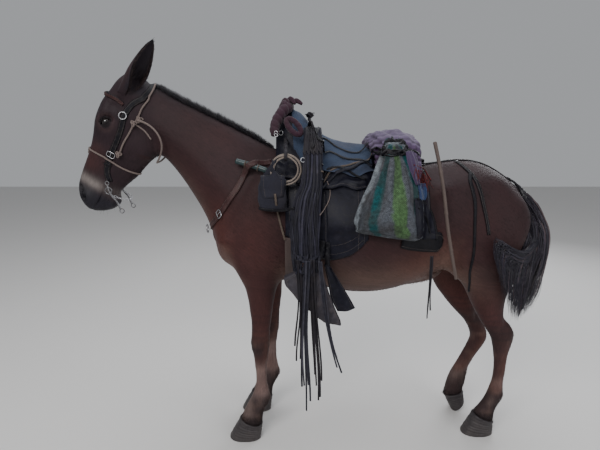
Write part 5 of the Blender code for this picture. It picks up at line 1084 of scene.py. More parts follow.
def marks(p, n):
    """Colour of hide and hair at places p with outward directions n."""
    s, t, y = head_axes(p)
    a = np.abs(y)
    head = smooth01(-p[:, 0], 0.60, 0.70) * smooth01(p[:, 2] - (1.30 - 0.5 * (p[:, 0] + 0.70)), -0.20, 0.0)
    head = np.where(s > 0.25, smooth01(-p[:, 0], 0.68, 0.74), head)
    col = np.tile(DARK, (len(p), 1))

    def lay(c, w):
        nonlocal col
        w = np.clip(w, 0, 1)[:, None]
        col = col * (1 - w) + np.asarray(c) * w

    wob = 0.5 + 0.5 * noise3(p, 9.0, 1)
    fine = noise3(p, 38.0, 2)
    trunk = 1 - head
    lay(BROWN, 0.35 * trunk * wob)
    # warm breast, arm and buttock, paler belly, flank and inner limbs
    lay(WARM, 0.50 * trunk * smooth01(-p[:, 0], 0.24, 0.38) * smooth01(1.25 - p[:, 2], 0.0, 0.3) * smooth01(p[:, 2], 0.72, 0.86))
    lay(BROWN, 0.75 * trunk * near(p, (-0.20, 0.0, 0.95), (0.12, 9, 0.22)))
    under = smooth01(-n[:, 2], 0.05, 0.75) * smooth01(p[:, 2], 0.66, 0.74)
    lay(PALE, 0.60 * trunk * under * smooth01(p[:, 0], -0.62, -0.42))
    lay(WARM, 0.45 * trunk * near(p, (0.56, 0.0, 0.90), (0.13, 9, 0.12)))
    lay(PALE, 0.35 * trunk * near(p, (0.62, 0.0, 0.86), (0.07, 9, 0.09)))
    inner = smooth01(-np.sign(y) * n[:, 1], 0.2, 0.9) * smooth01(0.92 - p[:, 2], 0.0, 0.12) * smooth01(a, 0.01, 0.05)
    lay(WARM, 0.55 * inner)
    # back: darker along the spine
    lay(BLACK, 0.65 * trunk * np.exp(-(y / 0.022) ** 2) * smooth01(n[:, 2], 0.55, 0.9) * smooth01(p[:, 0], -0.15, 0.10))
    lay(DARK * 0.82, 0.45 * trunk * smooth01(n[:, 2], 0.35, 0.95) * smooth01(p[:, 0], -0.2, 0.1))
    # limbs: brown above, dusty below the knee and hock, dark at the fetlock
    low = smooth01(0.60 - p[:, 2], 0.0, 0.12)
    lay(BROWN, 0.7 * smooth01(0.86 - p[:, 2], 0.0, 0.2))
    front = (p[:, 0] < 0.3)
    lay(srgb(74, 48, 42), 0.70 * low)
    # fore cannons dusty and pale, hind cannons nearly black with a warmer back edge
    dusty = low * np.where(front, smooth01(0.43 - p[:, 2], 0.0, 0.07), 0.30 * smooth01(0.34 - p[:, 2], 0.0, 0.06))
    lay(srgb(128, 110, 106), 0.66 * dusty * (0.55 + 0.45 * smooth01(noise3(p, 15, 6), -0.3, 0.6)))
    lay(srgb(46, 31, 33), 0.70 * low * ~front * smooth01(0.50 - p[:, 2], 0.0, 0.05) * smooth01(p[:, 2], 0.24, 0.34) * smooth01(-n[:, 0], -0.5, 0.4))
    knee = np.where(front, near(p, (-0.19, 0.0, 0.468), (9, 9, 0.062)), near(p, (0.93, 0, 0.52), (9, 9, 0.06)))
    lay(BLACK, 0.78 * knee * (0.6 + 0.4 * wob) * np.where(front, smooth01(-n[:, 0], -0.9, 0.0), 1.0))
    # faint bars above knee and hock
    bars = (np.sin(p[:, 2] * 190 + noise3(p, 22, 5) * 1.8) > 0.35) * smooth01(p[:, 2], 0.46, 0.50) * smooth01(0.68 - p[:, 2], 0.0, 0.05)
    lay(BLACK, 0.22 * bars)
    foot = smooth01(0.255 - p[:, 2], 0.0, 0.05)
    lay(srgb(40, 32, 34), 0.80 * foot)
    lay(srgb(120, 102, 96), 0.45 * foot * smooth01(noise3(p, 11, 8), 0.05, 0.5) * smooth01(p[:, 2], 0.10, 0.14))
    lay(BLACK, 0.45 * smooth01(0.125 - p[:, 2], 0.0, 0.03))
    # dust on cannon and pastern
    lay(PALE, 0.20 * low * smooth01(fine, 0.0, 0.9))
    # head
    lay(srgb(36, 25, 30), 0.88 * head)
    lay(srgb(64, 38, 37), 0.65 * head * smooth01(s, 0.24, 0.33) * smooth01(0.45 - s, 0, 0.08) * smooth01(t, -0.12, 0.0))
    lay(srgb(42, 28, 32), 0.5 * head * smooth01(-t, 0.10, 0.22))
    ring = np.zeros(len(p))
    for side in (-1, 1):
        d = np.linalg.norm(p - np.array([EYE[0], side * EYE[1], EYE[2]]), axis=1)
        ring = np.maximum(ring, np.exp(-((d - 0.038) / 0.010) ** 2))
    lay(srgb(62, 46, 46), 0.35 * head * ring)
    band = np.exp(-((s - (0.448 + 0.12 * np.clip(-t, 0, 0.2))) / 0.025) ** 2)
    lay(MEAL, 0.76 * head * band * (0.75 + 0.25 * wob) * (0.30 + 0.70 * smooth01(t, -0.115, -0.045)))
    lay(SLATE, head * smooth01(s + 0.12 * np.clip(t + 0.02, -0.2, 0), 0.456, 0.506))
    lay(srgb(74, 72, 74), 0.50 * head * np.exp(-((s - 0.494) / 0.024) ** 2) * smooth01(t, -0.09, -0.02) * (0.6 + 0.4 * wob))
    lay(BLACK, 0.6 * head * smooth01(s, 0.55, 0.585))
    for side in (-1, 1):
        # nostrils near black: painted shade inside the openings
        line = nostril_path(side)
        lay(srgb(6, 5, 7), 0.97 * along(p, line, 0.0115) ** 0.8)
        # lids, and the bare skin round them
        c = np.array([EYE[0], side * EYE[1], EYE[2]])
        d = np.linalg.norm(p - c, axis=1)
        lay(srgb(26, 21, 24), 0.9 * (1 - smooth01(d, 0.024, 0.031)) * head)
    # ears
    for spec in (EAR_NEAR, EAR_FAR):
        b, tip, face = (np.array(spec[k], float) for k in range(3))
        ax = unit(tip - b)
        q = p - b
        u = q @ ax / np.linalg.norm(tip - b)
        rad = np.linalg.norm(q - (q @ ax)[:, None] * ax, axis=1)
        on = (u > 0.02) & (u < 1.1) & (rad < 0.08) & (p[:, 2] > 1.60)
        w = on * smooth01(u, 0.05, 0.20)
        lay(srgb(44, 31, 34), 0.9 * w)
        O = unit(face - ax * np.dot(face, ax))
        # inside of the cup darker: painted shade in the ear's hollow
        inside = w * smooth01(n @ O, 0.0, 0.5)
        lay(srgb(30, 26, 33), 0.85 * inside)
        lay(BLACK, 0.85 * on * smooth01(u, 0.86, 1.0))
    # crest and poll go to the mane's black
    crest = np.exp(-(y / 0.026) ** 2) * smooth01(n[:, 2], 0.1, 0.6) * smooth01(-p[:, 0], 0.05, 0.12) * smooth01(p[:, 2], 1.34, 1.38)
    lay(BLACK, 0.9 * crest)
    # root of the tail
    lay(BLACK, 0.8 * near(p, (1.0, 0, 1.19), (0.05, 0.05, 0.06)))
    col = col * (1 + 0.10 * noise3(p, 5.0, 7)[:, None] + 0.06 * fine[:, None])
    return np.clip(col, 0.0015, 1)


def lie(p, n):
    """Way the hair lies at places p: back and down the body, down the limbs."""
    s, t, y = head_axes(p)
    d = np.tile(np.array([0.80, 0.0, -0.62]), (len(p), 1))
    leg = smooth01(0.84 - p[:, 2], 0.0, 0.12)[:, None]
    d = d * (1 - leg) + np.array([0.12, 0.0, -1.0]) * leg
    neck = (smooth01(-p[:, 0], 0.22, 0.40) * smooth01(p[:, 2], 1.0, 1.15))[:, None]
    d = d * (1 - neck) + np.array([0.52, 0.0, -0.85]) * neck
    hd = (smooth01(-p[:, 0], 0.62, 0.70))[:, None]
    d = d * (1 - hd) + (0.85 * np.array(DOWN) - 0.42 * np.array(FORE)) * hd
    rump = (smooth01(p[:, 0], 0.85, 0.98) * smooth01(p[:, 2], 0.80, 0.9))[:, None]
    d = d * (1 - rump) + np.array([0.15, 0.0, -1.0]) * rump
    for spec in (EAR_NEAR, EAR_FAR):
        b, tip = np.array(spec[0]), np.array(spec[1])
        ax = unit(tip - b)
        u = (p - b) @ ax / np.linalg.norm(tip - b)
        rad = np.linalg.norm((p - b) - ((p - b) @ ax)[:, None] * ax, axis=1)
        w = (smooth01(u, 0.02, 0.12) * (rad < 0.075) * (p[:, 2] > 1.58))[:, None]
        d = d * (1 - w) + ax * w
    d = d - n * (d * n).sum(1)[:, None]
    return d / (np.linalg.norm(d, axis=1, keepdims=True) + 1e-9)


def unroll(p, n):
    """Place of each point on an unwrap of the skin: a strip for each part, along it by round it."""
    s, t, y = head_axes(p)
    out = np.zeros((len(p), 2))
    ang = lambda a, b: (np.arctan2(a, b) / (2 * math.pi)) % 1.0
    trunk = np.stack([0.02 + 0.44 * np.clip((p[:, 0] + 0.45) / 1.50, 0, 1), 0.02 + 0.44 * ang(y, -(p[:, 2] - 1.05))], 1)
    out[:] = trunk
    neck = (p[:, 0] < -0.20) & (p[:, 2] > 0.95 - (p[:, 0] + 0.20) * 1.3)
    ax = unit(np.array([-0.45, 0, 0.42]))
    q = p - np.array([-0.25, 0, 1.17])
    up = q @ np.array([0.68, 0, 0.73])
    out[neck] = np.stack([0.50 + 0.22 * np.clip((q @ ax) / 0.62 + 0.1, 0, 1), 0.02 + 0.44 * ang(y, -up)], 1)[neck]
    head = (p[:, 0] < -0.648) & (s > -0.12)
    out[head] = np.stack([0.75 + 0.23 * np.clip((s + 0.12) / 0.72, 0, 1), 0.02 + 0.44 * ang(y, -(t + 0.10))], 1)[head]
    ears = (p[:, 2] > 1.665) & (p[:, 0] > -0.82) & (p[:, 0] < -0.58) & (np.abs(y) > 0.035)
    for k, spec in enumerate((EAR_NEAR, EAR_FAR)):
        b, tip = np.array(spec[0]), np.array(spec[1])
        a = unit(tip - b)
        u = (p - b) @ a / np.linalg.norm(tip - b)
        e = ears & (y < 0 if k == 0 else y > 0)
        f = unit(np.array(spec[2]) - a * np.dot(np.array(spec[2]), a))
        g = np.cross(a, f)
        out[e] = np.stack([0.75 + 0.23 * np.clip(u, 0, 1), 0.50 + 0.23 * k + 0.20 * ang((p - b) @ g, (p - b) @ f)], 1)[e]
    legs = [(-0.19, -0.130, -1, 0), (-0.155, 0.100, -1, 1), (0.93, -0.105, 1, 2), (0.88, 0.095, 1, 3)]
    for cx, cy, end, k in legs:
        e = (p[:, 2] < 0.80) & ((p[:, 0] < 0.3) == (end < 0)) & ((y < 0) == (cy < 0))
        x0 = cx if end < 0 else np.where(p[:, 2] > 0.5, 0.86, cx)
        out[e] = np.stack([0.02 + 0.18 * k + 0.16 * ang(y - cy, -(p[:, 0] - x0)), 0.50 + 0.46 * np.clip(p[:, 2] / 0.80, 0, 1)], 1)[e]
    return out


def give_points(ob, name, values, kind="FLOAT_COLOR"):
    a = ob.data.attributes.new(name, kind, "POINT")
    if kind == "FLOAT_COLOR":
        v = np.concatenate([values, np.ones((len(values), 1))], 1)
        a.data.foreach_set("color", v.ravel())
    else:
        a.data.foreach_set("vector", np.asarray(values).ravel())


def flow_place(p):
    """Coordinates that run along the lie of the hair, across it and out."""
    s, t, y = head_axes(p)
    trunk = np.stack([p[:, 0] * 0.79 - p[:, 2] * 0.61, p[:, 0] * 0.61 + p[:, 2] * 0.79, y], 1)
    leg = np.stack([-p[:, 2], p[:, 0], y], 1)
    head = np.stack([s, t + 0.4, y], 1)
    w = smooth01(0.84 - p[:, 2], 0.0, 0.10)[:, None]
    h = smooth01(-p[:, 0], 0.64, 0.70)[:, None]
    out = trunk * (1 - w) + leg * w
    return out * (1 - h) + head * h


# ---------------------------------------------------------------- materials
def new_material(name):
    m = bpy.data.materials.new(name)
    m.use_nodes = True
    return m, m.node_tree, m.node_tree.nodes["Principled BSDF"]


def node(t, kind, **sets):
    nd = t.nodes.new(kind)
    for k, v in sets.items():
        if hasattr(nd, k):
            setattr(nd, k, v)
        else:
            nd.inputs[k.replace("_", " ")].default_value = v
    return nd


def math_node(t, op, a, b=None):
    nd = t.nodes.new("ShaderNodeMath")
    nd.operation = op
    for k, v in enumerate((a, b)):
        if v is None:
            continue
        if isinstance(v, (int, float)):
            nd.inputs[k].default_value = v
        else:
            t.links.new(v, nd.inputs[k])
    return nd.outputs[0]


def mix_colour(t, fac, a, b, kind="MIX"):
    nd = t.nodes.new("ShaderNodeMix")
    nd.data_type = "RGBA"
    nd.blend_type = kind
    for k, v in ((0, fac), (6, a), (7, b)):
        if isinstance(v, (int, float)):
            nd.inputs[k].default_value = v
        elif isinstance(v, (tuple, list, np.ndarray)):
            nd.inputs[k].default_value = tuple(float(x) for x in v[:3]) + (1.0,)
        else:
            t.links.new(v, nd.inputs[k])
    return nd.outputs[2]


def ramp(t, fac, stops):
    nd = t.nodes.new("ShaderNodeValToRGB")
    el = nd.color_ramp.elements
    while len(el) < len(stops):
        el.new(0.5)
    for e, (pos, c) in zip(el, stops):
        e.position = pos
        c = (c, c, c) if isinstance(c, (int, float)) else c
        e.color = tuple(float(x) for x in c[:3]) + (1.0,)
    t.links.new(fac, nd.inputs[0])
    return nd.outputs[0]


def scaled(t, src, scale, turn=(0, 0, 0)):
    nd = t.nodes.new("ShaderNodeMapping")
    nd.inputs["Scale"].default_value = scale
    nd.inputs["Rotation"].default_value = turn
    t.links.new(src, nd.inputs["Vector"])
    return nd.outputs[0]


def noise(t, vec, scale, detail=3.0, rough=0.5, out="Fac"):
    nd = t.nodes.new("ShaderNodeTexNoise")
    nd.inputs["Scale"].default_value = scale
    nd.inputs["Detail"].default_value = detail
    nd.inputs["Roughness"].default_value = rough
    t.links.new(vec, nd.inputs["Vector"])
    return nd.outputs[out]


def bump(t, height, strength, dist, bsdf, normal=None):
    nd = t.nodes.new("ShaderNodeBump")
    nd.inputs["Strength"].default_value = strength
    nd.inputs["Distance"].default_value = dist
    t.links.new(height, nd.inputs["Height"])
    if normal is not None:
        t.links.new(normal, nd.inputs["Normal"])
    if bsdf is not None:
        t.links.new(nd.outputs[0], bsdf.inputs["Normal"])
    return nd.outputs[0]


def attr(t, name, out="Color"):
    nd = t.nodes.new("ShaderNodeAttribute")
    nd.attribute_name = name
    return nd.outputs[out]


def hide_material():
    m, t, b = new_material("hide")
    col = attr(t, "mark")
    flow = attr(t, "flow", "Vector")
    hair = noise(t, scaled(t, flow, (55, 900, 900)), 1.0, 2.0, 0.6)
    lock = noise(t, scaled(t, flow, (28, 130, 130)), 1.0, 3.0, 0.6)
    big = noise(t, scaled(t, flow, (6, 9, 9)), 1.0, 3.0, 0.5)
    k = math_node(t, "ADD", math_node(t, "MULTIPLY", hair, 0.55), math_node(t, "MULTIPLY", lock, 0.45))
    dark = mix_colour(t, 1.0, col, ramp(t, k, [(0.25, 0.60), (0.50, 1.0), (0.78, 1.55)]), "MULTIPLY")
    dark = mix_colour(t, 1.0, dark, ramp(t, big, [(0.3, 0.86), (0.7, 1.14)]), "MULTIPLY")
    t.links.new(dark, b.inputs["Base Color"])
    b.inputs["Roughness"].default_value = 0.62
    b.inputs["Specular IOR Level"].default_value = 0.20
    b.inputs["Sheen Weight"].default_value = 0.02
    b.inputs["Sheen Roughness"].default_value = 0.45
    b.inputs["Sheen Tint"].default_value = (0.85, 0.85, 1.0, 1.0)
    h = math_node(t, "ADD", math_node(t, "MULTIPLY", hair, 0.6), math_node(t, "MULTIPLY", lock, 1.0))
    bump(t, h, 0.35, 0.0012, b)
    return m


def tuft_material(name, rough=0.6, spec=0.22):
    m, t, b = new_material(name)
    t.links.new(attr(t, "mark"), b.inputs["Base Color"])
    b.inputs["Roughness"].default_value = rough
    b.inputs["Specular IOR Level"].default_value = spec
    return m


HIDE = hide_material()
TUFT = tuft_material("coat_hair")
LONG = tuft_material("long_hair", 0.42, 0.5)

net = Net(skin.data)
nn = net.normals()
col = marks(net.p, nn)
give_points(skin, "mark", col)
give_points(skin, "flow", flow_place(net.p), "FLOAT_VECTOR")
tick("marked")


# ---------------------------------------------------------------- tufts
def tuft_mesh(name, root, way, out, length, width, lift, curl, colour, uv, rows=3, side_bend=None, tip_dark=0.85, sides=3):
    """One mesh of many tapering tufts, each closed, with its own patch in OFBake."""
    N = len(root)
    u = np.linspace(0, 1, rows + 1)
    rad = (1 - u ** 1.6)
    way = way / (np.linalg.norm(way, axis=1, keepdims=True) + 1e-9)
    out = out / (np.linalg.norm(out, axis=1, keepdims=True) + 1e-9)
    side = np.cross(way, out)
    side /= np.linalg.norm(side, axis=1, keepdims=True) + 1e-9
    sb = np.zeros(N) if side_bend is None else side_bend
    verts = np.zeros((N, rows * sides + 1, 3))
    th = np.linspace(0, 2 * math.pi, sides, endpoint=False)
    for k in range(rows + 1):
        a = u[k]
        c = (root + way * (length * a)[:, None] + out * (length * (lift * a - curl * a * a))[:, None]
             + side * (length * sb * a * a)[:, None])
        if k == rows:
            verts[:, rows * sides] = c
        else:
            for j in range(sides):
                off = side * math.cos(th[j]) + out * (0.45 * math.sin(th[j]))
                verts[:, k * sides + j] = c + off * (width * 0.5 * rad[k])[:, None]
    per = rows * sides + 1
    F = []
    for k in range(rows - 1):
        for j in range(sides):
            j2 = (j + 1) % sides
            a, b_, c_, d = k * sides + j, k * sides + j2, (k + 1) * sides + j2, (k + 1) * sides + j
            F += [(a, b_, c_), (a, c_, d)]
    for j in range(sides):
        F.append(((rows - 1) * sides + j, (rows - 1) * sides + (j + 1) % sides, rows * sides))
    for j in range(1, sides - 1):
        F.append((0, j + 1, j))
    F = np.array(F)
    tris = (F[None] + (np.arange(N) * per)[:, None, None]).reshape(-1, 3)
    me = bpy.data.meshes.new(name)
    V = verts.reshape(-1, 3)
    me.vertices.add(len(V))
    me.vertices.foreach_set("co", V.ravel())
    me.loops.add(len(tris) * 3)
    me.loops.foreach_set("vertex_index", tris.ravel().astype(np.int32))
    me.polygons.add(len(tris))
    me.polygons.foreach_set("loop_start", (np.arange(len(tris)) * 3).astype(np.int32))
    me.update()
    me.validate()
    ob = bpy.data.objects.new(name, me)
    PIECES.objects.link(ob)
    shade = np.ones((rows * sides + 1))
    for k in range(rows + 1):
        v = 0.80 + (tip_dark + 0.28 - 0.80) * u[k]
        shade[k * sides:(k + 1) * sides] = v
    C = (colour[:, None, :] * shade[None, :, None]).reshape(-1, 3)
    give_points(ob, "mark", C)
    # OFBake: a patch 0.003 across at the root's place
    loc = np.zeros((per, 2))
    for k in range(rows):
        for j in range(sides):
            loc[k * sides + j] = (0.0015 * math.cos(th[j]) * rad[k], 0.0015 * (2 * u[k] - 1) + 0.0004 * math.sin(th[j]))
    loc[per - 1] = (0.0, 0.0015)
    L = (uv[:, None, :] + loc[None]).reshape(-1, 2)
    layer = me.uv_layers.new(name="OFBake")
    layer.uv.foreach_set("vector", L[tris.ravel()].astype(np.float32).ravel())
    return ob


def scatter(net, nn, tri_weight, count, rng):
    """Even random places on the skin, by weight of each triangle."""
    t = net.t
    a, b, c = net.p[t[:, 0]], net.p[t[:, 1]], net.p[t[:, 2]]
    area = np.linalg.norm(np.cross(b - a, c - a), axis=1) * 0.5
    w = area * tri_weight
    cum = np.cumsum(w)
    # stratified along the cumulative weight keeps them even
    q = (np.arange(count) + rng.rand(count)) / count * cum[-1]
    i = np.clip(np.searchsorted(cum, q), 0, len(t) - 1)
    r1, r2 = np.sqrt(rng.rand(count)), rng.rand(count)
    k0, k1, k2 = 1 - r1, r1 * (1 - r2), r1 * r2
    P = k0[:, None] * a[i] + k1[:, None] * b[i] + k2[:, None] * c[i]
    n = k0[:, None] * nn[t[i, 0]] + k1[:, None] * nn[t[i, 1]] + k2[:, None] * nn[t[i, 2]]
    n /= np.linalg.norm(n, axis=1, keepdims=True) + 1e-9
    return P, n


cen = net.p[net.t].mean(1)
cn = nn[net.t].mean(1)
s_, t_, y_ = head_axes(cen)
is_head = (cen[:, 0] < -0.655)
is_leg = (cen[:, 2] < 0.74)
bare = np.zeros(len(cen))
for side in (-1, 1):
    c = np.array([EYE[0], side * EYE[1], EYE[2]])
    bare = np.maximum(bare, 1 - smooth01(np.linalg.norm(cen - c, axis=1), 0.027, 0.034))
    bare = np.maximum(bare, along(cen, nostril_path(side), 0.012))
bare = np.maximum(bare, smooth01(s_, 0.50, 0.53) * is_head)


def coat_piece(name, weight, count, length, width, lift, rng, jitter=0.22, rows=2, cap=0.0022):
    P, n = scatter(net, nn, weight, count, rng)
    way = lie(P, n)
    side = np.cross(way, n)
    way = way + side * (rng.randn(len(P)) * jitter)[:, None]
    L = length(P, n) * (0.75 + 0.5 * rng.rand(len(P)))
    W = width(P, n) * (0.7 + 0.6 * rng.rand(len(P)))
    c = marks(P, n) * (0.88 + 0.24 * rng.rand(len(P)))[:, None]
    up = lift(P, n) * (0.6 + 0.8 * rng.rand(len(P)))
    return tuft_mesh(name, P - n * 0.0007, way, n, L, W, up, up * 0.75, c, unroll(P, n), rows=rows)


rng = np.random.RandomState(11)
body_w = np.where(is_head | is_leg, 0.0, 1.0)
coat_a = coat_piece("coat_body", body_w, 18500, lambda p, n: np.full(len(p), 0.017), lambda p, n: np.full(len(p), 0.0021), lambda p, n: np.full(len(p), 0.10), rng)
leg_w = np.where(is_leg, 1.0, 0.0)
coat_b = coat_piece("coat_limbs", leg_w, 13000, lambda p, n: np.full(len(p), 0.011), lambda p, n: np.full(len(p), 0.0016), lambda p, n: np.full(len(p), 0.10), rng)
head_w = np.where(is_head, 1.0 - bare, 0.0)
coat_c = coat_piece("coat_head", head_w, 16000, lambda p, n: np.full(len(p), 0.0075), lambda p, n: np.full(len(p), 0.0011), lambda p, n: np.full(len(p), 0.12), rng)
tick("coat laid")


def where_breaks(p, n):
    """Where longer hair stands off the form."""
    s, t, y = head_axes(p)
    w = np.zeros(len(p))
    # back of the fetlocks and pasterns, over the coronets
    legs = ((-0.19, -0.130, True), (-0.155, 0.100, True), (0.93, -0.100, False), (0.86, 0.09, False))
    w += smooth01(0.245 - p[:, 2], 0, 0.03) * smooth01(n[:, 0], 0.1, 0.7) * 1.5
    w += smooth01(0.135 - p[:, 2], 0, 0.02) * 0.9
    # back of the cannons and forearms, belly line, between the forelegs, jaw
    w += smooth01(0.60 - p[:, 2], 0, 0.05) * smooth01(n[:, 0], 0.6, 0.95) * 0.5
    w += smooth01(-n[:, 2], 0.75, 0.98) * (p[:, 2] > 0.70) * (p[:, 0] < 0.62) * 0.7
    w += smooth01(-t, 0.14, 0.24) * (p[:, 0] < -0.64) * (s < 0.50) * (s > 0.10) * smooth01(0.05 - np.abs(y), 0.0, 0.03) * 1.5
    w += np.exp(-((p[:, 0] + 0.41) / 0.03) ** 2) * (np.abs(y) < 0.06) * (p[:, 2] < 1.05) * 0.6
    # flank fold, buttock, elbow
    w += near(p, (0.60, 0, 0.85), (0.05, 9, 0.06)) * 0.8
    w += smooth01(n[:, 0], 0.75, 0.98) * (p[:, 0] > 0.9) * (p[:, 2] > 0.80) * 0.35
    w += near(p, (-0.09, 0, 0.88), (0.04, 9, 0.05)) * 0.7
    return w


w = where_breaks(cen, cn)
w = np.where(is_head, w * (1 - bare), w)
long_of = lambda p, n: np.where(p[:, 2] < 0.25, 0.024, np.where(p[:, 0] < -0.655, 0.016, np.where(-n[:, 2] > 0.6, 0.026, 0.019)))
coat_d = coat_piece("coat_edges", w, 11500, long_of, lambda p, n: np.full(len(p), 0.0018), lambda p, n: np.where(p[:, 2] < 0.25, 0.38, 0.26), rng, jitter=0.18, rows=3)
tick("edge hair")


# ---------------------------------------------------------------- ear hair, lashes, whiskers
def ear_hair():
    P, W, O, L = [], [], [], []
    r = np.random.RandomState(5)
    for spec in (EAR_NEAR, EAR_FAR):
        g = ear_grid(spec, 60, 41, 0.0036)
        b, tip, face = (np.array(spec[k], float) for k in range(3))
        ax = unit(tip - b)
        Of = unit(face - ax * np.dot(face, ax))
        for edge in (0, -1):
            for k in range(330):
                q = 0.06 + 0.86 * r.rand()
                i = q * 59
                i0 = int(i)
                j = (abs(r.randn()) * 2.2) if edge == 0 else 40 - abs(r.randn()) * 2.2
                j0 = int(np.clip(j, 0, 40))
                p = g[i0, j0]
                cin = g[i0, 20] - p
                cin = unit(cin)
                w = unit(ax * (0.55 + 0.3 * r.rand()) + cin * (0.30 + 0.45 * r.rand()) + Of * (0.15 + 0.45 * r.rand()) + r.randn(3) * 0.12)
                P.append(p)
                W.append(w)
                O.append(unit(Of + r.randn(3) * 0.2))
                L.append((0.012 + 0.020 * r.rand()) * (1.15 - q * 0.6))
        # a denser fill at the mouth of the cup
        for k in range(420):
            q = 0.08 + 0.35 * r.rand() ** 1.3
            p = g[int(q * 59), int(r.randint(3, 38))]
            w = unit(ax * 0.8 + Of * (0.35 + 0.35 * r.rand()) + r.randn(3) * 0.15)
            P.append(p)
            W.append(w)
            O.append(Of)
            L.append(0.020 + 0.016 * r.rand())
    P, W, O, L = np.array(P), np.array(W), np.array(O), np.array(L)
    O = O - W * (O * W).sum(1)[:, None]
    c = np.where(r.rand(len(P))[:, None] < 0.45, srgb(74, 60, 58), srgb(36, 28, 31)) * (0.8 + 0.4 * r.rand(len(P)))[:, None]
    return tuft_mesh("ear_hair", P, W, O, L, np.full(len(P), 0.0014), np.full(len(P), 0.1), np.full(len(P), 0.25), c,
                     np.stack([0.52 + 0.2 * r.rand(len(P)), 0.52 + 0.4 * r.rand(len(P))], 1), rows=4, side_bend=r.randn(len(P)) * 0.15)


def face_whiskers():
    P, W, L, C = [], [], [], []
    r = np.random.RandomState(9)
    for side in (-1, 1):
        c = np.array([EYE[0], side * EYE[1], EYE[2]])
        e1, e2, e3 = eye_axes(side)
        # upper lashes
        for k in range(46):
            u = -0.016 + 0.033 * r.rand()
            v = 0.0128 * max(1 - (abs(u) / 0.0215) ** 1.9, 0) ** 0.72
            ww = math.sqrt(max((EYE_R + 0.0026) ** 2 - (u * u + v * v) * 0.8, 1e-6))
            P.append(c + e1 * u + e2 * v + e3 * ww)
            W.append(unit(e3 * 0.85 + e2 * (0.05 + 0.25 * r.rand()) + e1 * (u * 18) + r.randn(3) * 0.05))
            L.append(0.012 + 0.009 * r.rand())
            C.append(srgb(16, 14, 16))
        for k in range(14):
            H = head_point(0.50 + 0.07 * r.rand(), -0.10 - 0.05 * r.rand(), side * 0.05)
            P.append(H)
            W.append(unit(np.array([0, side, 0]) * 0.7 - np.array(FORE) * 0.6 * r.rand() + np.array(DOWN) * 0.3 + r.randn(3) * 0.2))
            L.append(0.03 + 0.03 * r.rand())
            C.append(srgb(30, 27, 30))
    P, W, L, C = np.array(P), np.array(W), np.array(L), np.array(C)
    # whiskers start on the skin
    tree = BVHTree.FromPolygons([Vector(v) for v in net.p[:]], [tuple(x) for x in net.t])
    for i in range(len(P)):
        if L[i] > 0.024:
            h = tree.find_nearest(Vector(P[i]))
            P[i] = np.array(h[0]) - np.array(h[1]) * 0.001
            W[i] = unit(np.array(h[1]) * 0.8 + W[i] * 0.5)
    O = np.cross(W, r.randn(len(P), 3))
    return tuft_mesh("face_whiskers", P, W, O, L, np.where(L > 0.024, 0.0007, 0.0008), np.full(len(P), 0.0), np.full(len(P), -0.2), C,
                     np.stack([0.52 + 0.2 * r.rand(len(P)), 0.52 + 0.4 * r.rand(len(P))], 1), rows=4)


# ---------------------------------------------------------------- mane: short and upright
MANE_LINE = [(-0.640, 1.660, 0.014), (-0.608, 1.650, 0.024), (-0.580, 1.638, 0.031), (-0.527, 1.612, 0.034), (-0.441, 1.568, 0.036), (-0.355, 1.522, 0.036),
             (-0.267, 1.480, 0.036), (-0.201, 1.446, 0.034), (-0.150, 1.418, 0.026), (-0.118, 1.398, 0.012)]


def skin_tree():
    return BVHTree.FromPolygons([Vector(v) for v in net.p], [tuple(int(i) for i in x) for x in net.t])


SKIN_TREE = skin_tree()


def mane_hair():
    r = np.random.RandomState(3)
    M = np.array(MANE_LINE)
    t = np.concatenate([[0], np.cumsum(np.hypot(np.diff(M[:, 0]), np.diff(M[:, 1])))])
    N = 5200
    q = np.sort(r.rand(N)) * t[-1]
    row = hermite(t, M, q)
    y = np.clip(r.randn(N) * 0.0088, -0.019, 0.019)
    P = np.zeros((N, 3))
    for i in range(N):
        h = SKIN_TREE.ray_cast(Vector((row[i, 0], y[i], row[i, 1] + 0.12)), Vector((0, 0, -1)), 0.3)
        P[i] = np.array(h[0]) if h[0] is not None else (row[i, 0], y[i], row[i, 1])
    clump = noise3(np.stack([q, q * 0, q * 0], 1), 70.0, 3)
    W = np.stack([-0.25 + 0.16 * clump + r.randn(N) * 0.12, y * 16 + r.randn(N) * 0.10, np.ones(N)], 1)
    W /= np.linalg.norm(W, axis=1, keepdims=True)
    O = np.cross(W, np.stack([np.zeros(N), np.ones(N), np.zeros(N)], 1))
    L = (row[:, 2] + 0.004) * (0.80 + 0.18 * r.rand(N) + 0.06 * clump)
    L *= 1 - 0.45 * (np.abs(y) / 0.019) ** 2
    C = srgb(25, 22, 30) * (0.7 + 0.7 * r.rand(N))[:, None]
    C = np.where(r.rand(N)[:, None] < 0.06, srgb(58, 44, 44), C)
    uv = np.stack([0.52 + 0.44 * q / t[-1], 0.97 + y], 1)
    return tuft_mesh("mane_hair", P - W * 0.002, W, O, L, 0.0022 + 0.0012 * r.rand(N), np.full(N, 0.05), 0.10 + 0.10 * r.randn(N), C, uv, rows=3, side_bend=r.randn(N) * 0.10, tip_dark=0.8)


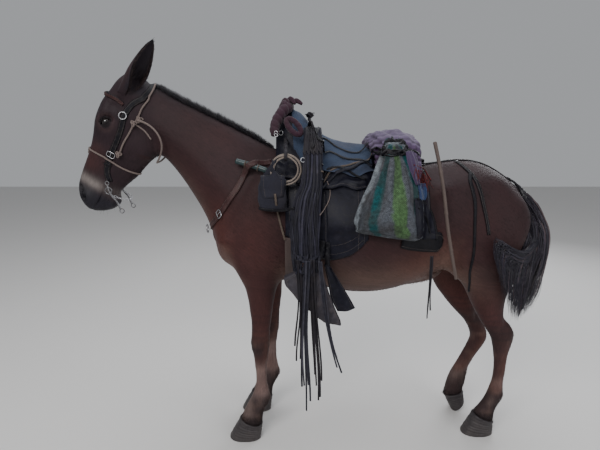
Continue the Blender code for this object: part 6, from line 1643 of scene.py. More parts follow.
# ---------------------------------------------------------------- tail
def strands(name, paths, widths, colours, uv, sides=3, flat=0.5):
    """Long locks along their own paths (N, K, 3), tapering, each one closed."""
    N, K = paths.shape[:2]
    T = np.zeros_like(paths)
    T[:, 1:-1] = paths[:, 2:] - paths[:, :-2]
    T[:, 0] = paths[:, 1] - paths[:, 0]
    T[:, -1] = paths[:, -1] - paths[:, -2]
    T /= np.linalg.norm(T, axis=2, keepdims=True) + 1e-9
    ref = np.array([0.35, 1.0, 0.1])
    U = np.cross(T, ref)
    U /= np.linalg.norm(U, axis=2, keepdims=True) + 1e-9
    V = np.cross(T, U)
    u = np.linspace(0, 1, K)
    rad = np.minimum(1.0, u * 8 + 0.5) * (1 - u ** 2.2) + 0.02
    th = np.linspace(0, 2 * math.pi, sides, endpoint=False)
    verts = np.zeros((N, (K - 1) * sides + 1, 3))
    for k in range(K - 1):
        for j in range(sides):
            verts[:, k * sides + j] = paths[:, k] + (U[:, k] * math.cos(th[j]) + V[:, k] * math.sin(th[j]) * flat) * (widths * 0.5 * rad[k])[:, None]
    verts[:, (K - 1) * sides] = paths[:, K - 1]
    per = (K - 1) * sides + 1
    F = []
    for k in range(K - 2):
        for j in range(sides):
            j2 = (j + 1) % sides
            a, b_, c_, d = k * sides + j, k * sides + j2, (k + 1) * sides + j2, (k + 1) * sides + j
            F += [(a, b_, c_), (a, c_, d)]
    for j in range(sides):
        F.append(((K - 2) * sides + j, (K - 2) * sides + (j + 1) % sides, per - 1))
    for j in range(1, sides - 1):
        F.append((0, j + 1, j))
    F = np.array(F)
    tris = (F[None] + (np.arange(N) * per)[:, None, None]).reshape(-1, 3)
    me = bpy.data.meshes.new(name)
    Vv = verts.reshape(-1, 3)
    me.vertices.add(len(Vv))
    me.vertices.foreach_set("co", Vv.ravel())
    me.loops.add(len(tris) * 3)
    me.loops.foreach_set("vertex_index", tris.ravel().astype(np.int32))
    me.polygons.add(len(tris))
    me.polygons.foreach_set("loop_start", (np.arange(len(tris)) * 3).astype(np.int32))
    me.update()
    me.validate()
    bm = bmesh.new()
    bm.from_mesh(me)
    bmesh.ops.recalc_face_normals(bm, faces=bm.faces)
    bm.to_mesh(me)
    bm.free()
    ob = bpy.data.objects.new(name, me)
    PIECES.objects.link(ob)
    shade = np.repeat(0.85 + 0.3 * u[:-1], sides)
    shade = np.concatenate([shade, [1.15]])
    give_points(ob, "mark", (colours[:, None, :] * shade[None, :, None]).reshape(-1, 3))
    lt = np.zeros(len(me.loops), dtype=np.int32)
    me.loops.foreach_get("vertex_index", lt)
    own, loc = lt // per, lt % per
    k = np.minimum(loc // sides, K - 1)
    L = uv[own] + np.stack([0.0015 * np.cos(th[loc % sides]), 0.003 * (u[k] - 0.5)], 1)
    layer = me.uv_layers.new(name="OFBake")
    layer.uv.foreach_set("vector", L.astype(np.float32).ravel())
    return ob


def tail_hair():
    r = np.random.RandomState(21)
    main = np.array(TAIL[0])
    lobe = np.array(TAIL[1])
    paths, widths, cols, uvs = [], [], [], []
    K = 22

    def bunch(line, n, start, ends, spread, w, fwd=0.0):
        P = line[:, :3]
        R = line[:, 3:5]
        t = np.concatenate([[0], np.cumsum(np.linalg.norm(np.diff(P, axis=0), axis=1))])
        for i in range(n):
            a, b = r.rand() * 2 * math.pi, math.sqrt(r.rand()) * 0.93
            s0 = start(r) * t[-1]
            s1 = ends(r) * t[-1]
            q = np.linspace(s0, s1, K)
            c = hermite(t, P, q)
            rr = hermite(t, R, q)
            tan = hermite(t, P, np.minimum(q + 0.01, t[-1])) - c
            tan /= np.linalg.norm(tan, axis=1, keepdims=True) + 1e-9
            side = np.array([0, 1.0, 0])
            fore = np.cross(tan, side)
            fore /= np.linalg.norm(fore, axis=1, keepdims=True) + 1e-9
            si = np.cross(fore, tan)
            k = np.linspace(0, 1, K)
            grow = 0.25 + 0.75 * np.minimum(1.0, (q - s0) / 0.10)
            wave = 0.06 * np.sin(k * (5 + 3 * r.rand()) + r.rand() * 6.3)
            ang = a + 0.5 * r.randn() * k
            x = (np.cos(ang) * b + wave) * rr[:, 0] * grow
            yv = (np.sin(ang) * b - wave) * rr[:, 1] * grow
            path = c + fore * x[:, None] + si * yv[:, None]
            path += spread * np.outer(k ** 2, r.randn(3)) * np.array([1, 1, 0.3])
            paths.append(path)
            widths.append(w * (0.6 + 0.8 * r.rand()))
            g = r.rand()
            c0 = srgb(30, 26, 36) if g < 0.7 else (srgb(52, 44, 56) if g < 0.9 else srgb(74, 60, 62))
            cols.append(c0 * (0.8 + 0.5 * r.rand()))
            uvs.append((0.02 + 0.45 * (a / 6.2832), 0.475 + 0.02 * b))

    bunch(main, 330, lambda r: 0.00 + 0.26 * r.rand(), lambda r: 0.80 + 0.20 * r.rand() ** 0.7, 0.006, 0.0042)
    bunch(main, 190, lambda r: 0.00 + 0.14 * r.rand(), lambda r: 0.40 + 0.35 * r.rand(), 0.006, 0.0040)
    # the rest is swept to the near side, over a ridge, and falls from it in a fan
    RIDGE = np.array([(1.064, -0.012, 1.104), (1.098, -0.036, 1.020), (1.090, -0.066, 0.976), (1.029, -0.135, 0.951), (0.956, -0.212, 0.936), (0.885, -0.252, 0.962), (0.831, -0.268, 0.996), (0.806, -0.271, 1.016)])
    rt = np.concatenate([[0], np.cumsum(np.linalg.norm(np.diff(RIDGE, axis=0), axis=1))])
    FOOT = np.array([(1.072, -0.150, 0.790), (1.042, -0.170, 0.715), (1.004, -0.185, 0.660), (0.967, -0.195, 0.628), (0.932, -0.212, 0.650), (0.900, -0.230, 0.720), (0.858, -0.252, 0.830), (0.830, -0.262, 0.900)])
    ft = np.linspace(0, 1, len(FOOT))
    web = np.array([(1.040, -0.004, 1.140, 0.026, 0.026), (1.058, -0.030, 1.060, 0.030, 0.030), (1.048, -0.072, 0.985, 0.036, 0.036), (1.010, -0.130, 0.925, 0.044, 0.040),
                    (0.975, -0.185, 0.865, 0.050, 0.034), (0.958, -0.205, 0.790, 0.046, 0.028), (0.955, -0.205, 0.710, 0.030, 0.020)])
    bunch(web, 210, lambda r: 0.00 + 0.10 * r.rand(), lambda r: 0.62 + 0.38 * r.rand(), 0.006, 0.0044)
    for i in range(820):
        g = r.rand() ** 0.85
        off = rt[2] + (rt[-1] - rt[2]) * g * 0.985
        s0 = 0.10 * r.rand()
        q = np.linspace(s0, off, 9)
        top = hermite(rt, RIDGE, q)
        foot = hermite(ft, FOOT, np.array([min(1.0, max(0.0, g * 0.96 + 0.03 * r.randn()))]))[0]
        foot = foot + (top[-1] - foot) * (0.42 * r.rand() ** 1.8) * (1.0 if g < 0.8 else 0.5)
        foot = foot + r.randn(3) * np.array([0.008, 0.006, 0.004])
        deep = (0.5 - r.rand()) * 0.030 * smooth01(np.linspace(0, 1, 9), 0.0, 0.35)
        rise = (r.rand() - 0.70) * 0.060 * smooth01(np.linspace(0, 1, 9), 0.1, 0.6)
        top[:, 1] += deep * 0.8
        top[:, 0] += -deep * 0.3
        top[:, 2] += rise
        d0 = unit(top[-1] - top[-2])
        L = np.linalg.norm(foot - top[-1])
        k = np.linspace(0, 1, 12)[1:, None]
        c1 = top[-1] + d0 * min(0.030, 0.25 * L)
        c2 = foot * 0.45 + top[-1] * 0.55 + np.array([d0[0] * 0.020, -0.006, 0.0])
        down = (1 - k) ** 3 * top[-1] + 3 * (1 - k) ** 2 * k * c1 + 3 * (1 - k) * k ** 2 * c2 + k ** 3 * foot
        P = np.concatenate([top, down])
        tt = np.concatenate([[0], np.cumsum(np.linalg.norm(np.diff(P, axis=0), axis=1) + 1e-6)])
        P = hermite(tt, P, np.linspace(0, tt[-1], K))
        kk = np.linspace(0, 1, K)
        P[:, 0] += 0.0035 * np.sin(kk * (6 + 4 * r.rand()) + r.rand() * 6.3) * kk
        paths.append(P)
        widths.append((0.0050 if r.rand() < 0.75 else 0.0028) * (0.6 + 0.8 * r.rand()))
        gg = r.rand()
        c0 = srgb(28, 25, 36) if gg < 0.7 else (srgb(46, 42, 56) if gg < 0.93 else srgb(72, 58, 60))
        cols.append(c0 * (0.8 + 0.5 * r.rand()))
        uvs.append((0.02 + 0.45 * g, 0.475 + 0.02 * r.rand()))
    return strands("tail_hair", np.array(paths), np.array(widths), np.array(cols), np.array(uvs))


def tail_core():
    """The dock and the dense inside of the tail, so that no light comes through."""
    F = []
    for line, k in ((TAIL[0], 0.60), (TAIL[1], 0.26)):
        P = np.array(line)
        rows = []
        for i in range(len(P)):
            w = unit(P[min(i + 1, len(P) - 1), :3] - P[max(i - 1, 0), :3])
            v = np.array([0.0, 1.0, 0.0]) if len(line) > 6 else np.array([0.0, 0.35, 1.0])
            v = unit(v - w * np.dot(v, w))
            u = np.cross(v, w)
            a, b = P[i, 3] * k, P[i, 4] * k
            f = 1.0 - 0.75 * (i / (len(P) - 1)) ** 3
            row = (P[i, :3], u, v, a * f, a * f, b * f, b * f, 2.0, 2.0) if len(line) > 6 else (P[i, :3], v, u, a * f, a * f, b * f, b * f, 2.0, 2.0)
            rows.append(row)
        F.append(ring_rows(rows, 20, 0.02))
    v, f = join(F)
    ob = mesh_object("tail_core", v, f, PIECES, fix=False)
    remesh(ob, 0.006)
    n2 = Net(ob.data)
    n2.smooth(6)
    q = np.arctan2(n2.p[:, 1] + 0.1, n2.p[:, 0] - 1.05)
    n2.p = n2.p + n2.normals() * (0.0025 * np.sin(q * 60 + n2.p[:, 2] * 8))[:, None]
    n2.put(ob.data)
    # near black, darker than the hair over it: painted shade of the tail's dense inside
    give_points(ob, "mark", np.tile(srgb(20, 18, 24), (n2.n, 1)))
    return ob


# ---------------------------------------------------------------- eyes
def eyeball(name, side):
    bm = bmesh.new()
    bmesh.ops.create_uvsphere(bm, u_segments=56, v_segments=36, radius=1.0)
    me = bpy.data.meshes.new(name)
    bm.to_mesh(me)
    bm.free()
    co = np.array([v.co for v in me.vertices])
    e1, e2, e3 = eye_axes(side)
    z = co[:, 2]
    ang = np.arccos(np.clip(z, -1, 1))
    r = EYE_R * (1 + 0.045 * np.exp(-(ang / 0.62) ** 4))
    c = np.array([EYE[0], side * EYE[1], EYE[2]])
    w = c + (co[:, :1] * e1 + co[:, 1:2] * e2 + co[:, 2:] * e3) * (r - 0.0004)[:, None]
    me.vertices.foreach_set("co", w.ravel())
    me.update()
    ob = bpy.data.objects.new(name, me)
    PIECES.objects.link(ob)
    rad = np.hypot(co[:, 0], co[:, 1]) * (z > 0) + (z <= 0) * 1.0
    pup = np.hypot(co[:, 0] / 0.36, co[:, 1] / 0.20)
    col = np.tile(srgb(24, 15, 12), (len(co), 1))
    spoke = 0.5 + 0.5 * np.sin(np.arctan2(co[:, 1], co[:, 0]) * 38)
    col = col * (0.75 + 0.5 * spoke[:, None] * np.exp(-((rad - 0.55) / 0.2) ** 2)[:, None])
    k = smooth01(pup, 0.9, 1.1)[:, None]
    col = col * k + srgb(4, 4, 6) * (1 - k)
    k = smooth01(rad, 0.80, 0.88)[:, None]
    col = col * (1 - k) + srgb(30, 24, 23) * k
    give_points(ob, "mark", col)
    outward(me)
    return ob


def eye_material():
    m, t, b = new_material("eye_wet")
    t.links.new(attr(t, "mark"), b.inputs["Base Color"])
    b.inputs["Roughness"].default_value = 0.06
    b.inputs["Specular IOR Level"].default_value = 0.6
    b.inputs["Coat Weight"].default_value = 0.5
    b.inputs["Coat Roughness"].default_value = 0.02
    return m


# ---------------------------------------------------------------- hooves
def hoof_fine(name, seg=72, nr=34):
    toe, heel, cf, cb, yc, ws, wc = HOOVES[name]
    th = np.linspace(0, 2 * math.pi, seg, endpoint=False)
    c, s = np.cos(th), np.sin(th)
    e = 2.0 / 2.3
    cu = np.sign(c) * np.abs(c) ** e
    su = np.sign(s) * np.abs(s) ** e
    notch = np.exp(-((c + 1.0) / 0.030) ** 2)

    def outline(front, back, w, k=1.0, nt=0.0):
        f, b = np.array(front), np.array(back)
        m, h = (f + b) / 2, (f - b) / 2 * k
        q = cu + notch * nt
        return np.stack([m[0] + h[0] * q, yc + w * k * su, m[1] + h[1] * q], 1)

    sole = outline(toe, heel, ws, 1.0, 0.16)
    cor = outline(cf, cb, wc, 1.0, 0.05)
    rings = []
    # under the foot: frog and clefts, rising to the middle
    for k in (0.02, 0.2, 0.4, 0.6, 0.78, 0.90):
        g = outline(toe, heel, ws, k, 0.16)
        g[:, 2] += 0.006 * (1 - k ** 2)
        rings.append(g)
    rings.append(outline(toe, heel, ws, 0.97, 0.16) + np.array([0, 0, 0.0004]))
    for k in np.linspace(0.0, 0.94, nr):
        g = sole + (cor - sole) * k
        mid = g.mean(0)
        grow = 0.0011 * math.sin(k * 52) * math.exp(-((k - 0.5) / 0.5) ** 2) + 0.0008 * math.sin(k * 23 + 1) - 0.004 * math.exp(-(k / 0.035) ** 2) * 0.5
        band = 0.0030 * math.exp(-((k - 0.93) / 0.045) ** 2)
        d = g - mid
        d /= np.linalg.norm(d, axis=1, keepdims=True)
        chip = 0.0012 * np.maximum(0, np.sin(th * 9 + yc * 70) * np.sin(th * 4 + 1)) * math.exp(-(k / 0.05) ** 2)
        rings.append(g + d * (grow + band) - d * chip[:, None])
    top = sole + (cor - sole) * 0.955
    rings.append(top + (top.mean(0) - top) * 0.06)
    rings.append(top + (top.mean(0) - top) * 0.40)
    verts = np.concatenate(rings)
    verts[:, 2] = np.maximum(verts[:, 2], 0.0)
    n = len(rings)
    F = []
    for i in range(n - 1):
        for j in range(seg):
            k = (j + 1) % seg
            F.append((i * seg + j, i * seg + k, (i + 1) * seg + k, (i + 1) * seg + j))
    F.append(tuple(range(seg - 1, -1, -1)))
    F.append(tuple((n - 1) * seg + j for j in range(seg)))
    ob = mesh_object(name + "_horn", verts, F, PIECES)
    p = np.array([v.co for v in ob.data.vertices])
    k = np.clip(p[:, 2] / 0.10, 0, 1)
    col = srgb(58, 53, 53) * (1 - k[:, None]) + srgb(40, 35, 38) * k[:, None]
    col = col * (1 + 0.12 * noise3(p, 60, 3)[:, None] + 0.10 * np.sin(k * 40 + 4 * noise3(p, 12, 4))[:, None])
    give_points(ob, "mark", np.clip(col, 0.003, 1))
    return ob


def horn_material():
    m, t, b = new_material("horn")
    g = node(t, "ShaderNodeNewGeometry").outputs["Position"]
    fib = noise(t, scaled(t, g, (320, 320, 26)), 1.0, 3, 0.6)
    ring = noise(t, scaled(t, g, (14, 14, 170)), 1.0, 3, 0.6)
    dust = noise(t, g, 34.0, 5, 0.6)
    c = mix_colour(t, 1.0, attr(t, "mark"), ramp(t, fib, [(0.3, 0.72), (0.7, 1.28)]), "MULTIPLY")
    c = mix_colour(t, ramp(t, dust, [(0.48, 0.0), (0.74, 0.24)]), c, srgb(84, 75, 72))
    t.links.new(c, b.inputs["Base Color"])
    t.links.new(ramp(t, ring, [(0.3, 0.48), (0.7, 0.72)]), b.inputs["Roughness"])
    n1 = bump(t, ring, 0.35, 0.0012, None)
    bump(t, fib, 0.25, 0.0006, b, n1)
    return m


HORN = horn_material()
WET = eye_material()
piece(coat_a, TUFT)
piece(coat_b, TUFT)
piece(coat_c, TUFT)
piece(coat_d, TUFT)
piece(ear_hair(), TUFT)
piece(face_whiskers(), LONG)
piece(mane_hair(), LONG, ("mane",))
tc = tail_core()
piece(tail_hair(), LONG, ("tail",))
piece(tc, LONG)
for nm, s in (("left", -1), ("right", 1)):
    piece(eyeball("eyeball_" + nm, s), WET, ("eye_" + nm,))
for nm in HOOVES:
    piece(hoof_fine(nm), HORN, (nm,))
tick("hair, eyes, hooves")
class Layers:
    """Outermost surface of everything made so far, met from outside."""

    def __init__(self):
        self.trees = []

    def add(self, ob):
        me = ob.data
        me.calc_loop_triangles()
        self.trees.append(BVHTree.FromPolygons([v.co.copy() for v in me.vertices],
                                               [tuple(t.vertices) for t in me.loop_triangles]))
        return ob

    def meet(self, p, out, reach=0.30):
        """First surface met coming in towards p against the way out."""
        best = None
        o = Vector(p) + Vector(out) * reach
        for t in self.trees:
            r = t.ray_cast(o, -Vector(out), reach * 2.2)
            if r[0] is not None and (best is None or r[3] < best[1]):
                best = (r[0], r[3])
        return None if best is None else np.array(best[0])

    def hits(self, ob):
        me = ob.data
        me.calc_loop_triangles()
        own = BVHTree.FromPolygons([v.co.copy() for v in me.vertices], [tuple(t.vertices) for t in me.loop_triangles])
        return any(own.overlap(t) for t in self.trees)


def closed_body(ob):
    bm = bmesh.new()
    bm.from_mesh(ob.data)
    good = all(len(e.link_faces) == 2 for e in bm.edges) and all(f.calc_area() > 1e-10 for f in bm.faces)
    bm.free()
    return good and len(islands(ob)) == 1


def settle(make, steps=(0.0, 0.001, 0.002, 0.003, 0.004, 0.0055, 0.007, 0.009, 0.011, 0.013, 0.016)):
    """Makes a piece with a growing gap under it until it is sound and clear of the rest."""
    for k, extra in enumerate(steps):
        ob = make(extra)
        if (closed_body(ob) and not LAY.hits(ob)) or k == len(steps) - 1:
            return ob
        drop(ob)


LAY = Layers()


def out_trunk(p, z0=1.04):
    v = np.array([0.0, p[1], p[2] - z0])
    return unit(v) if np.linalg.norm(v) > 1e-6 else np.array([0.0, 0.0, 1.0])


def out_head(p):
    q = np.asarray(p, float) - np.array(BROW)
    s = float(np.dot(q, DOWN))
    c = head_point(s, -0.11)
    return unit(np.asarray(p, float) - c)


def out_side(p):
    return np.array([0.0, -1.0 if p[1] < 0 else 1.0, 0.0])


def smooth_route(pts, step):
    P = np.array(pts, float)
    t = np.concatenate([[0], np.cumsum(np.linalg.norm(np.diff(P, axis=0), axis=1))])
    n = max(int(round(t[-1] / step)) + 1, 3)
    return hermite(t, P, np.linspace(0, t[-1], n))


def lifted(C, O, H, clear, rounds=5, sub=4):
    """Raises the grid C + O*H until nothing under it comes through its faces."""
    H = H.copy()
    nv, nu = H.shape
    ks = [k / sub for k in range(sub + 1)]
    for _ in range(rounds):
        P = C + O * H[..., None]
        need = np.zeros_like(H)
        for i in range(nv - 1):
            for j in range(nu - 1):
                for a in ks:
                    for b in ks:
                        w = ((1 - a) * (1 - b), (1 - a) * b, a * (1 - b), a * b)
                        ids = ((i, j), (i, j + 1), (i + 1, j), (i + 1, j + 1))
                        p = sum(w[k] * P[ids[k]] for k in range(4))
                        o = unit(sum(w[k] * O[ids[k]] for k in range(4)))
                        h = LAY.meet(p, o, 0.12)
                        if h is None:
                            continue
                        g = float(np.dot(h - p, o)) + clear
                        if g > 1e-5:
                            q = g / sum(x * x for x in w)
                            for k in range(4):
                                need[ids[k]] = max(need[ids[k]], q * w[k])
        if need.max() < 1e-4:
            break
        H += need
    return H


def lay_strap(name, pts, width, thick, out=out_trunk, clear=0.004, step=0.045, across=2, reach=0.30):
    """A flat strap laid on whatever lies under its route."""
    R = smooth_route(pts, step)
    n = len(R)
    C = np.zeros((n, across, 3))
    O = np.zeros((n, across, 3))
    H = np.zeros((n, across))
    for i in range(n):
        t = unit(R[min(i + 1, n - 1)] - R[max(i - 1, 0)])
        o = out(R[i])
        o = unit(o - t * np.dot(o, t))
        b = np.cross(t, o)
        hs = []
        for j in range(across):
            q = R[i] + b * width * (j / (across - 1) - 0.5)
            h = LAY.meet(q, o, reach)
            hs.append(np.dot(h - R[i], o) if h is not None else None)
            C[i, j] = q
            O[i, j] = o
        known = [h for h in hs if h is not None]
        top = max(known) if known else 0.0
        for j in range(across):
            h = hs[j] if hs[j] is not None else top
            H[i, j] = max(h, top - 0.25 * width)

    def make(extra):
        K = lifted(C, O, H + clear + extra, (clear + extra) * 0.7)
        return sheet_solid(name, C + O * (K + thick)[..., None], C + O * K[..., None], MULE)

    return settle(make)


def trunk_wrap(x, side, ang, z0=1.04):
    """Place round the barrel: 0 is the top, 90 is the side, 180 is under."""
    a = math.radians(ang)
    o = np.array([0.0, side * math.sin(a), math.cos(a)])
    return np.array([x, 0.0, z0]), o


def lay_sheet(name, nv, angs, thick, clear=0.0055, trim=None):
    """A sheet laid over the back: stations along the back by angles round it."""
    nu = len(angs)
    C = np.zeros((nv, nu, 3))
    O = np.zeros((nv, nu, 3))
    H = np.zeros((nv, nu))
    for i in range(nv):
        for j, a in enumerate(angs):
            k = trim(i / (nv - 1), a)
            c, o = trunk_wrap(k[0], 1 if k[1] > 0 else -1, abs(k[1]))
            h = LAY.meet(c, o, 0.60)
            C[i, j] = c
            O[i, j] = o
            H[i, j] = float(np.dot(h - c, o))

    def make(extra):
        K = lifted(C, O, H + clear + extra, (clear + extra) * 0.9)
        return sheet_solid(name, C + O * (K + thick)[..., None], C + O * K[..., None], MULE)

    return settle(make)


def barrel(x0, x1, a0, a1, nx=12, na=22, clear=0.008):
    """The space already taken round the barrel, as one solid to trim with."""
    outer = np.zeros((nx, na, 3))
    inner = np.zeros((nx, na, 3))
    high = np.zeros((nx, na))
    for i, x in enumerate(np.linspace(x0, x1, nx)):
        for j, a in enumerate(np.linspace(a0, a1, na)):
            c, o = trunk_wrap(x, 1 if a > 0 else -1, abs(a))
            h = LAY.meet(c, o, 0.60)
            high[i, j] = float(np.dot(h - c, o))
            outer[i, j] = o
            inner[i, j] = c
    pad = np.pad(high, 1, mode="edge")
    top = high.copy()
    for i in range(3):
        for j in range(3):
            top = np.maximum(top, np.minimum(pad[i:i + nx, j:j + na], high + 0.012))
    way = outer.copy()
    outer = inner + way * (top + clear)[..., None]
    inner = inner + way * 0.04
    return sheet_solid("barrel", outer, inner, WORK)


def tube(name, pts, radius, sides=2, step=0.02, closed=False, coll=None):
    """A round cord or rod: a bevelled curve made a mesh."""
    C = smooth_route(pts, step) if not closed else np.array(pts)
    cu = bpy.data.curves.new(name, "CURVE")
    cu.dimensions = "3D"
    cu.bevel_depth = radius
    cu.bevel_resolution = sides
    cu.use_fill_caps = not closed
    sp = cu.splines.new("POLY")
    sp.points.add(len(C) - 1)
    for k, c in enumerate(C):
        sp.points[k].co = (c[0], c[1], c[2], 1.0)
    sp.use_cyclic_u = closed
    co = bpy.data.objects.new(name + "_line", cu)
    WORK.objects.link(co)
    dg = bpy.context.evaluated_depsgraph_get()
    dg.update()
    me = bpy.data.meshes.new_from_object(co.evaluated_get(dg))
    bpy.data.objects.remove(co, do_unlink=True)
    bpy.data.curves.remove(cu)
    me.name = name
    ob = bpy.data.objects.new(name, me)
    (coll or MULE).objects.link(ob)
    clean(ob, 0.00005)
    return ob


def solid(name, form, cuts=(), coll=None, faces=0, round_=None):
    """A closed form less what it lies against, and less the space taken round the barrel."""
    v, f = form

    def make(extra):
        ob = mesh_object(name, v, f, coll or MULE)
        if round_:
            g = barrel(*round_, clear=0.006 + extra)
            boolean(ob, g)
            drop(g)
        for c in cuts:
            g = swollen(c, 0.0015 + extra)
            boolean(ob, g)
            drop(g)
        keep_largest(ob)
        clean(ob)
        if faces and tri_count(ob) > faces:
            facet(ob, faces)
            clean(ob)
        return ob

    return settle(make)


def mirrored(pts):
    return [(p[0], -p[1]) + tuple(p[2:]) for p in pts]




# ---------------------------------------------------------------- tack: sizes
# seat: x, top height, half width low down, low height
SEAT = [(-0.108, 1.470, 0.060, 1.330), (-0.085, 1.520, 0.085, 1.290), (-0.045, 1.545, 0.105, 1.260), (0.000, 1.533, 0.125, 1.240),
        (0.045, 1.484, 0.140, 1.225), (0.090, 1.444, 0.152, 1.215), (0.160, 1.412, 0.162, 1.205), (0.230, 1.396, 0.168, 1.200),
        (0.290, 1.392, 0.168, 1.200), (0.325, 1.385, 0.150, 1.215)]
ROLL = [(0.405, -0.235, 1.255, 0.075, 0.034), (0.405, -0.195, 1.325, 0.092, 0.045), (0.402, -0.110, 1.392, 0.106, 0.052),
        (0.400, 0.000, 1.402, 0.108, 0.055), (0.402, 0.110, 1.392, 0.106, 0.052), (0.405, 0.195, 1.325, 0.092, 0.045),
        (0.405, 0.235, 1.255, 0.075, 0.034)]
SACK = [(1.372, 0.385, 0.040, -0.185, 0.024), (1.335, 0.385, 0.062, -0.222, 0.030), (1.260, 0.378, 0.092, -0.262, 0.036),
        (1.175, 0.367, 0.122, -0.292, 0.042), (1.110, 0.357, 0.138, -0.306, 0.046), (1.072, 0.351, 0.138, -0.306, 0.042),
        (1.046, 0.349, 0.124, -0.300, 0.022)]
HOOD = [(0.062, 0.938), (-0.068, 0.872), (-0.062, 0.842), (0.012, 0.752), (0.106, 0.672), (0.176, 0.662), (0.120, 0.800), (0.084, 0.915)]
COIL = (-0.058, -0.204, 1.302, 0.056, 0.0120)


def blanket_trim(u, a):
    return -0.045 + u * 0.585, a


def skirt_trim(u, a):
    low = 96 + 22 * math.sin(math.pi * min(max((u - 0.02) / 0.96, 0), 1)) ** 0.8
    k = (abs(a) - 8) / 88.0
    return -0.062 + u * 0.345, (1 if a > 0 else -1) * (8 + k * (low - 8))


# ---------------------------------------------------------------- tack: tools
MULE = WORK
LAY.trees.append(SKIN_TREE)
COS, SIN = math.cos(math.radians(12.5)), math.sin(math.radians(12.5))


def seen(u, v):
    """Start and way of the line of sight through a place in the picture."""
    d = np.array([(u - 300) / 450.0, 1.0 * COS - SIN * (v - 225) / 450.0, -SIN - COS * (v - 225) / 450.0])
    return np.array([0.0, -2.06, 1.48]), unit(d)


def touch(u, v, off=0.0, y=None):
    """Where the line of sight meets what has been made so far, lifted by off; or the plane y."""
    o, d = seen(u, v)
    if y is not None:
        return tuple(o + d * ((y - o[1]) / d[1]))
    best = None
    for t in LAY.trees:
        r = t.ray_cast(Vector(o), Vector(d), 6.0)
        if r[0] is not None and (best is None or r[3] < best[1]):
            best = (np.array(r[0]), r[3])
    p = best[0] if best is not None else o + d * ((-0.2 - o[1]) / d[1])
    return tuple(p - d * off)


def grid_object(name, outer, inner, uv=None):
    """A closed slab with its own along-and-across coordinates for the weave."""
    ob = sheet_solid(name, outer, inner, WORK)
    if uv is not None:
        w = np.zeros((len(ob.data.vertices), 3))
        w[:, :2] = np.concatenate([uv.reshape(-1, 2)] * 2)
        give_points(ob, "cloth", w, "FLOAT_VECTOR")
    return ob


def band(name, pts, width, thick, out=out_trunk, clear=0.0012, step=0.010, across=5, reach=0.30, twist=None, ease=3, free=False, keep=True):
    """A strap with rounded edges laid on whatever lies under its route."""
    R = smooth_route(pts, step)
    n = len(R)
    W = np.full(n, width) if np.isscalar(width) else np.array([width(k / (n - 1)) for k in range(n)])
    prof = {3: (0.5, 1.0, 0.5), 5: (0.35, 0.96, 1.0, 0.96, 0.35), 7: (0.3, 0.9, 1.0, 0.93, 1.0, 0.9, 0.3), 9: (0.3, 0.9, 1.0, 0.9, 0.95, 0.9, 1.0, 0.9, 0.3)}[across]
    C = np.zeros((n, across, 3))
    O = np.zeros((n, across, 3))
    H = np.zeros((n, across))
    for i in range(n):
        t = unit(R[min(i + 1, n - 1)] - R[max(i - 1, 0)])
        o = out(R[i])
        o = unit(o - t * np.dot(o, t))
        b = np.cross(t, o)
        hs = []
        for j in range(across):
            q = R[i] + b * W[i] * (j / (across - 1) - 0.5)
            h = None if free else LAY.meet(q, o, reach)
            hs.append(np.dot(h - R[i], o) if h is not None else None)
            C[i, j] = q
            O[i, j] = o
        known = [h for h in hs if h is not None]
        top = max(known) if known else 0.0
        for j in range(across):
            h = hs[j] if hs[j] is not None else top
            H[i, j] = max(h, top - 0.22 * W[i])
    if not free:
        for _ in range(ease):
            P = np.pad(H, ((1, 1), (0, 0)), mode="edge")
            H = np.maximum(H, (P[:-2] + P[2:]) / 2)
        for _ in range(ease):
            P = np.pad(H, ((1, 1), (0, 0)), mode="edge")
            H = np.maximum(H, (P[:-2] + 2 * H + P[2:]) / 4)
    K = H + clear
    T = thick * np.array(prof)[None, :] * np.ones((n, 1))
    for i in (0, n - 1):
        T[i] *= 0.55
    arc = np.concatenate([[0], np.cumsum(np.linalg.norm(np.diff(C[:, across // 2] + O[:, across // 2] * K[:, across // 2, None], axis=0), axis=1))])
    uv = np.zeros((n, across, 2))
    uv[..., 0] = arc[:, None]
    uv[..., 1] = (np.arange(across) / (across - 1) - 0.5)[None] * W[:, None]
    ob = grid_object(name, C + O * (K + T)[..., None], C + O * K[..., None], uv)
    ob["len"] = float(arc[-1])
    LINES[name] = (C + O * (K + thick)[..., None], O)
    if keep:
        LAY.add(ob)
    return ob


LINES = {}


def frames(P):
    """Side and up along a path, carried without twist."""
    T = np.gradient(P, axis=0)
    T /= np.linalg.norm(T, axis=1, keepdims=True) + 1e-12
    U = np.zeros_like(P)
    ref = np.array([0.0, 0.0, 1.0]) if abs(T[0, 2]) < 0.9 else np.array([1.0, 0.0, 0.0])
    U[0] = unit(np.cross(T[0], ref))
    for i in range(1, len(P)):
        U[i] = unit(U[i - 1] - T[i] * np.dot(T[i], U[i - 1]))
    return T, U, np.cross(T, U)


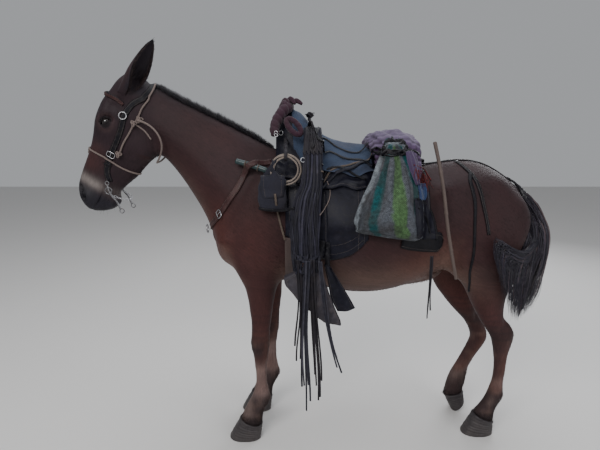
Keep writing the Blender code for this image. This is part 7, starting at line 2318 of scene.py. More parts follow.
def sweep(name, pts, radius, seg=10, step=0.004, closed=False, flat=1.0, shape=None, ends=True, smooth_path=True, turn=None, face=None, coll=None):
    """A round or flat section carried along a path: ropes, rods, thongs, rings."""
    P = smooth_route(pts, step) if smooth_path else np.array(pts, float)
    if closed:
        P = np.array(pts, float)
    n = len(P)
    arc = np.concatenate([[0], np.cumsum(np.linalg.norm(np.diff(P, axis=0), axis=1))])
    T, U, V = frames(P)
    if closed:
        T = np.roll(P, -1, 0) - np.roll(P, 1, 0)
        T /= np.linalg.norm(T, axis=1, keepdims=True)
        nrm = unit(np.cross(P[0] - P.mean(0), P[n // 4] - P.mean(0)))
        V = np.tile(nrm, (n, 1))
        U = np.cross(V, T)
        U /= np.linalg.norm(U, axis=1, keepdims=True)
    if face is not None:
        F = np.asarray(face, float)
        F = np.tile(F, (n, 1)) if F.ndim == 1 else F
        V = F - T * (F * T).sum(1)[:, None]
        V /= np.linalg.norm(V, axis=1, keepdims=True) + 1e-12
        U = np.cross(V, T)
    th = np.linspace(0, 2 * math.pi, seg, endpoint=False)
    R = radius(arc / arc[-1]) if callable(radius) else np.full(n, radius)
    rr = R[:, None] * (shape(arc[:, None], th[None]) if shape else np.ones((n, seg)))
    if turn is not None:
        a = turn(arc / arc[-1])[:, None]
        U, V = U * np.cos(a) + V * np.sin(a), -U * np.sin(a) + V * np.cos(a)
    Q = P[:, None] + U[:, None] * (rr * np.cos(th)[None])[..., None] + V[:, None] * (rr * np.sin(th)[None] * flat)[..., None]
    verts = Q.reshape(-1, 3)
    F = []
    m = n if closed else n - 1
    for i in range(m):
        i2 = (i + 1) % n
        for j in range(seg):
            k = (j + 1) % seg
            F.append((i * seg + j, i * seg + k, i2 * seg + k, i2 * seg + j))
    if not closed:
        c0, c1 = len(verts), len(verts) + 1
        verts = np.concatenate([verts, [P[0] - T[0] * R[0] * 0.4, P[-1] + T[-1] * R[-1] * 0.4]])
        for j in range(seg):
            k = (j + 1) % seg
            F += [(c0, k, j), (c1, (n - 1) * seg + j, (n - 1) * seg + k)]
    ob = mesh_object(name, verts, F, coll or WORK)
    w = np.zeros((len(ob.data.vertices), 3))
    w[:n * seg, 0] = np.repeat(arc, seg)
    w[:n * seg, 1] = np.tile(th, n) * (R.mean())
    give_points(ob, "cloth", w, "FLOAT_VECTOR")
    ob["len"] = float(arc[-1])
    return ob, P


def merged(name, obs):
    """Several finished meshes as one, with their cloth coordinates and tones."""
    V, F, A, M = [], [], [], []
    for o in [o for o in obs if o is not None]:
        me = o.data
        n = len(me.vertices)
        co = np.zeros(n * 3)
        me.vertices.foreach_get("co", co)
        base = sum(len(v) for v in V)
        a = np.zeros(n * 3)
        if "cloth" in me.attributes:
            me.attributes["cloth"].data.foreach_get("vector", a)
        c = np.ones(n * 4)
        if "mark" in me.attributes:
            me.attributes["mark"].data.foreach_get("color", c)
        V.append(co.reshape(-1, 3))
        A.append(a.reshape(-1, 3))
        M.append(c.reshape(-1, 4)[:, :3])
        F += [tuple(base + k for k in p.vertices) for p in me.polygons]
        drop(o)
    ob = mesh_object(name, np.concatenate(V), F, WORK, fix=False)
    give_points(ob, "cloth", np.concatenate(A), "FLOAT_VECTOR")
    give_points(ob, "mark", np.concatenate(M))
    return ob


def strand3(pitch, deep=0.24):
    return lambda s, th: (1 - deep) + deep * np.abs(np.cos(1.5 * (th - s * 2 * math.pi / pitch))) ** 0.7


def rope(name, pts, r=0.0042, **kw):
    return sweep(name, pts, r, seg=12, step=0.0022, shape=strand3(r * 7.5), **kw)[0]


def torus(name, centre, normal, R, r, squash=1.0, seg=10, n=40, ax=None):
    nn_ = unit(np.array(normal, float))
    a = unit(np.cross(nn_, (0, 0, 1)) if ax is None else np.array(ax, float))
    b = np.cross(nn_, a)
    t = np.linspace(0, 2 * math.pi, n, endpoint=False)
    P = np.array(centre) + np.outer(np.cos(t) * R, a) + np.outer(np.sin(t) * R * squash, b)
    return sweep(name, P, r, seg=seg, closed=True)[0]


def buckle(centre, along_, out, w, r=0.0016):
    """A wire frame with a tongue, across a strap."""
    c, a, o = np.array(centre, float), unit(np.array(along_, float)), unit(np.array(out, float))
    o = unit(o - a * np.dot(a, o))
    b = np.cross(a, o)
    L = w * 0.42
    loop = []
    for k in range(36):
        t = 2 * math.pi * k / 36
        x = np.sign(math.cos(t)) * abs(math.cos(t)) ** 0.45 * L
        y = np.sign(math.sin(t)) * abs(math.sin(t)) ** 0.45 * (w * 0.5 + 0.004)
        loop.append(c + a * x + b * y + o * (r + 0.0006))
    f = sweep("buckle_frame", loop, r, seg=8, closed=True)[0]
    g = sweep("buckle_tongue", [c - a * L + o * (r + 0.0012), c + o * (r + 0.0030), c + a * L + o * (r + 0.0016)], r * 0.75, seg=8, step=0.003)[0]
    return [f, g]


def stitches(lines, pitch=0.0062, long_=0.0042, r=0.00055, lift=0.0002):
    """Short raised threads along lines of points with outward directions."""
    V, F = [], []
    for P, O in lines:
        arc = np.concatenate([[0], np.cumsum(np.linalg.norm(np.diff(P, axis=0), axis=1))])
        k = int(arc[-1] / pitch)
        if k < 1:
            continue
        s = (np.arange(k) + 0.5) * pitch
        c = np.stack([np.interp(s, arc, P[:, i]) for i in range(3)], 1)
        c2 = np.stack([np.interp(s + 0.001, arc, P[:, i]) for i in range(3)], 1)
        o = np.stack([np.interp(s, arc, O[:, i]) for i in range(3)], 1)
        t = c2 - c
        t /= np.linalg.norm(t, axis=1, keepdims=True) + 1e-12
        o /= np.linalg.norm(o, axis=1, keepdims=True) + 1e-12
        b = np.cross(t, o)
        for i in range(k):
            base = len(V)
            for e in (-1, 1):
                for x, y in ((-1, 0.0), (0, 1.1), (1, 0.0), (0, -1.2)):
                    V.append(c[i] + t[i] * e * long_ / 2 * (1.0 if y <= 0 else 0.72) + b[i] * x * r + o[i] * (y * r + lift))
            for j in range(4):
                k2 = (j + 1) % 4
                F.append((base + j, base + k2, base + 4 + k2, base + 4 + j))
            F += [(base + 3, base + 2, base + 1, base), (base + 4, base + 5, base + 6, base + 7)]
    return mesh_object("stitching", np.array(V), F, WORK, fix=True)


def edge_lines(name, inset=0.12):
    """Two lines just inside the edges of a laid strap."""
    G, O = LINES[name]
    m = G.shape[1]
    res = []
    for j0, j1 in ((0, 1), (m - 1, m - 2)):
        f = 1.0 if m >= 7 else 0.9
        res.append((G[:, j0] * (1 - f) + G[:, j1] * f, O[:, j1]))
    return res


def press(ob, out=out_trunk, clear=0.002, thick=0.004, only=None, reach=0.30):
    """Moves what lies inside the things made so far out onto them, keeping some thickness."""
    me = ob.data
    n = len(me.vertices)
    co = np.zeros(n * 3)
    me.vertices.foreach_get("co", co)
    co = co.reshape(-1, 3)
    no = np.zeros(n * 3)
    me.vertices.foreach_get("normal", no)
    no = no.reshape(-1, 3)
    for i in range(n):
        o = out(co[i])
        h = LAY.meet(co[i], o, reach)
        if h is None:
            continue
        need = clear + (thick if np.dot(no[i], o) > 0.0 else 0.0)
        g = float(np.dot(h - co[i], o)) + need
        if g > 0:
            co[i] += o * g
    me.vertices.foreach_set("co", co.ravel())
    me.update()
    return ob


def loft(name, rows, seg, ruffle=None, cap=True):
    """Rings of a bag or roll: centre, two ways, half sizes, power; ruffle moves points out."""
    R = []
    th = np.linspace(0, 2 * math.pi, seg, endpoint=False)
    for c, u, v, a, b, p in rows:
        cu = np.sign(np.cos(th)) * np.abs(np.cos(th)) ** (2 / p)
        su = np.sign(np.sin(th)) * np.abs(np.sin(th)) ** (2 / p)
        R.append(np.array(c)[None] + np.outer(cu * a, u) + np.outer(su * b, v))
    R = np.array(R)
    n = len(R)
    if ruffle is not None:
        cen_ = R.mean(1, keepdims=True)
        d = R - cen_
        d /= np.linalg.norm(d, axis=2, keepdims=True) + 1e-9
        R = R + d * ruffle(np.linspace(0, 1, n)[:, None], th[None])[..., None]
    verts = R.reshape(-1, 3)
    F = []
    for i in range(n - 1):
        for j in range(seg):
            k = (j + 1) % seg
            F.append((i * seg + j, i * seg + k, (i + 1) * seg + k, (i + 1) * seg + j))
    c0 = len(verts)
    verts = np.concatenate([verts, [R[0].mean(0), R[-1].mean(0)]])
    for j in range(seg):
        k = (j + 1) % seg
        F += [(c0, k, j), (c0 + 1, (n - 1) * seg + j, (n - 1) * seg + k)]
    ob = mesh_object(name, verts, F, WORK)
    w = np.zeros((len(verts), 3))
    w[:n * seg, 0] = np.repeat(np.arange(n) / (n - 1), seg)
    w[:n * seg, 1] = np.tile(th / (2 * math.pi), n)
    give_points(ob, "cloth", w, "FLOAT_VECTOR")
    return ob


def rows_of(table, n, make):
    T = np.array(table, float)
    t = np.linspace(0, 1, len(T))
    Q = hermite(t, T, np.linspace(0, 1, n))
    return [make(q) for q in Q]


# ---------------------------------------------------------------- tack: materials
def leather(name, colour, rough=0.55, worn=0.25, grain=1.0, dusty=0.25, spec=0.22, toned=False):
    m, t, b = new_material(name)
    g = node(t, "ShaderNodeNewGeometry").outputs["Position"]
    big = noise(t, g, 7.0, 4, 0.6)
    mid = noise(t, g, 60.0, 4, 0.65)
    vor = t.nodes.new("ShaderNodeTexVoronoi")
    vor.inputs["Scale"].default_value = 620.0
    t.links.new(g, vor.inputs["Vector"])
    c = np.array(colour)
    base = ramp(t, mid, [(0.30, tuple(c * 0.62)), (0.52, tuple(c)), (0.75, tuple(np.minimum(c * 1.5 + 0.006, 1)))])
    base = mix_colour(t, ramp(t, big, [(0.45, 0.0), (0.72, worn)]), base, tuple(np.minimum(c * 2.3 + 0.012, 1)))
    dust = noise(t, g, 22.0, 6, 0.7)
    base = mix_colour(t, ramp(t, dust, [(0.52, 0.0), (0.78, dusty)]), base, srgb(112, 98, 88))
    if toned:
        base = mix_colour(t, 1.0, base, attr(t, "mark"), "MULTIPLY")
    t.links.new(base, b.inputs["Base Color"])
    t.links.new(ramp(t, mid, [(0.3, rough - 0.12), (0.7, rough + 0.14)]), b.inputs["Roughness"])
    b.inputs["Specular IOR Level"].default_value = spec
    h = math_node(t, "ADD", math_node(t, "MULTIPLY", vor.outputs["Distance"], 0.35 * grain), math_node(t, "MULTIPLY", mid, 0.8))
    bump(t, h, 0.45, 0.0010, b)
    return m


def weave(name, colour=None, pitch=(900.0, 900.0), rough=0.85, stain=0.25, deep=0.0006, use_mark=False, thread=0.22, spec=0.14, place="cloth", sheen=0.06, grime=0.0):
    """Woven cloth: threads over and under in the cloth's own coordinates."""
    m, t, b = new_material(name)
    g = node(t, "ShaderNodeNewGeometry").outputs["Position"]
    v = attr(t, place, "Vector") if place else g
    sep = t.nodes.new("ShaderNodeSeparateXYZ")
    t.links.new(v, sep.inputs[0])
    su = math_node(t, "SINE", math_node(t, "MULTIPLY", sep.outputs[0], pitch[0]))
    sv = math_node(t, "SINE", math_node(t, "MULTIPLY", sep.outputs[1], pitch[1]))
    prod = math_node(t, "MULTIPLY", su, sv)
    w = math_node(t, "ADD", math_node(t, "MULTIPLY", prod, 0.5), 0.5)
    fuzz = noise(t, g, 260.0, 3, 0.6)
    big = noise(t, g, 9.0, 5, 0.6)
    base = attr(t, "mark") if use_mark else None
    if base is None:
        rgb = t.nodes.new("ShaderNodeRGB")
        rgb.outputs[0].default_value = tuple(float(x) for x in colour) + (1.0,)
        base = rgb.outputs[0]
    base = mix_colour(t, 1.0, base, ramp(t, w, [(0.0, 1 - thread), (1.0, 1 + thread)]), "MULTIPLY")
    base = mix_colour(t, 1.0, base, ramp(t, fuzz, [(0.3, 0.84), (0.7, 1.16)]), "MULTIPLY")
    if grime:
        for scale, far in ((75.0, 1.0), (330.0, 0.8)):
            spots = noise(t, g, scale, 4, 0.65)
            base = mix_colour(t, 1.0, base, ramp(t, spots, [(0.36, 1 - grime * far), (0.62, 1 + 0.35 * grime)]), "MULTIPLY")
    base = mix_colour(t, ramp(t, big, [(0.48, 0.0), (0.75, stain)]), base, srgb(58, 50, 48))
    t.links.new(base, b.inputs["Base Color"])
    b.inputs["Roughness"].default_value = rough
    b.inputs["Specular IOR Level"].default_value = spec
    b.inputs["Sheen Weight"].default_value = sheen
    h = math_node(t, "ADD", w, math_node(t, "MULTIPLY", fuzz, 0.6))
    bump(t, h, 0.5, deep, b)
    return m


def metal(name, colour, rough=0.32, rust=0.2):
    m, t, b = new_material(name)
    g = node(t, "ShaderNodeNewGeometry").outputs["Position"]
    n1 = noise(t, g, 90.0, 5, 0.65)
    base = mix_colour(t, ramp(t, n1, [(0.5, 0.0), (0.75, rust)]), colour, srgb(86, 62, 46))
    t.links.new(base, b.inputs["Base Color"])
    b.inputs["Metallic"].default_value = 1.0
    t.links.new(ramp(t, n1, [(0.3, rough - 0.08), (0.7, rough + 0.2)]), b.inputs["Roughness"])
    bump(t, n1, 0.2, 0.0004, b)
    return m


def plain(name, colour, rough=0.6, bumpy=120.0, deep=0.0004, spec=0.4):
    m, t, b = new_material(name)
    g = node(t, "ShaderNodeNewGeometry").outputs["Position"]
    n1 = noise(t, g, bumpy, 4, 0.6)
    c = np.array(colour)
    t.links.new(ramp(t, n1, [(0.3, tuple(c * 0.75)), (0.7, tuple(np.minimum(c * 1.25, 1)))]), b.inputs["Base Color"])
    b.inputs["Roughness"].default_value = rough
    b.inputs["Specular IOR Level"].default_value = spec
    bump(t, n1, 0.3, deep, b)
    return m


SADDLE = leather("saddle_leather", srgb(17, 17, 28), 0.46, 0.20, dusty=0.05, spec=0.16)
BLACKL = leather("black_leather", srgb(14, 13, 19), 0.46, 0.14, dusty=0.06, spec=0.17)
HOODL = leather("hood_leather", srgb(52, 49, 55), 0.62, 0.28, dusty=0.25)
TANL = leather("tan_leather", srgb(76, 66, 59), 0.66, 0.25, dusty=0.15)
BROWNL = leather("brown_leather", srgb(54, 33, 33), 0.52, 0.20, dusty=0.12)
THONGL = leather("thong_leather", srgb(31, 31, 40), 0.56, 0.22, dusty=0.08, spec=0.18)
DARKTH = leather("dark_thong", srgb(27, 24, 30), 0.55, 0.20, dusty=0.10)
TONETH = leather("toned_thong", srgb(37, 36, 48), 0.56, 0.24, dusty=0.08, spec=0.18, toned=True)
PALETH = leather("pale_thong", srgb(50, 49, 58), 0.58, 0.24, dusty=0.10, spec=0.20)
BLANKET = weave("blanket_wool", srgb(26, 21, 32), (1500, 1500), 0.95, 0.3, 0.0010, sheen=0.15)
SEATC = weave("seat_cloth", srgb(52, 62, 81), (1900, 1900), 0.85, 0.30, 0.0005)
ROLLC = weave("roll_cloth", None, (1900, 1900), 0.9, 0.18, 0.0005, use_mark=True, sheen=0.08)
SACKC = weave("sack_weave", None, (1250, 1250), 0.66, 0.40, 0.0008, use_mark=True, thread=0.26, spec=0.12, grime=0.42, sheen=0.0)
WRAPC = weave("wrap_cloth", srgb(50, 31, 42), (2100, 2100), 0.9, 0.25, 0.0006, sheen=0.10)
WEBB = weave("girth_web", srgb(74, 64, 62), (700, 1200), 0.9, 0.3, 0.0010)
POUCHC = weave("pouch_cloth", srgb(38, 38, 47), (1400, 1400), 0.85, 0.25, 0.0007)
ROPEM = weave("rope_fibre", srgb(118, 108, 101), (0, 2600), 0.85, 0.25, 0.0004, thread=0.18)
HALTM = weave("halter_rope", srgb(108, 96, 92), (0, 2600), 0.85, 0.25, 0.0004, thread=0.18)
BITM = metal("bit_steel", (0.20, 0.20, 0.21), 0.40, 0.50)
SILVER = metal("ring_metal", (0.44, 0.44, 0.46), 0.30, 0.22)
THREAD = plain("thread", srgb(92, 84, 80), 0.8, 400.0, 0.0002)
GREENP = plain("green_plastic", srgb(22, 44, 46), 0.38, 60.0, 0.0003, 0.5)


def wood():
    m, t, b = new_material("stick_wood")
    v = attr(t, "cloth", "Vector")
    g = noise(t, scaled(t, v, (14, 900, 1)), 1.0, 4, 0.6)
    k = noise(t, scaled(t, v, (30, 60, 1)), 1.0, 4, 0.6)
    c = ramp(t, g, [(0.3, tuple(srgb(52, 41, 39))), (0.55, tuple(srgb(82, 69, 64))), (0.8, tuple(srgb(106, 92, 84)))])
    c = mix_colour(t, ramp(t, k, [(0.55, 0.0), (0.75, 0.5)]), c, srgb(70, 56, 52))
    t.links.new(c, b.inputs["Base Color"])
    b.inputs["Roughness"].default_value = 0.7
    bump(t, g, 0.4, 0.0008, b)
    return m


WOOD = wood()
THREADS = []
METALS = []

# ---------------------------------------------------------------- blanket, skirts, girth, straps of the saddle
def draped(name, nv, angs, thick, trim, clear, wave=0.0, edge=0.0025, prof=True):
    """A cloth or leather laid over the back on fine stations, with a rounded rim."""
    nu = len(angs)
    C = np.zeros((nv, nu, 3))
    O = np.zeros((nv, nu, 3))
    H = np.zeros((nv, nu))
    for i in range(nv):
        for j, a in enumerate(angs):
            x, w = trim(i / (nv - 1), a)
            c, o = trunk_wrap(x, 1 if w > 0 else -1, abs(w))
            h = LAY.meet(c, o, 0.60)
            C[i, j], O[i, j], H[i, j] = c, o, float(np.dot(h - c, o))
    for _ in range(4):
        P = np.pad(H, 1, mode="edge")
        H = np.maximum(H, (P[:-2, 1:-1] + P[2:, 1:-1] + P[1:-1, :-2] + P[1:-1, 2:]) / 4)
    for _ in range(3):
        P = np.pad(H, 1, mode="edge")
        H = (P[:-2, 1:-1] + P[2:, 1:-1] + P[1:-1, :-2] + P[1:-1, 2:]) / 8 + H / 2
    I, J = np.meshgrid(np.linspace(0, 1, nv), np.linspace(0, 1, nu), indexing="ij")
    rim = np.minimum(np.minimum(I, 1 - I) * nv, np.minimum(J, 1 - J) * nu)
    T = thick * np.clip(0.35 + 0.65 * np.minimum(rim / 1.5, 1) ** 0.5, 0, 1)
    K = H + clear
    S0 = C + O * K[..., None]
    if wave:
        dn = smooth01(np.abs(np.array(angs))[None] * np.ones((nv, 1)), 60, 95)
        K = K + wave * dn * (0.5 + 0.5 * np.sin(I * 17 + 2.0 * np.sin(J * 9))) + 0.25 * wave * (0.5 + 0.5 * noise3(S0.reshape(-1, 3), 24, 5).reshape(nv, nu))
    if edge:
        band_ = np.exp(-((rim - 5) / 1.2) ** 2)
        T = T - edge * 0.5 * band_
    lu = np.concatenate([np.zeros((1, nu)), np.cumsum(np.linalg.norm(np.diff(S0, axis=0), axis=2), 0)])
    lv = np.concatenate([np.zeros((nv, 1)), np.cumsum(np.linalg.norm(np.diff(S0, axis=1), axis=2), 1)], 1)
    ob = grid_object(name, C + O * (K + T)[..., None], C + O * K[..., None], np.stack([lu, lv], 2))
    LAY.add(ob)
    P = C + O * (K + T / 2)[..., None]
    a = P[:-1, :-1]
    area_ = 0.5 * (np.linalg.norm(np.cross(P[1:, :-1] - a, P[:-1, 1:] - a), axis=2) + np.linalg.norm(np.cross(P[1:, :-1] - P[1:, 1:], P[:-1, 1:] - P[1:, 1:]), axis=2)).sum()
    LINES[name] = (C + O * (K + T)[..., None], O)
    return ob, float(lu[-1].mean()), float(lv[:, -1].mean()), float(area_)


blanket, bw, bl, ba = draped("blanket", 64, np.linspace(-88, 88, 96), 0.007, blanket_trim, 0.0035, wave=0.006, edge=0)
# a bound hem round the blanket
G, O_ = LINES["blanket"]
hem = np.concatenate([G[0, :], G[1:, -1], G[-1, -2::-1], G[-2:0:-1, 0]])
hemO = np.concatenate([O_[0, :], O_[1:, -1], O_[-1, -2::-1], O_[-2:0:-1, 0]])
hem_ob = sweep("blanket_binding", hem - hemO * 0.0035, 0.0048, seg=8, closed=True)[0]
skirt, sw, sl_, sa = draped("skirts", 60, np.linspace(-96, 96, 110), 0.0055, skirt_trim, 0.0020, wave=0.003)
G, O_ = LINES["skirts"]
for k in (3, 7):
    THREADS += [(G[k, :], O_[k, :]), (G[-1 - k, :], O_[-1 - k, :]), (G[k:-k, k], O_[k:-k, k]), (G[k:-k, -1 - k], O_[k:-k, -1 - k])]
tick("blanket, skirts")

ring = []
for ang in (97, 104, 112, 120, 132, 148, 164, 180, 196, 212, 228, 240, 248, 256, 263):
    c, o = trunk_wrap(-0.030, -1, ang)
    ring.append(tuple(LAY.meet(c, o, 0.60)))
girth_ob = band("girth_web", ring, 0.070, 0.0050, across=9, step=0.010, clear=0.002)
for nm, s in (("left", -1), ("right", 1)):
    lob = band("rear_lobe_" + nm, [(0.424, s * 0.26, 1.020), (0.480, s * 0.25, 1.012), (0.540, s * 0.24, 1.002), (0.602, s * 0.23, 0.996)],
               lambda u: 0.088 * min(1.0, 0.30 + 2.4 * math.sqrt(max(0.0, (1 - u)) + 0.002)) * (0.86 + 0.14 * min(1, u * 5)), 0.006, across=9, clear=0.0025)
    THREADS += edge_lines("rear_lobe_" + nm)
    piece(lob, BLACKL, ("rear_flap_" + nm,))
    lth = band("leather_" + nm, [(0.085, s * 0.19, 1.200), (0.090, s * 0.24, 1.100), (0.092, s * 0.255, 1.000), (0.094, s * 0.258, 0.950)], 0.048, 0.0045, across=7)
    THREADS += edge_lines("leather_" + nm)
    piece(lth, SADDLE, ("stirrup_leather_" + nm,))
piece(blanket, BLANKET, ("saddle_blanket",))
piece(hem_ob, BLACKL)
piece(skirt, SADDLE, ("saddle_skirt",))
piece(girth_ob, WEBB, ("girth",))
print("blanket flat %.3f x %.3f area %.3f" % (bw, ba / bw, ba))

# ---------------------------------------------------------------- seat under its cloth
seat_profile = ring_rows([((x, 0, zl + 0.04), (0, 0, 1), (0, 1, 0), zt - zl - 0.04, 0.04, w, w, 1.55, 2.0) for x, zt, w, zl in SEAT], 64, 0.012)
seat_tree = BVHTree.FromPolygons([Vector(v) for v in seat_profile[0]], [tuple(f) for f in seat_profile[1]])


def seat_cover():
    xs = np.concatenate([np.linspace(-0.105, 0.06, 40), np.linspace(0.066, 0.316, 50)])
    fr = np.linspace(-1, 1, 90)
    n, m = len(xs), len(fr)
    C, O = np.zeros((n, m, 3)), np.zeros((n, m, 3))
    H, T = np.zeros((n, m)), np.zeros((n, m))
    for i, x in enumerate(xs):
        wide = 30 + 17 * min(1.0, max(0.0, x + 0.080) / 0.12)
        wide += 1.4 * math.sin(x * 60) + 1.0 * math.sin(x * 23 + 1)
        for j, f in enumerate(fr):
            c, o = trunk_wrap(x, 1 if f > 0 else -1, abs(f) * wide)
            h = LAY.meet(c, o, 0.60)
            C[i, j], O[i, j], H[i, j] = c, o, float(np.dot(h - c, o))
            r = seat_tree.ray_cast(Vector(c) + Vector(o) * 0.9, -Vector(o), 0.9)
            T[i, j] = float(np.dot(np.array(r[0]) - c, o)) if r[0] is not None else 0.0
    K = H + 0.0030
    top = np.maximum(T, K + 0.007)
    for _ in range(5):
        P = np.pad(top, 1, mode="edge")
        top = (P[:-2, 1:-1] + P[2:, 1:-1] + P[1:-1, :-2] + P[1:-1, 2:]) / 8 + top / 2
    X, F = np.meshgrid(xs, fr, indexing="ij")
    down = smooth01(np.abs(F), 0.35, 0.9)
    # folds run from the pommel down and back, tightening at the ties
    ph = (X * 34 + np.abs(F) * 15 + 1.6 * np.sin(F * 5 + X * 7))
    fold = 0.0042 * down * np.sin(ph) + 0.0022 * np.sin(X * 71 - np.abs(F) * 22 + 2 * np.sin(X * 19)) * (0.4 + 0.6 * down)
    fold += 0.0018 * noise3((C + O * top[..., None]).reshape(-1, 3), 26, 9).reshape(n, m)
    top = np.maximum(top + fold, K + 0.004)
    S = C + O * top[..., None]
    lu = np.concatenate([np.zeros((1, m)), np.cumsum(np.linalg.norm(np.diff(S, axis=0), axis=2), 0)])
    lv = np.concatenate([np.zeros((n, 1)), np.cumsum(np.linalg.norm(np.diff(S, axis=1), axis=2), 1)], 1)
    ob = grid_object("seat_cover", S, C + O * K[..., None], np.stack([lu, lv], 2))
    LINES["seat_cover"] = (S, O)
    LAY.add(ob)
    return ob


seat = seat_cover()
G, O_ = LINES["seat_cover"]
THREADS += [(G[:, 2], O_[:, 2]), (G[:, -3], O_[:, -3])]
piece(seat, SADDLE, ("saddle_seat",))


def cover_edge(x):
    """How far down the cloth over the seat reaches, in degrees from the top."""
    return float(np.interp(x, [-0.030, 0.010, 0.060, 0.140, 0.250, 0.320], [17, 23, 30, 33.5, 34.5, 31])) + 0.8 * math.sin(x * 61) + 0.6 * math.sin(x * 27 + 1)


def cover_cloth():
    xs = np.linspace(-0.026, 0.322, 92)
    fr = np.linspace(-1, 1, 96)
    n, m = len(xs), len(fr)
    C, O = np.zeros((n, m, 3)), np.zeros((n, m, 3))
    H = np.zeros((n, m))
    for i, x in enumerate(xs):
        wide = cover_edge(x)
        for j, f in enumerate(fr):
            xx = x - 0.010 * (1 - abs(f)) * (1 - i / (n - 1))
            c, o = trunk_wrap(xx, 1 if f > 0 else -1, abs(f) * wide)
            h = LAY.meet(c, o, 0.60)
            C[i, j], O[i, j], H[i, j] = c, o, float(np.dot(h - c, o))
    for _ in range(3):
        P = np.pad(H, 1, mode="edge")
        H = np.maximum(H, (P[:-2, 1:-1] + P[2:, 1:-1] + P[1:-1, :-2] + P[1:-1, 2:]) / 4)
    X, F = np.meshgrid(xs, fr, indexing="ij")
    down = smooth01(np.abs(F), 0.30, 0.95)
    ph = X * 46 + np.abs(F) * 13 + 1.6 * np.sin(F * 5 + X * 9)
    fold = 0.0055 * down * (0.5 + 0.5 * np.sin(ph)) + 0.0030 * (0.5 + 0.5 * np.sin(X * 83 - np.abs(F) * 22 + 2 * np.sin(X * 19))) * (0.3 + 0.7 * down)
    S = C + O * H[..., None]
    fold += 0.0022 * (0.5 + 0.5 * noise3(S.reshape(-1, 3), 30, 9).reshape(n, m))
    fold += 0.0032 * np.exp(-((X + 0.020) / 0.006) ** 2)
    K = H + 0.0016 + fold
    S = C + O * (K + 0.0022)[..., None]
    lu = np.concatenate([np.zeros((1, m)), np.cumsum(np.linalg.norm(np.diff(S, axis=0), axis=2), 0)])
    lv = np.concatenate([np.zeros((n, 1)), np.cumsum(np.linalg.norm(np.diff(S, axis=1), axis=2), 1)], 1)
    ob = grid_object("seat_cloth", S, C + O * K[..., None], np.stack([lu, lv], 2))
    LINES["seat_cloth"] = (S, O)
    LAY.add(ob)
    q = S[:-1, :-1]
    ar = 0.5 * (np.linalg.norm(np.cross(S[1:, :-1] - q, S[:-1, 1:] - q), axis=2) + np.linalg.norm(np.cross(S[1:, :-1] - S[1:, 1:], S[:-1, 1:] - S[1:, 1:]), axis=2)).sum()
    return ob, float(lu[-1].mean()), float(ar)


sc_, scw, sca = cover_cloth()
G, O_ = LINES["seat_cloth"]
hem1 = np.concatenate([G[0, :], G[1:, -1], G[-1, -2::-1], G[-2:0:-1, 0]])
hemn = np.concatenate([O_[0, :], O_[1:, -1], O_[-1, -2::-1], O_[-2:0:-1, 0]])
sch = sweep("seat_cloth_hem", hem1 - hemn * 0.0010, 0.0022, seg=6, closed=True)[0]
piece(sc_, SEATC)
piece(sch, SEATC)
tick("seat")

# ---------------------------------------------------------------- rolled cloth behind the seat
def roll_row(q):
    x, y, z, a, b, t0, t1, t2 = q
    t = unit(np.array([t0, t1, t2]))
    n = np.cross(t, (1, 0, 0))
    n = n if n[2] > 0 else -n
    n = unit(n)
    return ((x, y, z), (1, 0, 0), n, a, b, 2.1)


RT = np.array(ROLL)
tang = np.gradient(RT[:, :3], axis=0)
ends0 = [tuple(np.concatenate([RT[0, :3] - [0, 0.004, 0.012], RT[0, 3:] * 0.55, tang[0]]))]
rt = [tuple(np.concatenate([RT[i], tang[i]])) for i in range(len(RT))]
ends1 = [tuple(np.concatenate([RT[-1, :3] + [0, 0.004, -0.012], RT[-1, 3:] * 0.55, tang[-1]]))]
TIES = (0.30, 0.70)


def roll_ruffle(u, th):
    pinch = sum(np.exp(-((u - t) / 0.022) ** 2) for t in TIES)
    w = 0.0030 * np.sin(th * 9 + u * 12 + 2 * np.sin(u * 17)) + 0.0022 * np.sin(th * 17 - u * 31)
    seam = -0.006 * np.exp(-((np.mod(th - 2.3 + 0.4 * np.sin(u * 9), 2 * np.pi) - 0.0) / 0.10) ** 2)
    w = w + 0.0085 * (np.abs(np.sin(th * 3.5 + 1.3 * np.sin(u * 7))) ** 0.7 - 0.7) * np.sin(np.pi * np.clip(u, 0, 1)) ** 0.3
    return w * (1 + 1.6 * pinch) - 0.013 * pinch + seam + 0.004 * np.sin(u * 44) * np.exp(-((u - 0.5) / 0.4) ** 2)


roll = loft("roll_body", rows_of(ends0 + rt + ends1, 110, roll_row), 72, roll_ruffle)
press(roll, clear=0.002, thick=0.010)
me = roll.data
w = np.zeros(len(me.vertices) * 3)
me.attributes["cloth"].data.foreach_get("vector", w)
w = w.reshape(-1, 3)
th = w[:, 1] * 2 * math.pi
col_ = np.tile(srgb(72, 56, 82), (len(w), 1))
k = (np.sin(w[:, 0] * 150) > 0.45)[:, None]
col_ = np.where(k, srgb(44, 30, 50), col_)
k = (np.sin(w[:, 0] * 150 + 1.9) > 0.86)[:, None]
col_ = np.where(k, srgb(100, 88, 112), col_)
# the upper side blended lighter: painted light falling from above
lit_top = smooth01(np.array([v.co.z for v in me.vertices]), 1.38, 1.45)[:, None]
col_ = col_ * (1 - 0.55 * lit_top) + srgb(98, 89, 111) * 0.55 * lit_top
give_points(roll, "mark", col_)
w[:, 0] *= 0.62
w[:, 1] *= 0.40
me.attributes["cloth"].data.foreach_set("vector", w.ravel())
LAY.add(roll)
piece(roll, ROLLC, ("cloth_roll",))

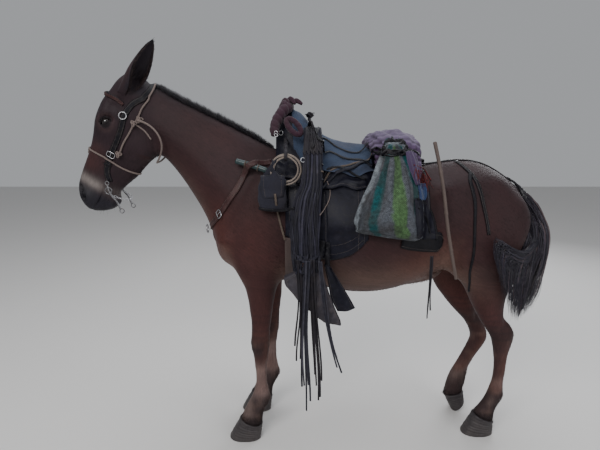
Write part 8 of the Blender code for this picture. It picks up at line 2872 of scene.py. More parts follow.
# leather ties round the roll
rows_ = rows_of(ends0 + rt + ends1, 110, roll_row)
for n_, t in enumerate(TIES):
    c, u_, v_, a, b_, p_ = rows_[int(t * 109)]
    cc, vv = np.array(c), np.array(v_)
    pts = [cc + np.array(u_) * math.cos(g) * (a - 0.008) + vv * math.sin(g) * (b_ - 0.008) for g in np.linspace(-0.35, math.pi + 0.35, 14)]
    tie = band("roll_tie_%d" % n_, pts, 0.013, 0.003, out=lambda p, cc=cc: unit(np.array([p[0] - cc[0], 0, 0]) + vv * max(0.02, np.dot(p - cc, vv))), clear=0.0006, reach=0.05)
    piece(tie, BLACKL)
tick("roll")

# ---------------------------------------------------------------- pommel: cloth wound round the fork
def wound(pitch, deep=0.10):
    return lambda s, th: 1 - deep * np.abs(np.sin((s / pitch) * math.pi + 0.5 * th)) ** 6 + 0.035 * np.sin(th * 5 + s * 90)


pa, _ = sweep("pommel_roll", [(-0.098, 0.122, 1.448), (-0.102, 0.096, 1.496), (-0.088, 0.062, 1.534), (-0.058, 0.020, 1.556), (-0.050, -0.015, 1.558),
                              (-0.068, -0.050, 1.545), (-0.094, -0.082, 1.508), (-0.107, -0.108, 1.470), (-0.106, -0.124, 1.440)],
              lambda u: 0.0238 * (1 - 0.25 * np.abs(2 * u - 1) ** 6), seg=28, step=0.0028, shape=wound(0.030))
ringp = []
for k in range(90):
    t = 2 * math.pi * k / 90
    p, q = 0.040 * math.cos(t), 0.018 * math.sin(t)
    ringp.append((-0.026 + 0.687 * p + 0.727 * q, -0.138 + 0.45 * (-0.727 * p + 0.687 * q), 1.474 - 0.727 * p + 0.687 * q))
pb, _ = sweep("pommel_loop", ringp, 0.0122, seg=22, closed=True, shape=lambda s, th: 1 - 0.10 * np.abs(np.sin(s * math.pi / 0.024 + 0.5 * th)) ** 6)
for o in (pa, pb):
    press(o, clear=0.001, thick=0.010)
    LAY.add(o)
piece(pa, WRAPC, ("pommel_wrap_front",))
piece(pb, WRAPC, ("pommel_wrap_rear",))

# knot of the cloth and its loose folds at the top of the fork
kn = []
for k, (a_, b_, c_, r_) in enumerate((((-0.078, 0.030, 1.560), (-0.064, -0.004, 1.586), (-0.048, -0.034, 1.574), 0.0125), ((-0.060, 0.020, 1.574), (-0.040, -0.010, 1.592), (-0.022, -0.038, 1.572), 0.0115),
                                       ((-0.040, -0.004, 1.572), (-0.016, -0.020, 1.584), (0.008, -0.036, 1.570), 0.0105), ((-0.088, 0.004, 1.552), (-0.070, -0.030, 1.574), (-0.060, -0.060, 1.552), 0.0125))):
    o, _ = sweep("fold", [a_, b_, c_], lambda u, r_=r_: r_ * (0.55 + 0.45 * np.sin(np.pi * np.clip(u, 0.0, 1.0))), seg=20, step=0.0028,
                 shape=lambda s, th, k=k: 1 + 0.10 * np.sin(th * 3 + s * 90 + k) + 0.06 * np.sin(th * 7 - s * 60))
    kn.append(o)
piece(merged("pommel_knot", kn), WRAPC)

# a small horn of wood behind the fork, dark thongs over it
hb = touch(307, 121)
hz = np.array([0.040, -0.020, 1.500])
horn, _ = sweep("rear_knob", [hz, hz + [0.003, 0, 0.016], hz + [0.005, 0, 0.026]], lambda u: 0.0075 + 0.003 * smooth01(u, 0.55, 0.9), seg=18, step=0.003)
tied = [horn]
for k in range(4):
    c0 = hz + np.array([0.004, -0.004, 0.020 + 0.003 * k])
    P = [c0 + [0.013 * math.cos(g + k) * (1 + 0.25 * math.sin(2 * g + k)), 0.013 * math.sin(g + k), 0.006 * math.sin(g * 2 + k * 1.7)] for g in np.linspace(0, 5.4, 18)]
    tied.append(sweep("tied", P, 0.0042, seg=10, step=0.003, flat=0.6)[0])
for k, e_ in enumerate(((-0.016, -0.020, 0.006), (0.022, -0.016, 0.012), (0.006, -0.030, -0.026))):
    tied.append(sweep("tied", [hz + [0, -0.004, 0.020], hz + np.array([0, -0.004, 0.024]) + np.array(e_) * 0.6, hz + np.array([0, -0.004, 0.020]) + np.array(e_)], 0.0046, seg=10, step=0.003, flat=0.4)[0])
horn = merged("rear_knob", tied)
piece(horn, DARKTH)

# ---------------------------------------------------------------- sack
def sack_row(q):
    z, x, a, y, b = q
    return ((x, y, z), unit(np.array([1.0, 0.0, -0.155 * min(max((1.25 - z) / 0.15, 0.0), 1.0)])), (0, 1, 0), a, b, 2.3)


top_rows = [(1.392, 0.388, 0.030, -0.178, 0.020)] + list(SACK) + [(1.038, 0.349, 0.098, -0.296, 0.008)]


def sack_ruffle(u, th):
    g = smooth01(0.75 - u, 0.0, 0.6)
    w = 0.0075 * g * np.sin(th * 11 + 2.2 * np.sin(u * 5) + 0.6) + 0.0045 * g * np.sin(th * 23 + u * 9)
    w += 0.0060 * np.sin(th * 3 + u * 11) * (1 - g) * np.sin(np.pi * np.clip(u, 0, 1))
    w += 0.0036 * np.sin(u * 40 + 2.2 * np.sin(th * 3 + 1)) * smooth01(u, 0.50, 0.85) + 0.0030 * np.sin(u * 17 + th * 5)
    return w


sk = loft("sack_bag", rows_of(top_rows, 120, sack_row), 150, sack_ruffle)
press(sk, clear=0.002, thick=0.012)
me = sk.data
w = np.zeros(len(me.vertices) * 3)
me.attributes["cloth"].data.foreach_get("vector", w)
w = w.reshape(-1, 3)
u_, th = w[:, 0], w[:, 1] * 2 * math.pi
f = 0.5 + 0.5 * np.cos(th)
wig = 0.020 * np.sin(u_ * 9)
white, teal, lime, dull = srgb(76, 80, 87), srgb(12, 68, 72), srgb(66, 92, 60), srgb(44, 46, 50)
c_ = np.tile(white, (len(u_), 1))
c_ = c_ + (dull - white) * smooth01(0.5 + 0.5 * noise3(np.stack([f * 3, u_ * 2, np.sin(th)], 1), 1.6, 2), 0.30, 0.75)[:, None]


def stripe(c0, c1, half0, half1, colour, lo=0.0, hi=1.0):
    global c_
    centre = c0 + (c1 - c0) * u_ + wig
    half = half0 + (half1 - half0) * u_
    rag = 0.012 * noise3(np.stack([f * 9, u_ * 40, np.sin(th)], 1), 1.0, 4)
    m_ = (1 - smooth01(np.abs(f - centre) - half + rag, -0.014, 0.016)) * smooth01(u_, lo - 0.03, lo) * smooth01(hi - u_, -0.02, 0.02)
    c_ = c_ * (1 - m_[:, None]) + colour * m_[:, None]


stripe(0.17, 0.345, 0.090, 0.050, teal)
stripe(0.435, 0.74, 0.050, 0.125, lime, 0.02, 0.86)
stripe(0.78, 1.02, 0.075, 0.030, teal, 0.0, 0.55)
stripe(0.98, 0.985, 0.03, 0.03, srgb(112, 118, 124))
stripe(0.02, 0.015, 0.035, 0.025, srgb(110, 116, 122))
# grime near the bottom
soil = 0.45 * smooth01(0.5 + 0.5 * noise3(np.stack([f * 5 + 3.1, u_ * 4, np.sin(th)], 1), 1.9, 3), 0.45, 0.85)
c_ = c_ * (1 - soil[:, None]) + srgb(48, 47, 46) * soil[:, None]
gr = smooth01(u_, 0.70, 0.98) * 0.35
c_ = c_ * (1 - gr[:, None]) + srgb(86, 86, 84) * gr[:, None]
give_points(sk, "mark", np.clip(c_, 0, 1))
w[:, 0] *= 0.46
w[:, 1] *= 0.62
me.attributes["cloth"].data.foreach_set("vector", w.ravel())
LAY.add(sk)
piece(sk, SACKC, ("sack",))
# the tied neck: black lashings and an open ruffle above it
neck_o = []
for k, (zz, rr_) in enumerate(((1.372, 0.046), (1.364, 0.050), (1.356, 0.052))):
    P = []
    for g in np.linspace(0, 2 * math.pi, 54, endpoint=False):
        P.append((0.386 + rr_ * math.cos(g), -0.186 + 0.034 * math.sin(g), zz + 0.004 * math.sin(2 * g + k)))
    o, _ = sweep("lash", P, 0.0036, seg=8, closed=True)
    press(o, clear=0.0004, thick=0.003)
    neck_o.append(o)
for k, px in enumerate((((371, 152), (378, 148), (386, 151), (396, 150), (406, 152), (412, 151)), ((373, 156), (382, 154), (392, 156), (402, 154), (411, 156)))):
    P = [touch(u, v, 0.006) for u, v in px]
    neck_o.append(sweep("lash", P, 0.0042, seg=10, step=0.003, flat=0.7)[0])
for k, (cu, cv) in enumerate(((376, 150), (401, 153), (385, 153))):
    c0 = np.array(touch(cu, cv, 0.010))
    P = [c0 + [0.012 * math.cos(g) * (1 + 0.3 * math.cos(2 * g + k)), 0.004 * math.sin(2 * g), 0.010 * math.sin(g + 0.4 * k)] for g in np.linspace(0, 9.0, 26)]
    neck_o.append(sweep("lash", P, 0.0046, seg=10, step=0.003)[0])
piece(merged("sack_lashing", neck_o), BLACKL)
tick("sack")

# lilac cloth, blue bag's corner and red fringe hanging behind the sack
def hung(name, corners, nu, nv, thick, folds, bulge=0.004, clear=0.003, seed=0):
    """A cloth laid flat on the side: corners in the picture, left and right edges from top to bottom."""
    L, R = np.array(corners[0], float), np.array(corners[1], float)
    a, b = np.linspace(0, 1, nv), np.linspace(0, 1, nu)
    tl, tr = np.linspace(0, 1, len(L)), np.linspace(0, 1, len(R))
    l = hermite(tl, L, a)
    r = hermite(tr, R, a)
    G = np.zeros((nv, nu, 3))
    O = np.zeros((nv, nu, 3))
    for i in range(nv):
        for j in range(nu):
            uv = l[i] * (1 - b[j]) + r[i] * b[j]
            G[i, j] = touch(uv[0], uv[1])
            O[i, j] = out_trunk(G[i, j])
    for _ in range(3):
        P = np.pad(G, ((1, 1), (1, 1), (0, 0)), mode="edge")
        G = (P[:-2, 1:-1] + P[2:, 1:-1] + P[1:-1, :-2] + P[1:-1, 2:]) / 8 + G / 2
    A, B = np.meshgrid(a, b, indexing="ij")
    h = clear + bulge * np.sin(B * math.pi) + folds * (0.5 + 0.5 * np.sin(B * math.pi * 6 + A * 3 + seed + 1.3 * np.sin(A * 5))) * (0.4 + 0.6 * A)
    outer = G + O * (h + thick)[..., None]
    inner = G + O * h[..., None]
    lu = np.concatenate([np.zeros((1, nu)), np.cumsum(np.linalg.norm(np.diff(outer, axis=0), axis=2), 0)])
    lv = np.concatenate([np.zeros((nv, 1)), np.cumsum(np.linalg.norm(np.diff(outer, axis=1), axis=2), 1)], 1)
    ob = grid_object(name, outer, inner, np.stack([lu, lv], 2))
    give_points(ob, "mark", np.tile(srgb(64, 52, 76), (len(ob.data.vertices), 1)))
    P = (outer + inner) / 2
    q = P[:-1, :-1]
    ar = 0.5 * (np.linalg.norm(np.cross(P[1:, :-1] - q, P[:-1, 1:] - q), axis=2) + np.linalg.norm(np.cross(P[1:, :-1] - P[1:, 1:], P[:-1, 1:] - P[1:, 1:]), axis=2)).sum()
    return ob, float(lu[-1].mean()), float(ar), outer


cs, cw, ca, cg = hung("cloth_hanging", [[(405, 153), (407, 164), (411, 176), (415, 186)], [(413, 152), (418, 163), (420, 175), (421, 187)]], 26, 44, 0.0022, 0.006)
LAY.add(cs)
piece(cs, ROLLC, ("cloth_side",))
bs, bw_, ba_, bg_ = hung("blue_corner", [[(417, 185), (418, 190), (419, 196), (419, 201)], [(425, 184), (427, 190), (427, 196), (425, 201)]], 18, 26, 0.0020, 0.004, seed=2)
for a_ in [bs.data.attributes["mark"]]:
    v_ = np.concatenate([np.tile(srgb(42, 58, 90), (len(bs.data.vertices), 1)), np.ones((len(bs.data.vertices), 1))], 1)
    a_.data.foreach_set("color", v_.ravel())
LAY.add(bs)
piece(bs, ROLLC)
fr_ = []
rr7 = np.random.RandomState(8)
for k in range(34):
    u0 = 416 + 13 * rr7.rand()
    v0 = 166 + 4 * rr7.rand() + (u0 - 416) * 0.8
    L_ = 8 + 8 * rr7.rand()
    P = [touch(u0, v0, 0.003), touch(u0 + 1.2 * rr7.randn() + 1, v0 + L_ * 0.5, 0.0045), touch(u0 + 1.5 * rr7.randn() + 2, v0 + L_, 0.0040)]
    o, _ = sweep("fr", P, lambda u: 0.0011 * (1 - 0.5 * u), seg=5, step=0.006)
    fr_.append(o)
P = [touch(414, 165, 0.004), touch(420, 167, 0.005), touch(426, 172, 0.005), touch(431, 180, 0.005)]
o, _ = sweep("fr", P, 0.0026, seg=8, step=0.003, shape=strand3(0.02))
fr_.append(o)
REDF = plain("red_fringe", srgb(88, 34, 34), 0.9, 300.0, 0.0003, 0.2)
piece(merged("red_fringe", fr_), REDF)
tick("cloths behind")


# ---------------------------------------------------------------- stirrup hoods and flap
def hood(name, s):
    m = np.array(HOOD)
    n = 44
    t = np.concatenate([[0], np.cumsum(np.linalg.norm(np.diff(np.vstack([m, m[:1]]), axis=0), axis=1))])
    per = []
    M = np.vstack([m, m[:1]])
    for q in np.linspace(0, t[-1], n * 4, endpoint=False):
        i = min(np.searchsorted(t, q, side="right") - 1, len(m) - 1)
        k = (q - t[i]) / (t[i + 1] - t[i])
        per.append(M[i] * (1 - k) + M[i + 1] * k)
    per = np.array(per)
    for _ in range(4):
        per = (np.roll(per, 1, 0) + 2 * per + np.roll(per, -1, 0)) / 4
    c = per.mean(0)
    rings = []
    for y, k in ((-1, 0.0), (-1, 0.35), (-1, 0.7), (-1, 0.93), (-0.92, 0.985), (-0.70, 1.0), (-0.3, 1.0), (0.3, 1.0), (0.7, 1.0), (0.92, 0.985), (1, 0.93), (1, 0.7), (1, 0.35), (1, 0.0)):
        P = c + (per - c) * max(k, 0.02)
        thin = 1 - 0.45 * smooth01(P[:, 1], 0.84, 0.93)
        yy = s * (0.300 + np.sign(1) * y * -1 * 0.027 * thin * -1) if False else s * 0.300 + y * 0.027 * thin + s * 0.0065 * (1 - k ** 2) * (1 if y * s > 0 else -0.3)
        rings.append(np.stack([P[:, 0], yy, P[:, 1]], 1))
    R = np.array(rings)
    seg = R.shape[1]
    F = []
    for i in range(len(R) - 1):
        for j in range(seg):
            k = (j + 1) % seg
            F.append((i * seg + j, i * seg + k, (i + 1) * seg + k, (i + 1) * seg + j))
    F.append(tuple(range(seg - 1, -1, -1)))
    F.append(tuple((len(R) - 1) * seg + j for j in range(seg)))
    ob = mesh_object(name, R.reshape(-1, 3), F, WORK)
    clean(ob)
    g = block((0.150, 0.040, 0.114), (0.119, s * 0.300, 0.735), (0, math.radians(38), 0))
    boolean(ob, g)
    drop(g)
    keep_largest(ob)
    remesh(ob, 0.0034)
    nt = Net(ob.data)
    nt.smooth(3)
    p = nt.p
    rel = p - np.array([0.06, s * 0.30, 0.80])
    dent = 0.0022 * noise3(p, 13, 3) + 0.0008 * noise3(p, 40, 4)
    crease = -0.0030 * np.exp(-((rel[:, 0] - 0.35 * rel[:, 2] - 0.004) / 0.007) ** 2) * smooth01(np.abs(rel[:, 1]), 0.016, 0.024)
    nt.p = p + nt.normals() * (dent + crease)[:, None]
    nt.put(ob.data)
    # stitched rim lines
    out_s = np.array([0, s, 0])
    for k in (0.90,):
        P = c + (per - c) * k
        thin = 1 - 0.45 * smooth01(P[:, 1], 0.84, 0.93)
        L = np.stack([P[:, 0], s * 0.300 + s * 0.027 * thin + s * 0.0055, P[:, 1]], 1)
        tr = BVHTree.FromPolygons([Vector(v) for v in nt.p], [tuple(int(i) for i in q) for q in nt.t])
        run = []
        for q in np.vstack([L, L[:1]]):
            h = tr.ray_cast(Vector(q) + Vector(out_s) * 0.05, -Vector(out_s), 0.09)
            if h[0] is None or abs(h[0][1] - q[1]) > 0.012:
                if len(run) > 4:
                    THREADS.append((np.array(run), np.tile(out_s, (len(run), 1))))
                run = []
            else:
                run.append(tuple(np.array(h[0])))
        if len(run) > 4:
            THREADS.append((np.array(run), np.tile(out_s, (len(run), 1))))
    return ob


hl = hood("hood_left", -1)
hr = hood("hood_right", 1)
for o, nm in ((hl, "left"), (hr, "right")):
    LAY.add(o)
    piece(o, HOODL, ("stirrup_hood_" + nm,))
# wooden treads and the loops the leathers pass through
def from_skirt(x, s, *zs):
    """Places on the saddle's side where a strap starts, and one just off the last."""
    run = []
    for z in zs:
        q = LAY.meet((x, 0.0, z), (0.0, s, 0.0), 0.60)
        run.append((x, s * ((0.225 if q is None else min(abs(q[1]), 0.262)) + 0.003), z))
    run.append((x - 0.003, s * (abs(run[-1][1]) + 0.022), zs[-1] - 0.016))
    return run


tr_ = []
for s in (-1, 1):
    o, _ = sweep("tread", [(0.060, s * 0.300, 0.706), (0.150, s * 0.300, 0.700)], 0.010, seg=14, step=0.01, flat=0.5)
    tr_.append(o)
    o = band("hood_loop", from_skirt(0.092, s, 1.012, 0.984) + [(0.082, s * 0.286, 0.958), (0.066, s * 0.312, 0.935), (0.062, s * 0.330, 0.905)], 0.026, 0.0035, out=lambda p: np.array([0.0, 1.0 if p[1] > 0 else -1.0, 0.6]), free=True, keep=False)
    tr_.append(o)
o = band("flap_strap", from_skirt(0.116, -1, 1.004, 0.975) + [(0.114, -0.2625, 0.930), (0.115, -0.2680, 0.885)], 0.020, 0.0030, out=lambda p: np.array([0.0, -1.0, 0.5]), free=True, keep=False)
tr_.append(o)
o, _ = sweep("far_button", [(0.020, 0.322, 0.864), (0.020, 0.337, 0.864), (0.020, 0.352, 0.864)], lambda u: 0.0135 - 0.003 * u, seg=16, step=0.004)
tr_.append(o)
piece(merged("stirrup_treads", tr_), BLACKL)

left = hermite(np.array([0, 0.45, 0.72, 1.0]), np.array([(0.100, 0.915), (0.116, 0.845), (0.130, 0.770), (0.160, 0.706)]), np.linspace(0, 1, 40))
right = hermite(np.array([0, 0.5, 1.0]), np.array([(0.128, 0.905), (0.205, 0.775), (0.236, 0.716)]), np.linspace(0, 1, 40))
G = np.zeros((40, 22, 3))
for i in range(40):
    for j in range(22):
        b = j / 21
        x, z = left[i] * (1 - b) + right[i] * b
        z -= 0.006 * math.sin(b * math.pi) * (i / 39)
        G[i, j] = (x, -0.2645 - 0.006 * math.sin(i / 39 * 2.6 + b * 2) - 0.003 * math.sin(b * 7 + i * 0.1), z)
o_ = np.array([0, -1.0, 0])
uvg = np.stack([G[..., 0], G[..., 2]], 2)
fl = grid_object("fender_flap", G + o_ * 0.002, G - o_ * 0.002, uvg)
LAY.add(fl)
piece(fl, SADDLE, ("stirrup_flap",))
THREADS += [(G[2:-2, 2] + o_ * 0.002, np.tile(o_, (36, 1))), (G[2:-2, -3] + o_ * 0.002, np.tile(o_, (36, 1)))]
tick("hoods")

# ---------------------------------------------------------------- coil of rope
maj = COIL[3]
turns = 3.75
n_ = 620
t = np.linspace(0, turns, n_)
lay4 = np.array([(-0.0058, -0.0046), (0.0058, -0.0046), (0.0056, 0.0046), (-0.0056, 0.0046), (-0.0056, 0.0046)])
dr = np.interp(t, [0, 0.9, 1.1, 1.9, 2.1, 2.9, 3.1, 4], [lay4[0][0]] * 2 + [lay4[1][0]] * 2 + [lay4[2][0]] * 2 + [lay4[3][0]] * 2)
dy = np.interp(t, [0, 0.9, 1.1, 1.9, 2.1, 2.9, 3.1, 4], [lay4[0][1]] * 2 + [lay4[1][1]] * 2 + [lay4[2][1]] * 2 + [lay4[3][1]] * 2)
a = math.pi / 2 + 2 * math.pi * t
r_ = maj + dr
coil_path = np.stack([COIL[0] + r_ * np.cos(a), COIL[1] + dy - 0.10 * r_ * np.sin(a), COIL[2] + r_ * np.sin(a)], 1)
coil, cp = sweep("rope_hank", coil_path, 0.0042, seg=12, smooth_path=False, shape=strand3(0.032, 0.20))
LAY.add(coil)
piece(coil, ROPEM, ("rope_coil",))
cp = cp + SHIFT
tuple(cp[0])
float(np.linalg.norm(np.diff(cp, axis=0), axis=1).sum())
[tuple(q) for q in cp]
print("coil length %.3f" % np.linalg.norm(np.diff(cp, axis=0), axis=1).sum())
# leather loop that holds it
top = np.array([COIL[0], COIL[1], COIL[2] + maj])
L0 = np.array(touch(285, 138, 0.004))
o1 = sweep("coil_loop", [L0, L0 * 0.5 + top * 0.5 + [0.004, -0.018, 0.006], top + [0.0, -0.0185, 0.006], top + [0, -0.017, -0.012], top + [0, 0.000, -0.0195], top + [0, 0.0145, -0.006], top + [0, 0.010, 0.022], L0 + [0.010, 0.010, -0.01]],
           0.0065, seg=12, step=0.003, flat=0.24, face=(0, -1, 0))[0]
piece(o1, DARKTH)
tick("coil")

# ---------------------------------------------------------------- bundle of thongs over the skirt
BR = [(1.470, 0.050, -0.120, 0.034, 0.012), (1.430, 0.052, -0.160, 0.036, 0.014), (1.340, 0.050, -0.208, 0.037, 0.015), (1.250, 0.046, -0.240, 0.040, 0.015),
      (1.190, 0.030, -0.262, 0.050, 0.014), (1.100, 0.018, -0.284, 0.058, 0.013), (1.020, 0.020, -0.303, 0.058, 0.012), (0.952, 0.024, -0.314, 0.056, 0.010)]
core = loft("bundle_core", rows_of(BR, 70, lambda q: ((q[1], q[2], q[0]), (1, 0, 0), unit(np.array([0, 1, 0.15])), q[3] * 0.93, q[4] * 0.62, 2.4)), 40)
press(core, clear=0.001, thick=0.004)
bt = np.array(BR)
strips = []
rb = np.random.RandomState(12)
side_o = lambda p: unit(np.array([0.0, -1.0, 0.25]))
for k in range(36):
    f0 = -0.96 + 1.92 * (k + 0.5) / 36 + 0.03 * rb.randn()
    q0 = rb.choice([0.0, 0.0, 0.03])
    q1 = 1.0 - 0.05 * rb.rand()
    qs = np.linspace(q0, q1, 110)
    T = hermite(np.linspace(0, 1, len(bt)), bt, qs)
    ff = f0 + 0.10 * np.sin(qs * (3 + 3 * rb.rand()) + rb.rand() * 6) + 0.05 * np.sin(qs * 14 + rb.rand() * 6)
    ff = np.clip(ff, -1.0, 1.0)
    deep = rb.rand() * 0.004 + (0.003 if k % 3 == 0 else 0.0)
    P = np.stack([T[:, 1] + T[:, 3] * ff, T[:, 2] - T[:, 4] * np.sqrt(np.maximum(1 - ff ** 2, 0.0)) * 0.9 - 0.0015 - deep, T[:, 0]], 1)
    wd = 0.0036 + 0.0034 * rb.rand()
    e_ = np.linspace(0, 1, 9)[1:, None]
    down_ = 0.010 + 0.062 * rb.rand()
    P = np.concatenate([P, P[-1] + e_ * np.array([0.010 * rb.randn() - (P[-1][0] - 0.030) * 0.25, 0.0, -down_]) + np.array([0, 1.0, 0]) * (-0.3455 - 0.004 * rb.rand() - P[-1][1]) * np.sqrt(e_)])
    st, _ = sweep("strip", P, wd, seg=8, step=0.008, flat=0.24, face=(0.22 * rb.randn(), -1, 0.1), turn=lambda u, ph=rb.rand() * 6: 0.5 * np.sin(u * 5 + ph))
    tone = (0.42, 0.8, 0.55, 1.25, 0.36, 0.7)[rb.randint(6)] * (0.85 + 0.3 * rb.rand())
    give_points(st, "mark", np.tile(np.array([tone, tone, tone * (0.96 + 0.12 * rb.rand())]), (len(st.data.vertices), 1)))
    strips.append(st)
bs_ = merged("thong_strips", strips)
press(bs_, clear=0.0015, thick=0.002)
LAY.add(core)
LAY.add(bs_)
piece(core, DARKTH, ("thong_bundle",))
piece(bs_, TONETH)
# thongs over the top of the seat and round the fork
over = []
for k in range(15):
    q = k / 14
    P = [touch(303.5 + 20 * q, 153 + 2 * math.sin(k * 2.1), 0.003), touch(304.5 + 16.5 * q, 144, 0.0035 + 0.002 * (k % 2)), touch(306 + 11 * q, 134.5, 0.0035 + 0.003 * (k % 2)),
         touch(308 + 5.5 * q, 126.5, 0.004 + 0.003 * (k % 2)), touch(309.5 + 2.0 * q, 121, 0.004)]
    st, _ = sweep("over", P, 0.0036, seg=8, step=0.004, flat=0.35, face=(0, -0.8, 0.5))
    over.append(st)
ov = merged("seat_thongs", over)
press(ov, clear=0.0008, thick=0.003)
piece(ov, DARKTH)
tick("bundle")


# free thongs below it, each a cord of its own
def hang_thong(name, pts, width, thick, mat, replaces=(), turns_=0.6, phase=0.0, face=(0, -1, 0), exit_=None, out_path=False):
    P = smooth_route(pts, 0.006)
    ob, cpth = sweep(name, P, width / 2, seg=8, smooth_path=False, flat=thick / width, face=face, turn=lambda u: turns_ * np.sin(u * 4.2 + phase) * smooth01(u, 0, 0.2))
    piece(ob, mat, replaces)
    c_ = cpth + SHIFT
    tuple(c_[0])
    [tuple(q) for q in c_]
    return ob


rt_ = np.random.RandomState(31)
for i, (x0, z0, x1, z1, wb) in enumerate(((-0.006, 0.957, -0.006, 0.520, 0.022), (0.024, 0.955, 0.026, 0.290, 0.026), (0.052, 0.958, 0.078, 0.330, 0.026), (0.076, 0.954, 0.175, 0.470, 0.018))):
    ya, yb = -0.346 - 0.013 * (i % 2), -0.343 - 0.013 * (i % 2)
    m_ = (3, 5, 5, 3)[i]
    for k in range(m_):
        off = ((k + 0.5) / m_ - 0.5) * (wb - 0.004)
        u = np.linspace(0, 1, 14)
        short = 1.0 if k == m_ // 2 else 0.80 + 0.19 * rt_.rand()
        uu = u * short
        ph = rt_.rand() * 6
        x = x0 + (x1 - x0) * uu ** 1.6 + 0.006 * np.sin(5 * uu + 90 * x0) + off * (1 + 0.6 * uu) + 0.0040 * np.sin(uu * 7 + ph) * u
        y = ya + (yb - ya) * uu + 0.004 * np.sin(4 * uu + 70 * x1) + (0.0046, -0.0020, 0.0013)[k % 3] + 0.002 * np.sin(uu * 6 + ph) * u
        z = z0 + (z1 - z0) * uu
        hang_thong("thong_%d_%d" % (i + 1, k + 1), np.stack([x, y, z], 1), 0.0078, 0.0022, (DARKTH, THONGL, DARKTH, PALETH)[(i + 2 * k) % 4],
                   ("thong_near_%d" % (i + 1),) if k == m_ // 2 else (), phase=ph)
for k in range(4):
    off = ((k + 0.5) / 4 - 0.5) * 0.018
    u = np.linspace(0, 1, 12)
    uu = u * (1.0 if k == 1 else 0.82 + 0.15 * rt_.rand())
    ph = rt_.rand() * 6
    P = np.stack([0.020 + 0.010 * uu ** 1.6 + off * (1 + 0.5 * uu) + 0.004 * np.sin(uu * 6 + ph) * u, 0.345 - 0.007 * uu + (0.0035 if k % 2 else -0.002) + 0.002 * np.sin(uu * 5 + ph), 0.860 - 0.460 * uu], 1)
    hang_thong("thong_far_%d" % (k + 1), P, 0.0070, 0.0022, DARKTH, ("thong_far",) if k == 1 else (), face=(0, 1, 0), phase=ph)
for k in range(2):
    u = np.linspace(0, 1, 12)
    uu = u * (1.0 if k == 0 else 0.86)
    P = np.stack([0.5375 + 0.007 * k + 0.005 * uu + 0.004 * np.sin(uu * 5 + k * 2) * u, -0.285 + 0.005 * uu - 0.003 * k + 0.003 * np.sin(uu * 4 + k), 0.955 - 0.275 * uu], 1)
    hang_thong("thong_rear_%d" % (k + 1), P, 0.0070, 0.0024, DARKTH, ("rear_thong",) if k == 0 else (), phase=k * 2.0)
tick("thongs")

# ---------------------------------------------------------------- ties from the bundle to the roll
def pix_band(name, px, width, thick, mat, slot, **kw):
    pts = [touch(u, v) for u, v in px]
    o = band(name, pts, width, thick, **kw)
    return piece(o, mat)


pix_band("tie_a", [(321, 173), (334, 169), (348, 166), (360, 162), (373, 155)], 0.009, 0.003, TANL, "tan_leather")
pix_band("tie_b", [(320, 167), (332, 168), (345, 170), (356, 176), (366, 180)], 0.010, 0.003, BLACKL, "black_leather")
pix_band("tie_c", [(321, 181), (334, 176), (350, 170), (364, 163), (376, 157)], 0.015, 0.004, SADDLE, "saddle_leather")
pix_band("tie_d", [(313, 129), (319, 141), (329, 152), (345, 159), (360, 160), (372, 156)], 0.011, 0.003, BLACKL, "black_leather")
pix_band("tie_e", [(316, 127), (325, 139), (338, 148), (352, 153), (368, 152)], 0.009, 0.003, BLACKL, "black_leather")
P = [touch(u, v, 0.004) for u, v in ((327, 181), (330, 190), (329, 200), (325, 208), (320, 215))]
hang_thong("white_string", P, 0.0042, 0.0040, HALTM, turns_=0.0)
for k, (u0, v0) in enumerate(((303, 160),)):
    o = torus("ringlet", touch(u0, v0, 0.004), (0.1, -1, 0.3), 0.009, 0.0018)
    METALS.append(o)

# metal at the fork: ring and buckle
METALS.append(torus("fork_ring", touch(281, 133, 0.005), (-0.3, -1, 0.2), 0.0095, 0.0018))
METALS += buckle(touch(276, 134, 0.004), (1, 0, 0.1), (0, -1, 0.4), 0.015, 0.0014)

# ---------------------------------------------------------------- pouch and short tube before the skirt
pr = [((-0.118, -0.172, 1.262), (1, 0, 0), unit(np.array([0, 1, 0.25])), 0.048, 0.008, 2.6), ((-0.117, -0.186, 1.230), (1, 0, 0), unit(np.array([0, 1, 0.25])), 0.057, 0.017, 2.6),
      ((-0.114, -0.200, 1.185), (1, 0, 0), unit(np.array([0, 1, 0.25])), 0.060, 0.021, 2.6), ((-0.112, -0.206, 1.140), (1, 0, 0), unit(np.array([0, 1, 0.25])), 0.059, 0.016, 2.6)]
PT = np.array([list(c) + [a, b] for c, u_, v_, a, b, p_ in pr])
po = loft("pouch_bag", rows_of(PT, 46, lambda q: ((q[0], q[1], q[2]), (1, 0, 0), unit(np.array([0, 1, 0.25])), q[3], q[4], 2.8)), 70,
          lambda u, th: 0.0016 * np.sin(u * 15 + 3 * np.cos(th)) + 0.0016 * np.sin(th * 5 + u * 7))
press(po, clear=0.002, thick=0.010)
LAY.add(po)
piece(po, POUCHC, ("pouch",))
P = [(-0.171, -0.212, 1.142), (-0.140, -0.224, 1.137), (-0.112, -0.227, 1.136), (-0.080, -0.226, 1.137), (-0.053, -0.214, 1.142)]
piece(band("pouch_edge", P, 0.012, 0.003, out=lambda p: np.array([0.0, -1.0, 0.1])), BLACKL)
o = band("pouch_flap", [(-0.113, -0.19, 1.262), (-0.113, -0.225, 1.240), (-0.112, -0.235, 1.215), (-0.110, -0.24, 1.190)], lambda u: 0.100 * (1 - 0.18 * u ** 3), 0.0026, out=lambda p: unit(np.array([0.0, -1.0, 0.35])), across=9)
THREADS += edge_lines("pouch_flap")
piece(o, POUCHC)
P = [touch(275, 194, 0.004), touch(276, 203, 0.006), touch(278, 214, 0.005), touch(281, 226, 0.005), touch(285, 240, 0.004)]
hang_thong("pouch_strap", P, 0.0095, 0.0028, TANL, turns_=0.3)
